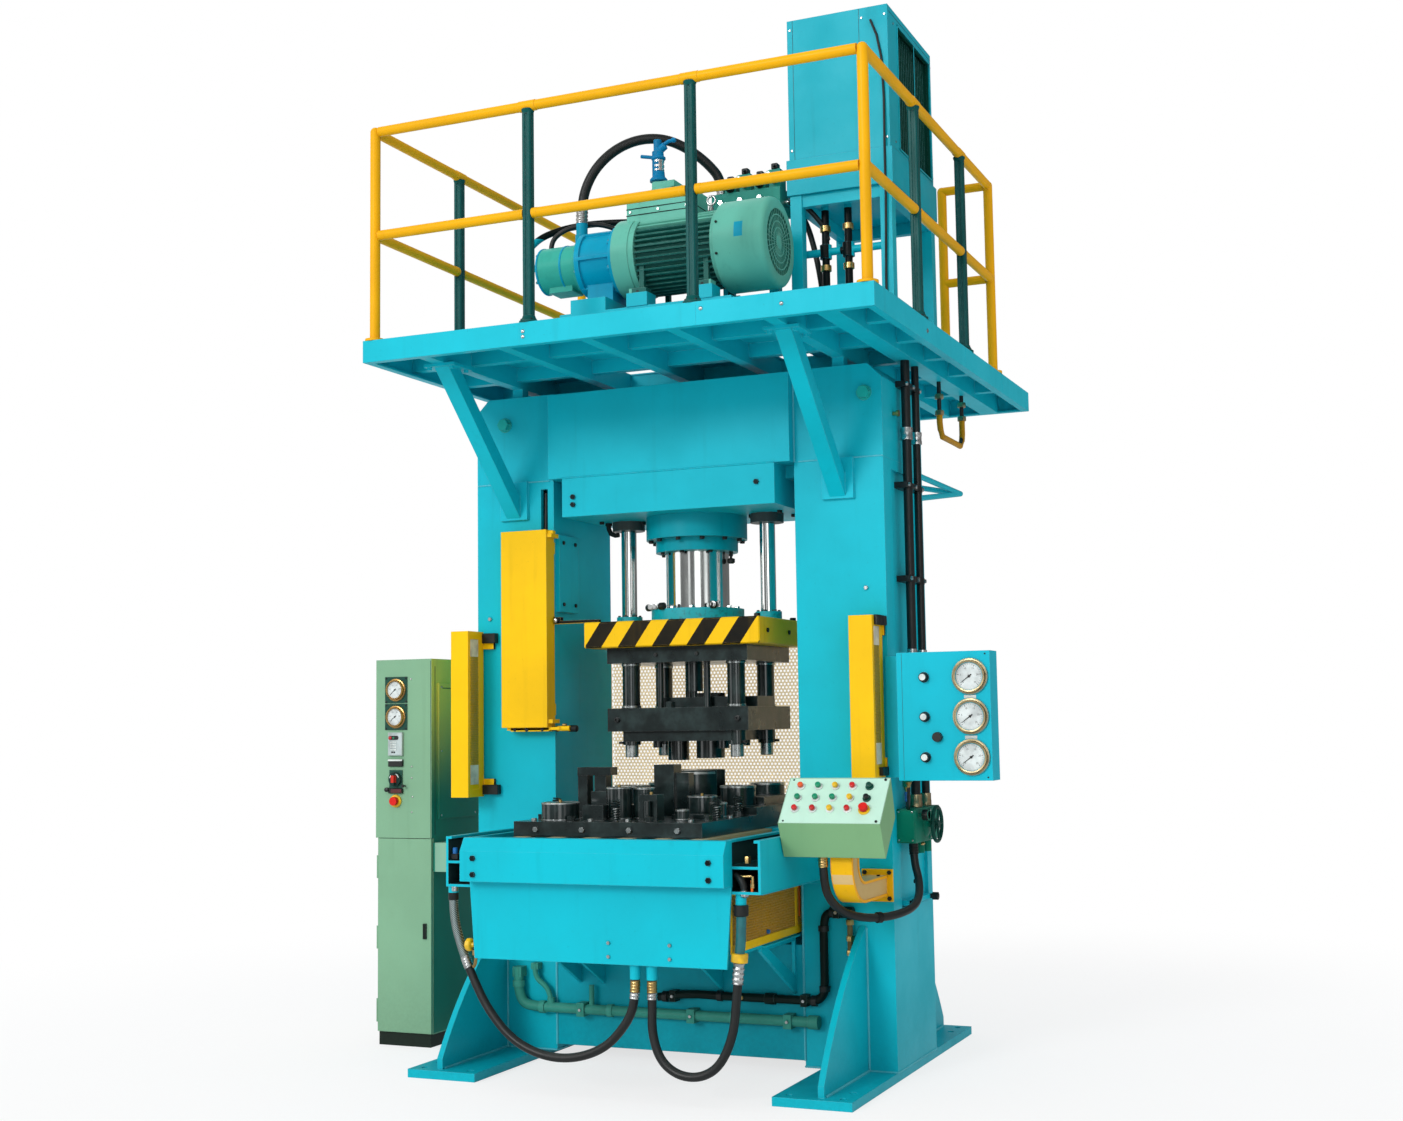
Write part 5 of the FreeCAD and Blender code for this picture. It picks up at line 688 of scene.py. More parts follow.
make("cylinder_bolts", bolt_ring(12, 0.238, 2.610, 0.024, 0.015) + bolt_ring(8, 0.190, 2.545, 0.020, 0.012),
     black_iron)
make("lock_knob", [
    pipe([(0.19, 0.0, 2.55), (0.19, 0.0, 2.515), (0.187, 0.0, 2.505)], 0.007, 12, ref=BACK),
    turned([(0, 0.010), (0.004, 0.020), (0.022, 0.020), (0.028, 0.012)], (0.190, 0.0, 2.510), DOWN, 16),
], black_iron)


def chromed(name, bright_from):
    """Ground chrome above a height, enamelled steel below it."""
    material, tree, shader = new_material(name, Specular_IOR_Level=0.4)
    place = object_place(tree)
    bare = calc(tree, "GREATER_THAN", height_of(tree, place), bright_from)
    film = stretched(tree, place, (9.0, 9.0, 2.2), 4.0)
    silver = mixed(tree, ramp(tree, film, 0.35, 0.75), (0.80, 0.83, 0.82, 1), (0.60, 0.64, 0.62, 1))
    scuff = noise(tree, place, 50.0, 5.0)
    coat = mixed(tree, ramp(tree, scuff, 0.5, 0.7), (0.0, 0.36, 0.44, 1), (0.01, 0.20, 0.24, 1))
    polish = ramp(tree, film, 0.3, 0.8, 0.09, 0.20)
    matt = calc(tree, "MULTIPLY", calc(tree, "SUBTRACT", 1.0, bare), 0.25)
    grind = stretched(tree, place, (4.0, 4.0, 900.0), 2.0)
    link(tree, shader, Base_Color=mixed(tree, bare, coat, silver), Metallic=bare,
         Roughness=calc(tree, "ADD", polish, matt), Normal=bump(tree, 0.05, 0.0002, grind))
    return material


dress(chromed("ram_chrome", 2.2503), "ram")
dress(chromed("rod_chrome", 2.2263), "guide_rods")
# the small valves take the place of the bolts at the front left and front right
ram_bolts = bolt_ring(12, 0.205, 2.250, 0.024, 0.014, UP, turn=15)
make("ram_flange_bolts", [ram_bolts[k] for k in range(12) if k not in (7, 10)], plated, body="slide")
make("ram_valves", [
    turned([(0, 0.016), (0.008, 0.016), (0.0085, 0.012), (0.014, 0.012)], spot, FRONT, 16)
    for spot in ((-0.190, -0.163, 2.264), (-0.150, -0.198, 2.264), (0.165, -0.183, 2.264))
] + [turned([(0, 0.009), (0.012, 0.009), (0.014, 0.006)], spot, UP, 12)
     for spot in ((-0.205, -0.130, 2.268), (-0.165, -0.165, 2.268), (0.178, -0.150, 2.268))], plated,
     body="slide")
make("ram_valve_bodies", [
    turned([(0, 0.014), (0.004, 0.019), (0.030, 0.019), (0.034, 0.014)], spot, way, 16)
    for spot, way in (((-0.232, -0.110, 2.264), (0.75, -0.66, 0)),
                      ((-0.118, -0.215, 2.262), (0.95, -0.3, 0)),
                      ((0.150, -0.190, 2.262), (0.7, 0.7, 0)))
], black_iron, body="slide")
make("rod_flange_bolts", bolt_ring(6, 0.054, 2.226, 0.014, 0.009, UP, -0.392, 30)
     + bolt_ring(6, 0.054, 2.226, 0.014, 0.009, UP, 0.392, 30), black_iron, body="slide")


# ---- slide ----
# A thick yellow plate with slanting black bands over its front edge only, and a black trip arm at its
# left end.
SLIDE_LOW, SLIDE_HIGH = 2.054, 2.186
BAND_PITCH, BAND_SHARE, BAND_LEAN, BAND_START = 0.190, 0.510, 0.094, 0.480


def hazard_bands(tree):
    """Slanting bands: black where the fraction of (x - lean + start) / pitch is under the black share,
    the lean growing with height; only on the plate's front."""
    spot = add(tree, "SeparateXYZ", i0=object_place(tree))
    lean = BAND_LEAN / (SLIDE_HIGH - SLIDE_LOW)
    raised = calc(tree, "MULTIPLY_ADD", spot.outputs[2], -lean, lean * SLIDE_LOW + BAND_START)
    along = add(tree, "Math", {"operation": "ADD"}, i0=raised, i1=spot.outputs[0]).outputs[0]
    steps = add(tree, "Math", {"operation": "DIVIDE"}, i0=along, i1=BAND_PITCH).outputs[0]
    part = add(tree, "Math", {"operation": "FRACT"}, i0=steps).outputs[0]
    ragged = noise(tree, object_place(tree), 120.0, 4.0)
    part = calc(tree, "MULTIPLY_ADD", ragged, 0.03, part)
    return calc(tree, "MULTIPLY", calc(tree, "LESS_THAN", part, BAND_SHARE + 0.015),
                zone(tree, (-0.47, None, SLIDE_LOW - 0.001), (0.4795, -0.3519, SLIDE_HIGH + 0.001)))


SAFETY = (0.93, 0.545, 0.003, 1)
dress(painted("slide_yellow", SAFETY, grime=0.45, stripes=hazard_bands, zones=[
    ((-0.70, -0.36, 2.1862), (-0.38, -0.31, 2.23), BLACK_PAINT),
]), "slide")
make("slide_screws", [hexed((0.480, y, 2.12), RIGHT, 0.022, 0.008) for y in (-0.25, 0.05)]
     + [hexed((x, y, 2.186), UP, 0.030, 0.018) for x in (-0.44, 0.44) for y in (-0.28, 0.22)],
     black_iron, body="slide")
make("trip_roller", [turned([(-0.004, 0.006), (0, 0.011), (0.018, 0.011), (0.020, 0.006)],
                            (-0.64, -0.35, 2.202), FRONT, 20)], plated, body="slide")


# ---- upper die ----
# Stacked ground plates on posts with guide pins, gone dark with oil, with bright scraped edges.
def machined(name, base, bright, rough, metallic, **constants):
    """Ground or sawn steel darkened by oil: fine lay marks, dark patches and bare edges."""
    material, tree, shader = new_material(name, Metallic=metallic, **constants)
    place = object_place(tree)
    eased, meet = edge_finder(tree, 0.002)
    edge = calc(tree, "MULTIPLY", ramp(tree, meet, 0.99, 0.80),
                ramp(tree, noise(tree, place, 40.0), 0.35, 0.6))
    patch = noise(tree, place, 9.0, 5.0, 0.65)
    oiled = mixed(tree, ramp(tree, patch, 0.42, 0.72), base, bright)
    lay = stretched(tree, place, (18.0, 380.0, 380.0), 2.0)
    link(tree, shader,
         Base_Color=mixed(tree, calc(tree, "MULTIPLY", edge, 0.7), oiled, (0.42, 0.45, 0.44, 1)),
         Roughness=ramp(tree, patch, 0.3, 0.7, rough * 0.75, rough * 1.35),
         Normal=bump(tree, 0.12, 0.0004, lay, Normal=eased))
    return material


die_steel = machined("die_steel", (0.004, 0.012, 0.012, 1), (0.016, 0.034, 0.033, 1), 0.34, 0.30,
                     Coat_Weight=0.45, Coat_Roughness=0.14, Coat_IOR=1.9, Specular_IOR_Level=0.2)
bright_steel = machined("bright_steel", (0.30, 0.33, 0.33, 1), (0.55, 0.58, 0.57, 1), 0.28, 0.9)
dress(die_steel, "upper_die", "lower_die")
CAP_BOLT = [(0, 0.013), (0.012, 0.013), (0.0125, 0.0105), (0.0125, 0.007), (0.006, 0.007)]
DIE_POSTS = [(x, y) for x in (-0.290, 0.290) for y in (-0.200, 0.200)]
make("upper_die_bolts", [turned(CAP_BOLT, (x, -0.285, 1.69), FRONT, 16) for x in (-0.33, 0.33)]
     + [turned(CAP_BOLT, (x, y, 1.580), DOWN, 16) for x in (-0.34, 0.34) for y in (-0.22, 0.22)]
     + [hexed((x, -0.285, 2.014), FRONT, 0.018, 0.008) for x in (-0.11, 0.115)], black_iron, body="slide")
make("guide_pin_sleeves", [turned([(0, 0.0300), (0.003, 0.0333), (0.060, 0.0333)], (x, y, 1.500), UP, 32)
                           for x, y in DIE_POSTS], bright_steel, body="slide")
collar = [(0, 0.046), (0.001, 0.050), (0.012, 0.050), (0.013, 0.046)]
make("die_post_rims", [turned(collar, (x, y, z), UP, 32) for x, y in DIE_POSTS for z in (1.7485, 1.9615)],
     bright_steel, body="slide")


# ---- lower die ----
# Dark plates with bright bush rings and a die ring, and on the front plate the loose drums, blocks and
# spring stacks of the tool set, with hexagon bolts and bright rims.
DRUM_RIMS = ((-0.290, -0.975, 0.088, 0.084), (-0.040, -0.860, 0.058, 0.150), (0.060, -0.800, 0.048, 0.145),
             (0.235, -0.520, 0.072, 0.096), (0.300, -0.900, 0.030, 0.050), (-0.380, -0.640, 0.046, 0.066),
             (0.370, -0.640, 0.040, 0.070))
PLATE_TOP = 1.226


def arc_band(centre, section, start, end):
    """Band bent about a vertical axis, open between its ends: each (radius, height) of the section lies at
    centre + (radius cos a, radius sin a, height) for the angles a from start to end."""
    angle = np.radians(np.linspace(start, end, 60))[:, None]
    radius, height = np.array(section, float).T
    return skin(np.asarray(centre, float) + np.stack([radius * np.cos(angle), radius * np.sin(angle),
                                                      height + 0 * angle], -1))


make("drum_rims", [
    turned([(0, radius), (0.0004, radius + 0.0022), (0.007, radius + 0.0022), (0.009, radius - 0.002),
            (0.009, radius - 0.012), (0.001, radius - 0.012)], (x, y, PLATE_TOP + high - 0.008), UP, 48,
            True)
    for x, y, radius, high in DRUM_RIMS
] + [
    turned([(0, radius), (0.0004, radius + 0.002), (0.006, radius + 0.002), (0.0065, radius)],
           (x, y, PLATE_TOP + 0.002), UP, 48) for x, y, radius, high in DRUM_RIMS
] + [
    turned([(0, 0.088), (0.0004, 0.0905), (0.010, 0.0905), (0.012, 0.086), (0.012, 0.072), (0.002, 0.072)],
           (x, y, 1.347), UP, 48, True) for x, y in DIE_POSTS
] + [
    arc_band((-0.025, 0.0, 1.410), [(0.148, 0.014), (0.1525, 0.012), (0.1525, 0.0004), (0.148, 0)],
             start, end) for start, end in ((26, 166), (194, 334))
], bright_steel)


def coil(start, way, radius, pitch, turns, wire):
    """Spring wire: at turn t the centre lies at start + way * pitch * t + radius * (cos 2 pi t, sin 2 pi
    t)."""
    first, second, axis = frame_of(way)
    t = np.linspace(0, turns, int(turns * 20) + 1)[:, None]
    angle = 2 * math.pi * t
    line = np.asarray(start, float) + axis * pitch * t
    line = line + radius * (np.cos(angle) * first + np.sin(angle) * second)
    return pipe(line, wire, 8, ref=axis)


spring_steel = plain_metal("spring_steel", (0.030, 0.048, 0.048, 1), 0.25, metallic=0.8)
SPRINGS = ((-0.425, -0.760), (0.430, -0.800), (0.010, -1.000), (0.400, -0.470), (-0.430, -0.470))
make("die_springs", [coil((x, y, PLATE_TOP + 0.004), UP, 0.019, 0.011, 8, 0.0034) for x, y in SPRINGS],
     spring_steel)
make("die_fittings", [
    turned(CAP_BOLT, (x, y, PLATE_TOP), UP, 16)
    for x, y in ((-0.40, -1.03), (0.40, -1.03), (-0.10, -1.04), (0.09, -1.04), (-0.44, -0.86),
                 (0.45, -0.70))
] + [
    turned([(0, 0.010), (0.05, 0.010), (0.052, 0.016), (0.062, 0.016), (0.064, 0.010)], (x, y, PLATE_TOP),
           UP, 16)
    for x, y in SPRINGS
] + [hexed((x, -1.085, 1.190), FRONT, 0.026, 0.012) for x in (-0.36, -0.12, 0.12, 0.36)], bright_steel)
make("die_brass_bushes", [
    turned([(0, 0.008), (0.010, 0.008), (0.012, 0.005)], (x, y, z), UP, 20)
    for x, y, z in ((-0.290, -0.975, 1.310), (-0.040, -0.860, 1.376), (0.235, -0.520, 1.322),
                    (0.145, -0.900, 1.344))
], brass)


# ---- bed and moving table ----
# The bed is a welded box; the table in front of it is two channels with a grooved deck, painted dark
# inside as painted shade, on tan slideway strips, closed by a lip and a skirt plate.
PAINTED_SHADE = (0.02, 0.045, 0.045, 1)
dress(painted("bed_enamel", (0.001, 0.40, 0.50, 1), grime=0.5, clouds=0.8), "bed")
dress(painted("table_enamel", ENAMEL, zones=[
    # the insides of the two channels: painted shade
    ((x0, -1.1735, low), (x1, 0, high), PAINTED_SHADE)
    for x0, x1 in ((0.631, 0.779), (-0.779, -0.631)) for low, high in ((0.938, 1.036), (1.046, 1.1485))
] + [
    ((-0.619, None, 1.10), (0.619, None, 1.1385), (0.012, 0.020, 0.020, 1)),
    ((-0.619, None, 1.1385), (0.619, None, None), (0.50, 0.39, 0.20, 1)),
]), "table_frame")
dress(painted("lip_enamel", ENAMEL, clouds=0.35, zones=[
    ((None, None, None), (None, -1.2723, None), BLACK_PAINT),
]), "table_front_lip", "table_skirt")
make("table_welds", [
    bead([(-0.656, -1.173, 0.9625), (0.656, -1.173, 0.9625)], 0.0035),
    bead([(0.790, -0.34, 0.928), (0.790, -1.16, 0.928)], 0.003),
], turquoise)
# fittings in the channels' open ends, the cock under the right end and its orange lever
CHANNEL_Y = -1.150
make("table_brass", [
    hexed((0.721, CHANNEL_Y, 1.060), UP, 0.026, 0.030),
    pipe([(0.668, CHANNEL_Y, 1.005), (0.700, CHANNEL_Y, 1.003), (0.740, CHANNEL_Y, 1.005)], 0.007, 12),
    turned([(0, 0.009), (0.03, 0.009), (0.031, 0.013), (0.05, 0.013)], (0.745, -1.155, 1.005), DOWN, 12),
    hexed((-0.640, -1.160, 0.640), DOWN, 0.030, 0.024),
    turned([(0, 0.012), (0.03, 0.012), (0.032, 0.016), (0.05, 0.016)], (-0.615, -1.160, 0.634), RIGHT, 16),
    pipe([(-0.640, -1.160, 0.64), (-0.640, -1.158, 0.60), (-0.648, CHANNEL_Y, 0.575),
          (-0.66, -1.145, 0.56)], 0.008),
], brass)
make("table_silver", [
    turned([(0, 0.014), (0.006, 0.020), (0.030, 0.020), (0.036, 0.014)], (0.703, CHANNEL_Y, 0.912), UP, 20),
    turned([(0, 0.017), (0.03, 0.017)], (-0.757, CHANNEL_Y, 0.905), UP, 16),
], plated)
make("table_boot", [
    pipe([(0.661, CHANNEL_Y, 1.012), (0.676, CHANNEL_Y, 1.002), (0.690, CHANNEL_Y, 0.985),
          (0.700, CHANNEL_Y, 0.962), (0.702, CHANNEL_Y, 0.940)],
         np.array([0.012, 0.016, 0.018, 0.018, 0.016]), 20, ref=BACK),
    block((-0.772, -1.160, 1.050), (-0.735, -1.130, 1.078), 0.003),
], black_iron)
orange_plastic = plastic("orange_plastic", (0.85, 0.16, 0.01, 1))
blue_plastic = plastic("blue_plastic", (0.01, 0.14, 0.42, 1))
make("table_lever", [block((0.737, -1.162, 0.930), (0.748, -1.152, 0.990), 0.002)], orange_plastic)
make("table_blue_bits",
     [turned([(0, 0.012), (0.026, 0.012), (0.028, 0.009)], (-0.755, CHANNEL_Y, 1.078), UP, 16),
      turned([(0, 0.010), (0.010, 0.010), (0.012, 0.007)], (0.640, -0.727, 0.717), RIGHT, 12)],
     blue_plastic)
make("hose_block_bolts", [hexed((x, -1.186, z), FRONT, 0.016, 0.008)
                          for x in (0.06, 0.36) for z in (0.64, 0.70)], plated)


# ---- side guards and rear guard ----
# Perforated sheet with staggered round holes in bevelled frames: amber at the table's sides, cream behind
# the press. The holes are real, cut as six-sided openings.
def holed(outer, inner, place):
    """Plate of cells, each with one opening. outer and inner are arrays of cells by corners by two;
    corners that cells share are merged. place puts the flat corners into space and gives the front and
    back points."""
    cells, sides = outer.shape[:2]
    merged, own = np.unique(np.round(outer.reshape(-1, 2), 6), axis=0, return_inverse=True)
    flat = np.concatenate([merged, inner.reshape(-1, 2)])
    own = own.ravel()
    base = np.arange(cells)[:, None] * sides
    now, after = base + np.arange(sides), base + (np.arange(sides) + 1) % sides
    o_now, o_next = own[now].ravel(), own[after].ravel()
    i_now, i_next = (now + len(merged)).ravel(), (after + len(merged)).ravel()
    count = len(flat)
    front = np.stack([i_now, i_next, o_next, o_now], -1)
    walls = np.stack([i_next, i_now, i_now + count, i_next + count], -1)
    pairs = set(zip(o_now.tolist(), o_next.tolist()))
    rim = np.array([(a, b) for a, b in pairs if (b, a) not in pairs])
    rims = np.stack([rim[:, 0], rim[:, 1], rim[:, 1] + count, rim[:, 0] + count], -1)
    return np.concatenate(place(flat)), [front, front[:, ::-1] + count, walls, rims]


def perforated(low, high, level, thick, pitch, hole, across, normal):
    """Sheet with staggered holes between two corners given as (across, upward). Each hole has its own
    six-sided cell: corner k of the cell lies at centre + pitch / sqrt 3 * (sin 60k, cos 60k), and the
    hole's corner on the same line at half its width. across is the axis across the sheet, 0 or 1, and
    normal the sheet's own axis."""
    (a0, b0), (a1, b1) = low, high
    columns = int((a1 - a0) / pitch - 0.5)
    rows = int((b1 - b0 - 0.16 * pitch) / (pitch * math.sqrt(3) / 2))
    i, j = np.meshgrid(np.arange(columns), np.arange(rows))
    centre_a = (a0 + a1) / 2 + (i - (columns - 1) / 2 + (j % 2) * 0.5 - 0.25) * pitch
    centre_b = (b0 + b1) / 2 + (j - (rows - 1) / 2) * pitch * math.sqrt(3) / 2
    centres = np.stack([centre_a.ravel(), centre_b.ravel()], -1)[:, None]
    k = np.arange(6) * math.pi / 3
    spoke = np.stack([np.sin(k), np.cos(k)], -1)

    def place(flat):
        front = np.zeros((len(flat), 3))
        front[:, (across, 2)] = flat
        back = front.copy()
        front[:, normal] = level + thick / 2
        back[:, normal] = level - thick / 2
        return front, back

    spots, faces = holed(centres + spoke * pitch / math.sqrt(3), centres + spoke * hole / 2, place)
    # the corners turn one way seen from one side of the sheet only
    if (across, normal) == (1, 0):
        return spots, faces
    return spots, [corners[:, ::-1] for corners in faces]


amber = painted("guard_amber", (0.56, 0.27, 0.010, 1), soil=(0.02, 0.03, 0.02, 1), clouds=0.9, grime=0.6)
yellow = painted("safety_yellow", SAFETY)
guard, edges = [], []
for side in (-1, 1):
    for y0, y1, top in ((-1.150, -0.345, 0.927), (-0.345, -0.200, 0.889)):
        guard.append(perforated((y0 + 0.008, 0.700), (y1 - 0.004, top - 0.008), side * 0.636, 0.003, 0.0135,
                                0.0095, 1, 0))
        x0, x1 = sorted((side * 0.632, side * 0.640))
        for ya, za, yb, zb in ((y0, 0.665, y1, 0.702), (y0, top - 0.012, y1, top),
                               (y0, 0.70, y0 + 0.014, top - 0.01), (y1 - 0.012, 0.70, y1, top - 0.01)):
            edges.append(block((x0, ya, za), (x1, yb, zb), 0.001))
sheet_piece = make("side_guard_sheets", guard, amber)
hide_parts("side_guards")
make("side_guard_edges", edges, yellow)
make("side_guard_bar", [block((0.639, -0.312, 0.742), (0.6455, -0.302, 0.886), 0.001)], orange_plastic)
cream = painted("guard_cream", (0.96, 0.80, 0.52, 1), soil=(0.50, 0.36, 0.18, 1), clouds=0.3, grime=0.3,
                Transmission_Weight=0.75, IOR=1.05)
sheet_piece = make("rear_guard_sheet", [
    perforated((-0.672, 1.228), (0.672, 2.052), 0.335, 0.002, 0.0200, 0.0135, 0, 1),
], cream)
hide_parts("rear_guard")
make("rear_guard_frame", [
    block((-0.700, 0.325, 1.200), (-0.670, 0.345, 2.080)),
    block((0.670, 0.325, 1.200), (0.700, 0.345, 2.080)),
    block((-0.671, 0.325, 1.200), (0.671, 0.345, 1.230)),
    block((-0.671, 0.325, 2.050), (0.671, 0.345, 2.080)),
], cream)
make("rear_guard_screws", [hexed((x, 0.345, z), BACK, 0.016, 0.006)
                           for x in (-0.685, 0.685) for z in (1.23, 1.64, 2.05)], plated)


# ---- switch cover and light curtains ----
# Folded yellow sheet over the slide's switches, with a bracket strip and a sensor under it; two yellow
# sensor bars with a perforated strip on their right flank, held by black brackets, pale lens patches at
# the strip's ends.
dress(yellow, "switch_cover")
dress(painted("curtain_yellow", SAFETY, zones=[((None, -0.3447, None), (None, None, None), BLACK_PAINT)]),
      "light_curtains")
make("cover_strips", [
    block((-0.885, -0.400, 1.637), (-0.660, -0.345, 1.6575), 0.002),
    block((-0.668, -0.405, 2.646), (-0.628, -0.375, 2.664), 0.003),
], yellow)
make("cover_black_bits", [
    turned([(0, 0.012), (0.028, 0.012), (0.029, 0.016), (0.034, 0.016)], (-0.662, -0.365, 1.650), RIGHT, 16),
    turned([(0, 0.015), (0.004, 0.017), (0.046, 0.017), (0.050, 0.013)], (-0.566, -0.365, 1.650), RIGHT, 16),
    turned([(0, 0.009), (0.003, 0.009), (0.003, 0.005)], (-0.860, -0.400, 1.647), FRONT, 12),
    turned([(0, 0.010), (0.004, 0.010), (0.004, 0.006)], (-0.790, -0.400, 1.647), FRONT, 12),
    turned([(0, 0.009), (0.003, 0.009), (0.003, 0.005)], (-0.700, -0.400, 1.647), FRONT, 12),
    block((-1.077, -0.362, 2.098), (-0.998, -0.326, 2.150)),
    block((-1.077, -0.362, 1.316), (-0.985, -0.326, 1.366)),
    block((1.098, -0.470, 2.116), (1.119, -0.326, 2.162)),
    block((1.098, -0.440, 1.412), (1.119, -0.326, 1.452)),
], black_iron)
make("cover_brass_bits", [turned([(0, 0.011), (0.062, 0.011)], (-0.629, -0.365, 1.650), RIGHT, 16),
                          turned([(0, 0.008), (0.02, 0.008)], (-0.600, -0.365, 1.668), RIGHT, 10)], brass)
make("cover_screws", [hexed((x, -0.326, z), FRONT, 0.019, 0.009)
                      for x, z in ((-1.045, 2.225), (-0.700, 2.47), (-0.700, 2.24), (1.02, 2.30))], plated)
lens = plastic("lens_strip", (0.72, 0.66, 0.50, 1), 0.5)
dark_gold = painted("strip_gold", (0.46, 0.32, 0.02, 1), grime=0.8)
strips, lenses = [], []
for x, low, high in ((-1.0752, 1.375, 2.112), (1.1008, 1.470, 2.105)):
    strips.append(perforated((-0.482, low), (-0.398, high), x, 0.0015, 0.0105, 0.0070, 1, 0))
    for from_z, to_z in ((high - 0.085, high + 0.004), (low - 0.004, low + 0.095)):
        lenses.append(block((x - 0.0002, -0.480, from_z), (x + 0.0014, -0.402, to_z), 0.0005))
make("curtain_strips", strips, dark_gold)
make("curtain_lenses", lenses, lens)


# ---- motor platform and struts ----
# Folded edge plates round a deck on beams, and two struts with welded foot plates, in a turquoise
# lighter than the frame's: a painted highlight for the light that falls on the platform's edges. Black
# rubber pads lie under the beams.
# lighter turquoise than the frame: painted highlight
highlit_deck_paint = painted("platform_enamel_highlit", (0.004, 0.50, 0.62, 1), clouds=0.45)
dress(highlit_deck_paint, "platform", "platform_struts")
joints = [bead([(1.3847, y, 3.440), (1.3847, y, 3.540)], 0.0012, 0.02) for y in (0.261, 1.025)]
joints += [bead([(x, -1.2375, 3.440), (x, -1.2375, 3.540)], 0.0012, 0.02) for x in (-0.35, 0.55)]
for side in (-1, 1):
    for z in (2.737, 2.933):
        joints.append(bead([(side * 0.813, -0.327, z), (side * 0.971, -0.327, z)], 0.004))
    for x in (0.813, 0.971):
        joints.append(bead([(side * x, -0.327, 2.737), (side * x, -0.327, 2.933)], 0.004))
    for x in (0.852, 0.932):
        joints.append(bead([(side * x, -0.346, 2.76), (side * x, -0.346, 2.86)], 0.004))
make("platform_welds", joints, highlit_deck_paint)
make("platform_bolts",
     [turned([(0, 0.011), (0.004, 0.011), (0.006, 0.007)], (1.385, -0.437, 3.486), RIGHT, 12)]
     + [turned([(0, 0.009), (0.003, 0.009), (0.005, 0.006)], (x, -1.238, z), FRONT, 12)
        for x, z in ((-0.33, 3.50), (-0.33, 3.475), (0.96, 3.49), (0.575, 3.51))], plated)


# ---- guard rails ----
# Yellow pipe rails on corner pipes, and between them dark green fluted posts on round feet; the middle
# rail ends in a domed socket at each post and the top rail passes over a saddle.
rail_paint = painted("rail_yellow", (0.87, 0.43, 0.004, 1), grime=0.3)
dress(rail_paint, "guard_rails")
post_paint = painted("post_green", (0.002, 0.085, 0.080, 1), grime=0.3, clouds=0.7)
# each green post: its place, and 1 where the rails at it run along Y
GREEN_POSTS = ((-0.320, -1.196, 0), (0.520, -1.196, 0), (-1.177, -0.410, 1), (1.343, -0.430, 1),
               (1.343, 0.400, 1))
RAIL_MIDDLE, RAIL_HIGH, DECK = 4.072, 4.594, 3.544
flute = np.array([(0.0225, -0.0170), (0.0225, -0.0075), (0.0175, -0.0045), (0.0175, 0.0045),
                  (0.0225, 0.0075), (0.0225, 0.0170), (0.0200, 0.0200)])
quarter = [np.array([[math.cos(a), math.sin(a)], [-math.sin(a), math.cos(a)]])
           for a in np.arange(4) * math.pi / 2]
outline = np.concatenate([flute @ turn for turn in quarter])
columns, sockets, feet = [], [], []
dome = [(0, 0.0245), (0.012, 0.0255), (0.020, 0.0235), (0.0255, 0.018), (0.0285, 0.010), (0.0295, 0.003)]
for x, y, along in GREEN_POSTS:
    rings = [np.column_stack([outline + (x, y), np.full(len(outline), z)])
             for z in (DECK + 0.006, RAIL_HIGH - 0.026)]
    columns.append(skin(rings))
    columns.append(turned([(0, 0.024), (0.016, 0.031), (0.022, 0.031), (0.022, 0.026)],
                          (x, y, RAIL_HIGH - 0.040), UP, 24))
    feet.append(turned([(0, 0.047), (0.010, 0.047), (0.014, 0.040), (0.030, 0.031), (0.036, 0.030)],
                       (x, y, DECK), UP, 32))
    way = np.array(BACK if along else RIGHT, float)
    for sign in (-1, 1):
        sockets.append(turned(dome, np.array([x, y, RAIL_MIDDLE]) + sign * way * 0.052, -sign * way, 24))
    sockets.append(turned([(0, 0.0245), (0.002, 0.0265), (0.088, 0.0265), (0.090, 0.0245)],
                          np.array([x, y, RAIL_HIGH]) - way * 0.045, way, 24))
green_piece = make("green_posts", columns + feet, post_paint)
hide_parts("rail_posts")
make("rail_sockets", sockets, rail_paint)
make("rail_foot_bolts",
     [hexed((x + 0.036 * math.cos(a), y + 0.036 * math.sin(a), DECK + 0.012), UP, 0.011, 0.008)
      for x, y, along in GREEN_POSTS for a in (0.8, 2.4, 3.9, 5.5)], black_iron)


# ---- motor ----
# Finned grey-green motor with a terminal box on top that carries a blue valve, and a fan cover with a
# grille of real slots round a hub. Its fins are painted darker than the rest: painted shade, as they lie
# in shade, and dust.
SAGE = (0.135, 0.49, 0.385, 1)
dress(painted("motor_green", SAGE, grime=0.5, zones=[
    # the fins, darker: painted shade and dust
    ((0.030, None, 3.70), (0.434, None, 4.062), (0.012, 0.125, 0.105, 1)),
    ((None, None, 4.335), (None, None, None), (0.0, 0.17, 0.36, 1)),
]), "motor")
dress(plain_metal("rotor_steel", (0.05, 0.06, 0.06, 1), 0.4, metallic=0.7), "motor_rotor")
AXIS_Y, AXIS_Z = -0.600, 3.955
AXIS = (0, AXIS_Y, AXIS_Z)


def fan_grille(rings, slots, x, thick):
    """Round grille: between each pair of radii the sector is cut into slots, turned by half a slot in
    every second ring; a slot's corner lies at (radius * cos a, radius * sin a), drawn in from its cell's
    edge."""
    outer, inner = [], []
    for number in range(len(rings) - 1):
        r0, r1 = rings[number], rings[number + 1]
        a = 2 * math.pi * np.arange(slots) / slots
        b = a + 2 * math.pi / slots

        def corners(radii, edge):
            lean = edge / np.array(radii)
            return np.stack([np.stack([radii[k] * np.cos(t), radii[k] * np.sin(t)], -1)
                             for k, t in ((0, a + lean[0]), (1, a + lean[1]), (1, b - lean[1]),
                                          (0, b - lean[0]))], 1)

        outer.append(corners((r0, r1), 0.0))
        inner.append(corners((r0 + 0.0028, r1 - 0.0028), 0.0015))

    def place(flat):
        spots = np.column_stack([np.full(len(flat), x), AXIS_Y + flat[:, 0], AXIS_Z + flat[:, 1]])
        return spots - (thick, 0, 0), spots

    return holed(np.concatenate(outer), np.concatenate(inner), place)


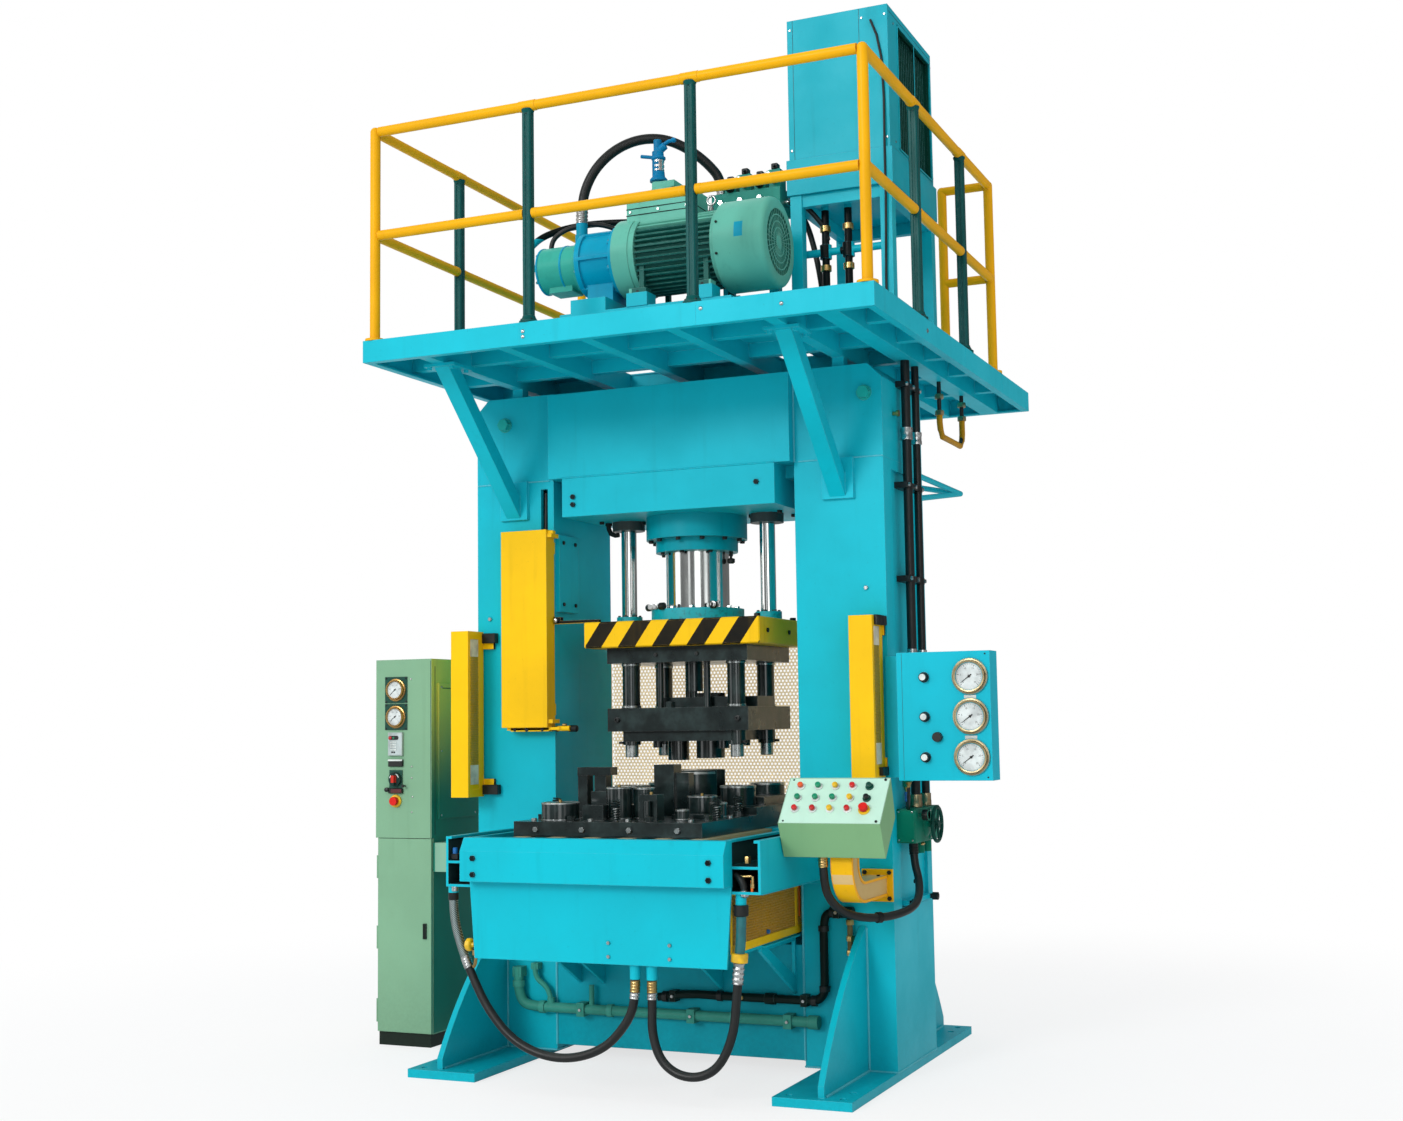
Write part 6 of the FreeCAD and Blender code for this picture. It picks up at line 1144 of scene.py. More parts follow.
cover_paint = painted("cover_green", SAGE, grime=0.4, clouds=0.4, zones=[
    ((0.568, None, 3.945), (0.612, -0.79, 4.018), (0.0, 0.33, 0.50, 1)),
])
shell = [(0.460, 0.2165), (0.460, 0.220), (0.690, 0.220), (0.703, 0.216), (0.711, 0.208), (0.715, 0.196),
         (0.715, 0.162), (0.711, 0.162), (0.711, 0.194), (0.700, 0.208), (0.688, 0.2165)]
cover_piece = make("fan_cover_shell", [turned(shell, AXIS, RIGHT, 64, True),
                                       fan_grille((0.032, 0.068, 0.100, 0.132, 0.1625), 36, 0.7145, 0.003),
                                       turned([(0, 0.0335), (0.0008, 0.0335), (0.0016, 0.030)],
                                              (0.7125, AXIS_Y, AXIS_Z), RIGHT, 36)],
                   cover_paint)
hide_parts("fan_cover")


def about_axis(x, radius, count, turn, across, high):
    """Hexagonal heads that face the pump, spaced evenly about the motor's axis from an angle in degrees."""
    angles = [math.radians(turn + 360 * k / count) for k in range(count)]
    return [hexed((x, AXIS_Y + radius * math.cos(a), AXIS_Z + radius * math.sin(a)), LEFT, across, high)
            for a in angles]


make("motor_bolts", about_axis(-0.088, 0.170, 6, 15, 0.022, 0.012)
     + [hexed((0.475, AXIS_Y + 0.222 * math.cos(a), AXIS_Z + 0.222 * math.sin(a)),
              (0, math.cos(a), math.sin(a)), 0.012, 0.006)
        for a in (math.radians(200), math.radians(340), math.radians(20), math.radians(160))]
     + [hexed((x, y, 3.735), UP, 0.022, 0.014) for x in (0.06, 0.40) for y in (-0.80, -0.40)], black_iron)
eye = np.arange(24) * 2 * math.pi / 24
make("motor_eye", [
    pipe(np.column_stack([0.365 + 0.022 * np.cos(eye), np.full(24, AXIS_Y), 4.205 + 0.022 * np.sin(eye)]),
         0.006, 12, ref=BACK, looped=True),
    turned([(0, 0.014), (0.020, 0.010), (0.028, 0.008)], (0.365, AXIS_Y, 4.155), UP, 16),
], plated)
gasket = [bead(loop_of(-0.041, 0.301, -0.711, -0.489, z), 0.0022, 0.5) for z in (4.150, 4.182)]
make("terminal_seams", gasket, black_iron)
make("terminal_screws", [hexed((x, -0.710, 4.166), FRONT, 0.012, 0.006) for x in (-0.02, 0.13, 0.28)]
     + [turned([(0, 0.017), (0.016, 0.017), (0.018, 0.012)], (-0.064, -0.655, 4.070), (0, -0.7, 0.7), 16)],
     plated)
VALVE_X = 0.084
make("terminal_coupling",
     [turned([(0, 0.024), (0.004, 0.029), (0.012, 0.029), (0.014, 0.026), (0.022, 0.026),
              (0.024, 0.029), (0.034, 0.029), (0.036, 0.026), (0.046, 0.026), (0.048, 0.029),
              (0.058, 0.029), (0.062, 0.024)], (VALVE_X, AXIS_Y, 4.386), UP, 24)], plated)
valve_blue = painted("valve_blue", (0.0, 0.20, 0.42, 1), grime=0.5)
make("terminal_valve", [
    turned([(0, 0.030), (0.006, 0.036), (0.014, 0.036), (0.020, 0.028), (0.040, 0.026), (0.062, 0.022)],
           (VALVE_X, AXIS_Y, 4.446), UP, 24),
    turned([(0, 0.012), (0.004, 0.020), (0.044, 0.020), (0.048, 0.012)], (VALVE_X, AXIS_Y, 4.492),
           (0.8, 0, 0.55), 20),
    turned([(0, 0.044), (0.010, 0.044), (0.024, 0.032), (0.048, 0.030)], (VALVE_X, AXIS_Y, 4.338), UP, 24),
], valve_blue)
make("terminal_handle",
     [pipe([(0.110, AXIS_Y, 4.520), (0.140, AXIS_Y, 4.536), (0.165, AXIS_Y, 4.538)], 0.009, 12),
      turned([(0, 0.010), (0.01, 0.014), (0.02, 0.010)], (0.158, AXIS_Y, 4.538), RIGHT, 12)],
     valve_blue)


# ---- bell housing, pump and motor base ----
# Blue cast bell between motor and pump, a grey-green pump with a blue port block, and a turquoise welded
# base.
bell_paint = painted("bell_blue", (0.0, 0.36, 0.56, 1), grime=0.5)
dress(bell_paint, "bell_housing")
dress(painted("pump_green", (0.045, 0.43, 0.34, 1), grime=0.45, zones=[
    ((-0.41, None, 4.055), (-0.28, None, None), (0.0, 0.30, 0.46, 1)),
]), "pump")
dress(painted("base_enamel", ENAMEL, clouds=0.35), "motor_base")
make("bell_bolts", about_axis(-0.110, 0.166, 8, 20, 0.020, 0.012)
     + about_axis(-0.312, 0.132, 8, 22, 0.018, 0.014)
     + about_axis(-0.562, 0.096, 4, 45, 0.014, 0.008), plated)
make("pump_bands", [turned([(0, 0.1155), (0.002, 0.119), (0.010, 0.119), (0.012, 0.1155)],
                           (x, AXIS_Y, AXIS_Z), RIGHT, 48) for x in (-0.420, -0.552)], bell_paint)
DRAIN = [(-0.520, -0.600, 4.068), (-0.520, -0.600, 4.105), (-0.480, -0.594, 4.150), (-0.400, -0.575, 4.182),
         (-0.300, -0.545, 4.190), (-0.215, -0.505, 4.170), (-0.160, -0.470, 4.125), (-0.150, -0.465, 4.060)]
make("pump_drain_fitting", [turned([(0, 0.016), (0.018, 0.016), (0.020, 0.012), (0.030, 0.012)],
                                   (-0.520, -0.600, 4.048), UP, 16),
                            turned([(0, 0.018), (0.034, 0.018), (0.038, 0.013)], (-0.150, -0.465, 4.030),
                                   UP, 16)], black_iron)
make("pump_drain_tube", [pipe(centreline("drain_line", DRAIN)[0], 0.0125, 16, ref=ASLANT)], rubber)


# ---- valve manifold ----
# Green block with four solenoid valves and three small valves; each coil has a black plug, a ribbed end
# and a plated nut. Black return tubes bend behind the motor, and short black hoses drop to the cooler's
# stand.
dress(painted("manifold_green", (0.01, 0.27, 0.21, 1), grime=0.6, zones=[
    ((None, None, None), (0.2395, None, None), BLACK_PAINT),
    ((None, None, None), (None, None, 4.196), (0.0, 0.36, 0.45, 1)),
]), "valve_manifold")
dress(painted("stand_enamel", ENAMEL, zones=[
    ((x0, -0.20, 3.56), (x1, -0.14, 4.21), BLACK_PAINT) for x0, x1 in ((0.778, 0.822), (0.880, 0.942))
]), "cooler_stand")
MANIFOLD_TOP = 4.330
COIL_HEIGHTS = (0.064, 0.096, 0.070, 0.100)
coil_ends, plugs, nuts = [], [], []
for k, high in enumerate(COIL_HEIGHTS):
    x, z, top = 0.332 + 0.08 * k, MANIFOLD_TOP + high / 2, MANIFOLD_TOP + high
    coil_ends += [turned([(0, 0.019), (0.001, 0.023), (0.007, 0.023), (0.008, 0.019)], (x, y, z), FRONT, 24)
                  for y in (-0.268, -0.282, -0.296, -0.310)]
    plugs.append(block((x - 0.017, -0.275, top), (x + 0.017, -0.235, top + 0.030), 0.003))
    plugs.append(turned([(0, 0.007), (0.020, 0.007)], (x, -0.275, top + 0.014), FRONT, 10))
    nuts.append(hexed((x, -0.350, z), FRONT, 0.020, 0.012))
for x in (0.320, 0.425, 0.530):
    nuts.append(hexed((x, -0.370, 4.260), FRONT, 0.026, 0.014))
    nuts.append(turned([(0, 0.018), (0.010, 0.018)], (x, -0.318, 4.260), FRONT, 20))
make("manifold_coils", coil_ends, black_iron)
make("manifold_plugs", plugs, black_iron)
make("manifold_nuts", nuts, plated)
ARC = [(0.610, -0.225, 4.262), (0.660, -0.225, 4.262), (0.715, -0.222, 4.235), (0.760, -0.200, 4.180),
       (0.800, -0.170, 4.120), (0.812, -0.170, 4.060)]
DROP = [(0.520, -0.150, 4.300), (0.540, -0.110, 4.310), (0.600, -0.060, 4.290), (0.650, -0.030, 4.210),
        (0.690, -0.020, 4.060), (0.720, -0.015, 3.880), (0.735, -0.010, 3.700), (0.740, -0.010, 3.545)]
make("manifold_tubes", [pipe(centreline("arc_line", ARC)[0], 0.013, 16, ref=(0.31, 0.95, 0.2)),
                        pipe(centreline("drop_line", DROP)[0], 0.015, 16, ref=(0.31, 0.95, 0.2))], rubber)
make("manifold_unions", [
    turned([(0, 0.014), (0.002, 0.020), (0.026, 0.020), (0.028, 0.014)], (0.606, -0.225, 4.262), RIGHT, 16),
    hexed((0.520, -0.154, 4.300), BACK, 0.034, 0.022),
    turned([(0, 0.021), (0.02, 0.021), (0.022, 0.017)], (0.740, -0.010, 3.545), UP, 16),
], plated)
make("stand_unions", [
    turned([(0, 0.019), (0.002, 0.027), (0.030, 0.027), (0.032, 0.019)], (x, -0.170, z), UP, 16)
    for x in (0.800, 0.920) for z in (3.640, 3.900, 4.100)
], brass)


# ---- oil cooler ----
# Folded sheet case with pressed seams, an open window before the dark core and its fins, and a black
# conduit down its right front edge.
dress(painted("cooler_enamel", (0.001, 0.40, 0.50, 1), clouds=0.45, zones=[
    ((0.664, -0.286, 4.28), (1.179, 0.461, 5.164), (0.004, 0.065, 0.045, 1)),
]), "cooler_cabinet")
make("cooler_seams", [
    block((x0, -0.2908, z0), (x1, -0.2895, z1), 0.0002)
    for x0, z0, x1, z1 in ((0.6885, 4.452, 0.6905, 5.168), (1.0370, 4.452, 1.0390, 5.168),
                           (0.673, 4.4508, 1.172, 4.4535))
] + [block((1.1838, -0.270, z), (1.1856, 0.455, z + 0.0025), 0.0002) for z in (5.140, 4.462)], black_iron)
make("cooler_frame", [
    block((1.184, -0.136, 4.479), (1.1885, 0.446, 4.489)),
    block((1.184, -0.136, 5.111), (1.1885, 0.446, 5.121)),
    block((1.184, -0.136, 4.479), (1.1885, -0.126, 5.121)),
    block((1.184, 0.436, 4.479), (1.1885, 0.446, 5.121)),
    block((1.184, 0.150, 4.485), (1.1875, 0.158, 5.115)),
], turquoise)
screw = [(0, 0.006), (0.003, 0.006), (0.0035, 0.003)]
make("cooler_screws",
     [turned(screw, (1.185, y, z), RIGHT, 10) for y in (-0.20, 0.452) for z in (4.50, 4.80, 5.10)]
     + [turned(screw, (x, -0.290, z), FRONT, 10)
        for x in (0.675, 1.052, 1.170) for z in (4.50, 5.12)], plated)
CONDUIT_DOWN = [(1.100, -0.297, 5.100), (1.130, -0.297, 5.020), (1.152, -0.297, 4.90),
                (1.160, -0.297, 4.70), (1.160, -0.306, 4.45), (1.160, -0.306, 4.20),
                (1.150, -0.300, 3.80), (1.150, -0.300, 3.546)]
make("cooler_conduit", [pipe(CONDUIT_DOWN, 0.006, 10, ref=ASLANT)], rubber)


# ---- electrical cabinet ----
# Sheet cabinet with pale green paint; its right flank is painted olive above, a painted yellow
# reflection, and dark green below, painted shade. On its front: two gauges on dark plates, a counter with
# keys, a display, the main switch, a small key block and a red stop on a yellow disc.
CABINET = (0.215, 0.408, 0.258, 1)
FACE_Y, INSTRUMENT_X = -0.316, -1.632
FACE_SKIN = FACE_Y - 0.0002
CABINET_ZONES = [
    # the right flank, dark green: painted shade
    ((-1.4125, None, 0.075), (-1.385, None, None), (0.012, 0.210, 0.145, 1)),
    ((-1.4015, None, 0.900), (None, None, 1.07), (0.24, 0.46, 0.33, 1)),
    ((None, None, None), (None, None, 0.069), (0.010, 0.014, 0.012, 1)),
    ((-1.703, None, 1.653), (-1.561, FACE_SKIN, 1.939), (0.018, 0.070, 0.052, 1)),
    ((-1.680, None, 1.517), (-1.584, FACE_SKIN, 1.643), (0.40, 0.50, 0.46, 1)),
    ((-1.680, None, 1.459), (-1.584, FACE_SKIN, 1.499), (0.010, 0.020, 0.022, 1)),
    ((-1.676, None, 1.345), (-1.590, FACE_SKIN, 1.443), (0.020, 0.080, 0.060, 1)),
    ((-1.670, None, 1.240), (-1.594, FACE_SKIN, 1.315), (0.90, 0.55, 0.005, 1)),
]
cabinet_paint = painted("cabinet_green", CABINET, zones=CABINET_ZONES, clouds=0.35, highlight_wear=0.3, grime=0.3)
# the right side is painted olive at the top, a painted yellow reflection, and runs to the dark green of
# its painted shade by the middle of its panel
tree = cabinet_paint.node_tree
under = tree.nodes["Group"].inputs["Paint"]
flank = zone(tree, (-1.4125, None, 1.2), (-1.385, None, None))
painted_yellow_reflection = calc(tree, "MULTIPLY", flank, ramp(tree, height_of(tree, object_place(tree)), 1.25, 1.95))
tree.links.new(mixed(tree, painted_yellow_reflection, under.links[0].from_socket, (0.72, 0.74, 0.13, 1)), under)
dress(cabinet_paint, "electrical_cabinet")
dress(painted("door_green", CABINET, clouds=0.35, highlight_wear=0.3, grime=0.35, zones=[
    ((-1.470, None, 0.550), (-1.435, FACE_Y - 0.0005, 0.650), (0.010, 0.014, 0.012, 1)),
]), "cabinet_door")
dial_face = plastic("dial_face", (0.72, 0.78, 0.77, 1))
dial_face.node_tree.nodes["Principled BSDF"].inputs["Coat Weight"].default_value = 0.6
orange_brass = plain_metal("orange_brass", (0.70, 0.40, 0.13, 1), 0.26)
dull_brass = plain_metal("dull_brass", (0.52, 0.42, 0.24, 1), 0.34)


def slab(outline, y_back, y_front):
    """Flat shape on a panel that faces -Y: an outline of (x, z) corners, counter-clockwise seen from the
    front, given thickness."""
    flat = np.asarray(outline, float)
    return skin([np.column_stack([flat[:, 0], np.full(len(flat), y), flat[:, 1]])
                 for y in (y_back, y_front)])


def figures(entries, y):
    """Raised numbers on a panel that faces -Y, each given as (text, centre x, centre z, height)."""
    shapes = []
    for text, x, z, high in entries:
        curve = bpy.data.curves.new("figure", "FONT")
        curve.body = text
        curve.size = high
        curve.align_x = "CENTER"
        curve.align_y = "CENTER"
        curve.extrude = 0.0002
        curve.resolution_u = 2
        letter = bpy.data.objects.new("figure", curve)
        bpy.context.scene.collection.objects.link(letter)
        mesh = bpy.data.meshes.new_from_object(letter)
        bpy.data.objects.remove(letter)
        flat = np.array([vertex.co for vertex in mesh.vertices])
        spots = np.column_stack([x + flat[:, 0], y - flat[:, 2], z + flat[:, 1]])
        shapes.append((spots, [np.array([list(face.vertices)]) for face in mesh.polygons]))
    return shapes


rings = {"orange": [], "dull": []}
faces, marks, needles = [], [], []


def needle(spot, degrees, spine, back_y, front_y):
    """Flat pointer on a panel that faces -Y: each (reach, half width) of its spine lies that far from the
    spot along the angle."""
    out = np.array([math.cos(math.radians(degrees)), math.sin(math.radians(degrees))])
    across = np.array([-out[1], out[0]])
    (near, near_half), (far, far_half) = spine
    return slab([spot + out * near - across * near_half, spot + out * far - across * far_half,
                 spot + out * far + across * far_half, spot + out * near + across * near_half], back_y,
                 front_y)


def gauge(x, y, z, radius, ring, top, pointer):
    """Pressure gauge over the plain ring of the panel: stepped brass ring, white dial with 5 marks a
    number from 225 degrees round to -45, numbers up to top, and a tapered needle at the pointer's
    angle."""
    r = radius
    rings[ring].append(turned([
        (0.0, r + 0.0006), (0.0085, r + 0.0006), (0.0104, r - 0.002), (0.0108, 0.885 * r), (0.0230, 0.875 * r),
        (0.0246, 0.855 * r), (0.0246, 0.770 * r), (0.0228, 0.738 * r), (0.0163, 0.738 * r),
    ], (x, y, z), FRONT, 56))
    faces.append(turned([(0, 0.735 * r), (0.0007, 0.735 * r)], (x, y - 0.0161, z), FRONT, 56))
    level_y = y - 0.0168
    spot = np.array([x, z])
    numbers = []
    for k in range(26):
        degrees = 225 - 270 * k / 25
        long, half = (0.10, 0.012) if k % 5 == 0 else (0.05, 0.006)
        marks.append(needle(spot, degrees, (((0.68 - long) * r, half * r), (0.68 * r, half * r)),
                            level_y + 0.0002, level_y - 0.0003))
        if k % 5 == 0:
            a = math.radians(degrees)
            numbers.append((f"{top * k / 25:g}", x + math.cos(a) * r * 0.47, z + math.sin(a) * r * 0.47,
                            r * 0.14))
    marks.extend(figures(numbers, level_y))
    needles.append(needle(spot, pointer, ((-0.16 * r, 0.035 * r), (0.60 * r, 0.008 * r)), level_y - 0.0012,
                          level_y - 0.0020))
    needles.append(turned([(0, 0.075 * r), (0.0020, 0.075 * r), (0.0028, 0.055 * r)], (x, level_y, z),
                          FRONT, 20))


CABINET_GAUGES = ((1.868, 222), (1.724, 218))
for z, pointer in CABINET_GAUGES:
    gauge(INSTRUMENT_X, FACE_Y, z, 0.0605, "orange", 1.0, pointer)
make("cabinet_gauge_screws", [turned([(0, 0.005), (0.003, 0.005), (0.0035, 0.002)],
                                     (INSTRUMENT_X + x, FACE_Y - 0.003, z + up), FRONT, 10)
                              for z, pointer in CABINET_GAUGES for x in (-0.062, 0.062)
                              for up in (-0.062, 0.062)], black_iron)
red_plastic = plastic("red_plastic", (0.62, 0.012, 0.012, 1), 0.33)
green_plastic = plastic("green_plastic", (0.005, 0.27, 0.13, 1), 0.33)
dark_green_plastic = plastic("dark_green_plastic", (0.004, 0.075, 0.05, 1), 0.33)
black_plastic = plastic("black_plastic", (0.008, 0.010, 0.010, 1))
white_plastic = plastic("white_plastic", (0.74, 0.80, 0.77, 1), 0.38)
grey_plastic = plastic("grey_plastic", (0.48, 0.56, 0.56, 1), 0.45)


def stud(spot, radius, high, way=FRONT, sides=20):
    """Small domed button or screw head."""
    return turned([(0, radius), (high * 0.6, radius), (high * 0.9, radius * 0.8), (high, radius * 0.45)],
                  spot, way, sides)


COUNTER_Y = FACE_Y - 0.012
make("counter_plate",
     [block((-1.6745, COUNTER_Y - 0.002, 1.522), (-1.5895, COUNTER_Y + 0.001, 1.638), 0.0008)],
     grey_plastic)
make("counter_window", [slab([(-1.672 + 0.0085 + 0.0085 * math.cos(a) + (0.045 if math.cos(a) > 0 else 0),
                               1.613 + 0.011 * math.sin(a)) for a in np.arange(24) * math.pi / 12 + 0.1],
                             COUNTER_Y - 0.001, COUNTER_Y - 0.0035)], black_plastic)
make("counter_red", [stud((-1.661, COUNTER_Y - 0.0034, 1.613), 0.009, 0.004)], red_plastic)
make("counter_green", [stud((-1.640, COUNTER_Y - 0.0034, 1.613), 0.0055, 0.003)], green_plastic)
make("counter_keys", [block((x, COUNTER_Y - 0.0045, z), (x + 0.010, COUNTER_Y - 0.001, z + 0.009), 0.0012)
                      for x in (-1.660, -1.647, -1.634) for z in (1.546, 1.559, 1.572, 1.585)],
     white_plastic)
make("counter_marks",
     [block((x, COUNTER_Y - 0.0040, 1.532), (x + 0.010, COUNTER_Y - 0.001, 1.541), 0.001)
      for x in (-1.654, -1.641)]
     + [block((-1.676, FACE_Y - 0.0135, 1.461), (-1.588, FACE_Y - 0.0095, 1.489), 0.002)], black_plastic)
make("display_hood", [block((-1.677, FACE_Y - 0.0150, 1.489), (-1.587, FACE_Y - 0.0090, 1.4985), 0.002)],
     white_plastic)
# the main switch: dark round body, pale half ring and red lever
dress(painted("switch_plastic", (0.012, 0.040, 0.034, 1), highlight_wear=0.2, grime=0.2, zones=[
    ((INSTRUMENT_X - 0.012, None, 1.376), (INSTRUMENT_X + 0.012, -0.3355, 1.414), (0.60, 0.035, 0.020, 1)),
]), "main_switch")
make("switch_ring",
     [pipe([(INSTRUMENT_X + 0.028 * math.cos(a), FACE_Y - 0.0205, 1.394 + 0.028 * math.sin(a))
            for a in np.linspace(0.3, 2.9, 16)], 0.0035, 8, ref=BACK)], white_plastic,
     body="main_switch")
make("key_block", [block((-1.672, FACE_Y - 0.016, 1.318), (-1.588, FACE_Y, 1.346), 0.002),
                   turned([(0, 0.012), (0.022, 0.012), (0.024, 0.009)], (-1.682, FACE_Y, 1.338), FRONT, 16),
                   turned([(0, 0.004), (0.018, 0.004), (0.019, 0.008), (0.030, 0.008)],
                          (-1.575, FACE_Y, 1.358), FRONT, 12)], black_plastic)
make("key_block_face", [block((-1.655, FACE_Y - 0.0175, 1.322), (-1.590, FACE_Y - 0.0155, 1.342), 0.0005)],
     plastic("dark_red_plastic", (0.10, 0.008, 0.012, 1), 0.4))
stop_red = painted("stop_red", (0.66, 0.018, 0.014, 1), clouds=0.15, highlight_wear=0.1, grime=0.1)
dress(stop_red, "cabinet_estop", "console_estop")
make("cabinet_stop_rim", [turned([(0, 0.0335), (0.009, 0.0335), (0.0112, 0.031), (0.0112, 0.012)],
                                 (INSTRUMENT_X, FACE_Y, 1.278), FRONT, 36)], yellow_plastic)
make("cabinet_seams", [
    block((-1.4185, FACE_Y - 0.0006, 1.085), (-1.4155, FACE_Y + 0.001, 2.020), 0.0002),
    block((-1.4118, -0.285, 1.100), (-1.4106, -0.281, 1.990), 0.0002),
    block((-1.4026, -0.225, 1.872), (-1.4014, 0.100, 1.876), 0.0002),
], black_plastic)
make("cabinet_screws", [stud((x, FACE_Y, z), 0.005, 0.003, sides=10) for x, z in (
    (-1.540, 1.925), (-1.535, 1.46), (-1.535, 1.40), (-1.530, 1.30), (-1.535, 1.22))]
     + [hexed((-1.402, y, z), RIGHT, 0.010, 0.004) for y in (-0.235, 0.105) for z in (1.20, 1.54, 1.88)],
     plated)
make("cabinet_top_edge", [block((-1.7595, -0.3155, 2.0165), (-1.4125, 0.1835, 2.0295), 0.003)],
     painted("cabinet_cap", (0.25, 0.48, 0.32, 1), highlight_wear=0.3))


# ---- gauge box ----
# Turquoise sheet box beside the right post with three large gauges in dull brass rings, three black knobs
# with white faces and one black knob; the small tags over two gauges are bare.
BOX_Y = -0.450
GAUGE_Z = (1.864, 1.682, 1.497)
dress(painted("box_enamel", (0.004, 0.47, 0.60, 1), clouds=0.35, zones=[
    ((1.300, None, low), (1.365, BOX_Y - 0.0003, high), (0.010, 0.030, 0.035, 1))
    for low, high in ((1.830, 1.900), (1.650, 1.715), (1.465, 1.530))
] + [
    ((1.360, None, 1.560), (1.420, BOX_Y - 0.0003, 1.620), (0.008, 0.012, 0.012, 1)),
]), "gauge_box")
for z in GAUGE_Z:
    gauge(1.546, BOX_Y, z, 0.084, "dull", 25, 216)
make("gauge_rings_orange", rings["orange"], orange_brass)
make("gauge_rings_dull", rings["dull"], dull_brass)
make("gauge_faces", faces, dial_face)
make("gauge_marks", marks, black_plastic, crease=20)
make("gauge_needles", needles, black_plastic)
make("box_knobs",
     [turned([(0, 0.0185), (0.0005, 0.0195), (0.0215, 0.0195), (0.023, 0.0180), (0.023, 0.0155)],
             (1.330, BOX_Y - 0.0085, z), FRONT, 12) for z in GAUGE_Z]
     + [turned([(0, 0.0235), (0.004, 0.0235), (0.005, 0.0225), (0.021, 0.0225), (0.0235, 0.019),
                (0.0235, 0.010)], (1.388, BOX_Y, 1.589), FRONT, 14)], black_plastic)
make("box_knob_faces",
     [turned([(0, 0.0150), (0.0015, 0.0150), (0.0022, 0.0140)], (1.330, BOX_Y - 0.0313, z),
             FRONT, 28) for z in GAUGE_Z], white_plastic)
make("box_tags", [block((1.516, BOX_Y - 0.0012, z + 0.082), (1.572, BOX_Y, z + 0.097), 0.0004)
                  for z in GAUGE_Z[1:]], white_plastic)
make("box_lines", [block((1.2225, BOX_Y - 0.0005, 1.395), (1.2240, BOX_Y + 0.0005, 1.975), 0.0001)],
     black_plastic)
make("box_screws", [stud((1.618, BOX_Y, z), 0.004, 0.002, sides=10) for z in (1.965, 1.405)], black_iron)
make("box_nuts", [turned([(0, 0.020), (0.002, 0.029), (0.018, 0.029), (0.020, 0.024), (0.034, 0.024)],
                         (1.160, y, 1.978), UP, 20) for y in (-0.060, 0.110)], plated)


# ---- console ----
# Sloped sheet box with a pale panel and mint sides on a bent yellow arm; the sides' darker mint is
# painted shade. Each push button has a white collar and a coloured cap with a soft dome; the stop is a
# red mushroom on a yellow collar.
PANEL_TOP = np.array([0.0, -0.800, 1.415])
PANEL_DOWN = np.array([0.0, -0.661, -0.7504])
PANEL_OUT = np.array([0.0, -0.7504, 0.661])
PANEL_LONG = 0.2572
CONSOLE_LEFT, CONSOLE_WIDE = 0.794, 0.474
# the buttons' places as shares of the panel's width and length; button 24 is the fourth of the second row
COLUMNS = (0.135, 0.312, 0.482, 0.652, 0.815)
ROWS = (0.20, 0.457, 0.70)


def on_panel(column, row, high=0.0):
    """Point of the console's panel from shares of its width and length, raised above it."""
    return (np.array([CONSOLE_LEFT + CONSOLE_WIDE * column, 0, 0]) + PANEL_TOP
            + PANEL_DOWN * PANEL_LONG * row + PANEL_OUT * high)


def facing_out(tree):
    """Mask of surfaces that face the same way as the console's panel."""
    normal = add(tree, "NewGeometry").outputs["Normal"]
    return ramp(tree, vector(tree, "DOT_PRODUCT", normal, PANEL_OUT, out=1), 0.90, 0.98)


MINT_PAINTED_SHADE, PANEL_MINT = (0.205, 0.405, 0.200, 1), (0.52, 0.77, 0.63, 1)
console_paint = painted("console_mint", MINT_PAINTED_SHADE, clouds=0.2, highlight_wear=0.25, grime=0.2)
tree = console_paint.node_tree
# pale where a face looks the panel's way; the sides' darker mint is painted shade
link(tree, tree.nodes["Group"], Paint=mixed(tree, facing_out(tree), MINT_PAINTED_SHADE, PANEL_MINT))
dress(console_paint, "console_box")
CAPS = {11: "orange", 12: "green", 13: "yellow", 14: "red", 15: "dark", 21: "green", 22: "green",
        23: "green", 24: "yellow", 25: "black", 31: "red", 32: "red", 33: "yellow", 34: "red"}
CAP_FINISH = {"orange": (plastic("orange_cap", (0.80, 0.10, 0.02, 1), 0.33), "button_orange"),
              "green": (green_plastic, "button_green"), "yellow": (yellow_plastic, "button_yellow"),
              "red": (red_plastic, "button_red"), "dark": (dark_green_plastic, "button_green"),
              "black": (black_plastic, "black_plastic")}
collars, dark_collars = [], []
for number, kind in CAPS.items():
    column, row = COLUMNS[number % 10 - 1], ROWS[number // 10 - 1]
    collar_shape = turned([(0, 0.0185), (0.0058, 0.0185), (0.0074, 0.0165), (0.0074, 0.0100)],
                          on_panel(column, row), PANEL_OUT, 32)
    (dark_collars if kind in ("black", "dark") else collars).append(collar_shape)
    cap = make(f"button_cap_{number}", [
        turned([(-0.016, 0.009), (0.0110, 0.009), (0.0112, 0.0122), (0.0118, 0.0126), (0.0215, 0.0126),
                (0.0240, 0.0115), (0.0256, 0.0085), (0.0262, 0.004)], on_panel(column, row), PANEL_OUT, 32),
    ], CAP_FINISH[kind][0], body=f"push_button_{number}")
    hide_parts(f"push_button_{number}")
make("button_collars", collars, white_plastic)
make("button_collars_dark", dark_collars, dark_green_plastic)
STOP_AT = (COLUMNS[4], ROWS[2])
make("stop_collar", [turned([(0, 0.0265), (0.0058, 0.0265), (0.0076, 0.0245), (0.0076, 0.0100)],
                            on_panel(*STOP_AT), PANEL_OUT, 36)], yellow_plastic)
make("stop_cap_top", [turned([(0, 0.0203), (0.004, 0.0203), (0.0050, 0.0195)],
                             on_panel(*STOP_AT, 0.0145), PANEL_OUT, 36)], red_plastic,
     body="console_stop")
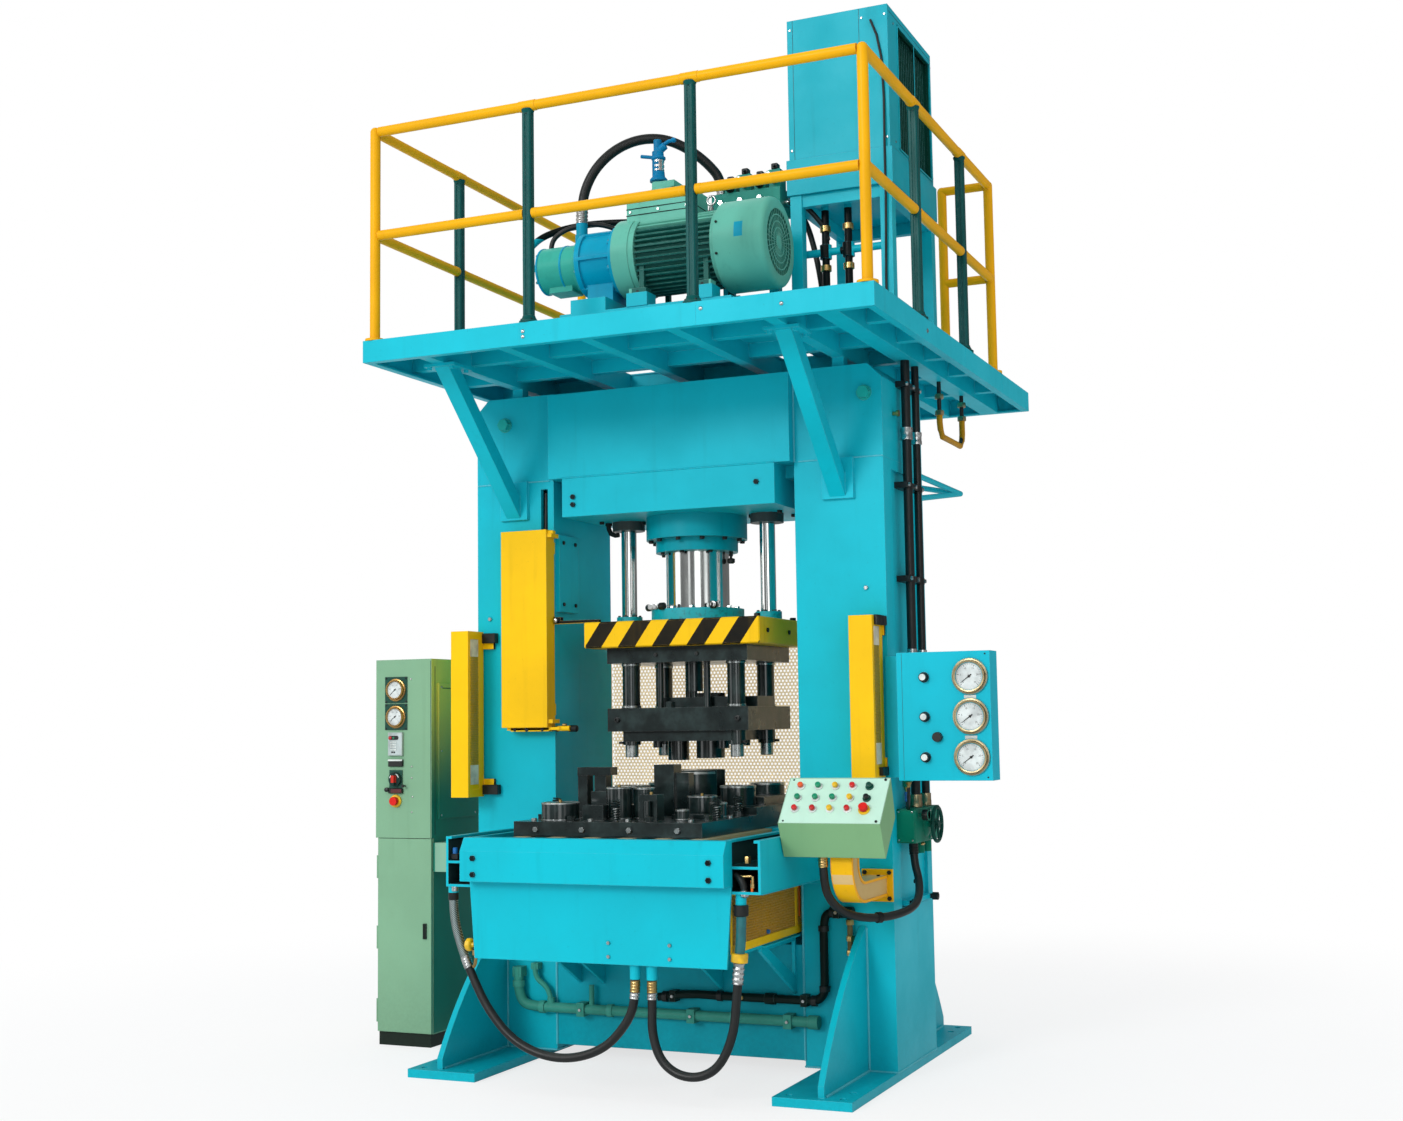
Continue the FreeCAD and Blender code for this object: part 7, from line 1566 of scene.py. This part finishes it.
make("console_screws", [stud(on_panel(column, row), radius, high, PANEL_OUT, 12)
                        for column, radius, high in ((0.955, 0.0065, 0.005), (0.045, 0.0045, 0.003))
                        for row in (0.045, 0.945)], black_plastic)
panel_corners = ((0.004, 0.006), (0.996, 0.006), (0.996, 0.994), (0.004, 0.994))
make("console_panel_edge",
     [pipe([on_panel(column, row, 0.0006) for column, row in panel_corners], 0.0016, 6,
           ref=PANEL_OUT, looped=True)], console_paint)
dress(painted("arm_yellow", (0.93, 0.50, 0.006, 1), grime=0.5, zones=[
    ((None, None, None), (0.9978, -0.345, None), (0.52, 0.32, 0.10, 1)),
    ((1.0922, None, None), (None, -0.345, None), (0.62, 0.42, 0.16, 1)),
    ((0.9978, None, 0.947), (1.0922, -0.345, 0.99), (0.72, 0.50, 0.22, 1)),
]), "console_arm")


def strap(line, x0, x1, wide):
    """Flat strip between two x values along a line of (y, z) points; wide is measured in the line's own
    plane."""
    line = np.asarray(line, float)
    way = np.gradient(line, axis=0)
    way = way / np.linalg.norm(way, axis=1)[:, None]
    square = np.column_stack([way[:, 1], -way[:, 0]]) * wide / 2
    ring = [np.column_stack([np.full(len(line), x), line + sign * square])
            for x, sign in ((x0, -1), (x1, -1), (x1, 1), (x0, 1))]
    return skin(np.stack(ring, 1))


turn_angle = np.radians(np.linspace(-90, -180, 14))
straps = []
for reach, low_z, top in ((0.179, 0.8585, 1.135), (0.096, 0.9415, 1.222)):
    bend = np.column_stack([-0.6625 + reach * np.cos(turn_angle), 1.0375 + reach * np.sin(turn_angle)])
    path = np.concatenate([[(-0.345, low_z), (-0.50, low_z)], bend, [(-0.6625 - reach, top)]])
    straps += [strap(path, x0, x1, 0.012) for x0, x1 in ((1.0920, 1.0965), (0.9935, 0.9980))]
make("arm_straps", straps, painted("strap_orange", (0.93, 0.42, 0.004, 1), grime=0.3))
make("arm_bolts", [hexed((x, -0.341, z), FRONT, 0.019, 0.010) for x in (0.985, 1.105) for z in (0.84, 0.96)]
     + [hexed((1.070, -0.40, 0.9475), UP, 0.014, 0.007),
        turned([(0, 0.010), (0.008, 0.010), (0.009, 0.006)], (1.152, -0.10, 0.90), RIGHT, 12)], black_iron)


# ---- valve block and handwheel ----
# Dark green block on the right post with a cover plate, a round handwheel and a small knob at its side,
# brass fittings and sleeved pipe ends above and below it.
block_green = painted("valve_green", (0.0, 0.185, 0.115, 1), grime=0.5, clouds=0.8)
dress(block_green, "valve_block")
dress(painted("wheel_green", (0.004, 0.060, 0.045, 1), grime=0.3, highlight_wear=0.9), "handwheel")
make("valve_cover", [block((1.119, -0.2535, 1.094), (1.206, -0.2495, 1.246), 0.0015),
                     block((1.2095, -0.020, 1.096), (1.2140, 0.150, 1.244), 0.0015),
                     turned([(0, 0.062), (0.004, 0.060), (0.012, 0.040), (0.014, 0.026)],
                            (1.2095, -0.060, 1.170), RIGHT, 36)], block_green)
make("valve_screws", [stud((x, -0.2533, z), 0.005, 0.004) for x in (1.130, 1.196) for z in (1.104, 1.236)]
     + [stud((1.2138, y, z), 0.005, 0.004, RIGHT) for y in (-0.008, 0.138) for z in (1.106, 1.234)], plated)
make("valve_knob",
     [turned([(0, 0.0245), (0.003, 0.0265), (0.028, 0.0265), (0.032, 0.021)], (1.2300, -0.190, 1.220),
             RIGHT, 10)], black_plastic)
make("valve_fittings_brass", [
    hexed((1.165, y, 1.088), DOWN, 0.034, 0.022) for y in (-0.030, 0.090)
] + [turned([(0, 0.010), (0.018, 0.012), (0.020, 0.008)], (1.190, -0.086, 1.090), (0.4, -0.3, -0.86), 14),
     *(turned([(0, 0.014), (0.012, 0.014), (0.020, 0.009), (0.030, 0.009)], spot, DOWN, 16)
       for spot in ((1.162, -0.215, 1.356), (1.215, -0.360, 1.386)))], brass)
make("valve_fittings_green", [block((1.146, -0.232, 1.352), (1.180, -0.198, 1.394), 0.003),
                              block((1.199, -0.378, 1.380), (1.232, -0.342, 1.3985), 0.003)], block_green)
make("valve_sleeves", [turned([(0, 0.0085), (0.002, 0.0115), (0.046, 0.0100), (0.048, 0.0070)],
                              (1.162, -0.215, 1.330), DOWN, 16)], blue_plastic)
TAIL = [(1.215, -0.360, 1.362), (1.215, -0.360, 1.330), (1.206, -0.335, 1.290), (1.190, -0.290, 1.262),
        (1.172, -0.232, 1.250), (1.170, -0.222, 1.244)]
make("valve_tails", [pipe([(1.162, -0.215, 1.340), (1.162, -0.215, 1.245)], 0.0065, 12),
                     pipe(centreline("tail_line", TAIL)[0], 0.008, 12, ref=(0.9, 0.1, 0.2))],
     rubber)


# ---- hoses on the right post ----
# Two rubber hoses that the clamps hold along the post, with plated couplings, black clamp bars with
# bolts, and the drain loop behind them. They can't move, so they stay solids of the frame.
dress(rubber, "column_hoses")
POST_HOSES = ((-0.060, 0.0225), (0.110, 0.019))
HOSE_X = 1.160
COUPLING = ((0, 0.0062), (0.001, 0.0078), (0.018, 0.0078), (0.020, 0.0064), (0.042, 0.0064),
            (0.044, 0.0078), (0.061, 0.0078), (0.062, 0.0062))
FOOT = ((0, 0.0062), (0.001, 0.0078), (0.026, 0.0078), (0.028, 0.0064), (0.060, 0.0064), (0.061, 0.001))


def on_hoses(profile, z):
    """Fittings on both hoses, each radius of the profile measured from the rubber outwards."""
    return [turned([(distance, radius + rise) for distance, rise in profile], (HOSE_X, y, z), UP, 28)
            for y, radius in POST_HOSES]


make("post_hose_couplings", on_hoses(COUPLING, 3.039), plated)
make("post_hose_feet", on_hoses(FOOT, 1.250), dull_brass)
# the lower part of the drain loop is a golden brown pipe, with brass nuts where the hose ends meet it
gilt = painted("drain_gilt", (0.55, 0.27, 0.010, 1), clouds=0.9, highlight_wear=0.9, Roughness=0.3)
DRAIN_LOOP = ((0.550, 3.262), (0.550, 3.222), (0.562, 3.185), (0.600, 3.151), (0.950, 3.151),
              (0.988, 3.185), (1.000, 3.222), (1.000, 3.300))
make("drain_loop_pipe", [pipe([(HOSE_X, y, z) for y, z in DRAIN_LOOP], 0.0160, 20)], gilt)
make("drain_loop_nuts", [hexed((HOSE_X, y, z), UP, 0.042, 0.026)
                         for y, z in ((0.550, 3.258), (0.550, 3.345), (1.000, 3.296), (1.000, 3.372))],
     dull_brass)
make("post_hose_bolts", [hexed((1.172, y, z + 0.015), RIGHT, 0.019, 0.010)
                         for z in (3.300, 2.800, 2.340, 1.880, 1.420) for y in (-0.088, 0.026, 0.140)],
     plated)
make("post_hose_tap",
     [turned([(0, 0.010), (0.020, 0.010), (0.021, 0.016), (0.034, 0.016)], (1.118, -0.150, 3.160),
             RIGHT, 16)], brass)


# ---- bed pipes ----
# Green suction line and black pressure line along the bed, with socket collars at their bends and unions,
# bolted clamps, and a thin brass branch.
dress(painted("pipe_green", (0.050, 0.33, 0.255, 1), grime=0.6, clouds=0.8, zones=[
    ((-0.11, None, 0.305), (0.70, None, None), BLACK_PAINT),
    ((0.70, None, 0.305), (None, None, None), BLACK_PAINT),
    ((0.896, None, None), (None, None, 0.738), (0.16, 0.13, 0.05, 1)),
]), "bed_pipes")
BLACK_Y, GREEN_Y = -0.357, -0.362
collar_at = [((0.715, BLACK_Y, 0.355), RIGHT), ((0.780, BLACK_Y, 0.400), UP),
             ((0.780, BLACK_Y, 0.680), UP), ((0.815, BLACK_Y, 0.771), RIGHT),
             ((-0.060, BLACK_Y, 0.339), RIGHT), ((0.230, BLACK_Y, 0.356), RIGHT)]
make("pipe_collars_black",
     [turned([(0, 0.020), (0.001, 0.026), (0.026, 0.026), (0.027, 0.020)], spot, way, 24)
      for spot, way in collar_at], black_iron)
pipe_green = painted("collar_green", (0.060, 0.36, 0.28, 1), grime=0.5)
make("pipe_collars_green",
     [turned([(0, 0.025), (0.001, 0.031), (0.030, 0.031), (0.031, 0.025)], spot, way, 28)
      for spot, way in (((-0.740, GREEN_Y, 0.256), RIGHT), ((-0.865, GREEN_Y, 0.350), UP),
                        ((-0.360, GREEN_Y, 0.256), RIGHT), ((0.300, GREEN_Y, 0.256), RIGHT))],
     pipe_green)
make("pipe_clamp_bolts",
     [hexed((x, GREEN_Y - 0.033, 0.256), FRONT, 0.015, 0.009) for x in (-0.50, 0.10, 0.60)]
     + [hexed((x, BLACK_Y - 0.026, z), FRONT, 0.015, 0.009)
        for x, z in ((0.0, 0.345), (0.68, 0.355), (0.85, 0.772))], plated)
make("pipe_branch_nuts", [hexed((0.911, BLACK_Y, z), UP, 0.034, 0.024) for z in (0.574, 0.640, 0.715)]
     + [hexed((0.365, BLACK_Y - 0.018, 0.356), FRONT, 0.018, 0.012)], brass)
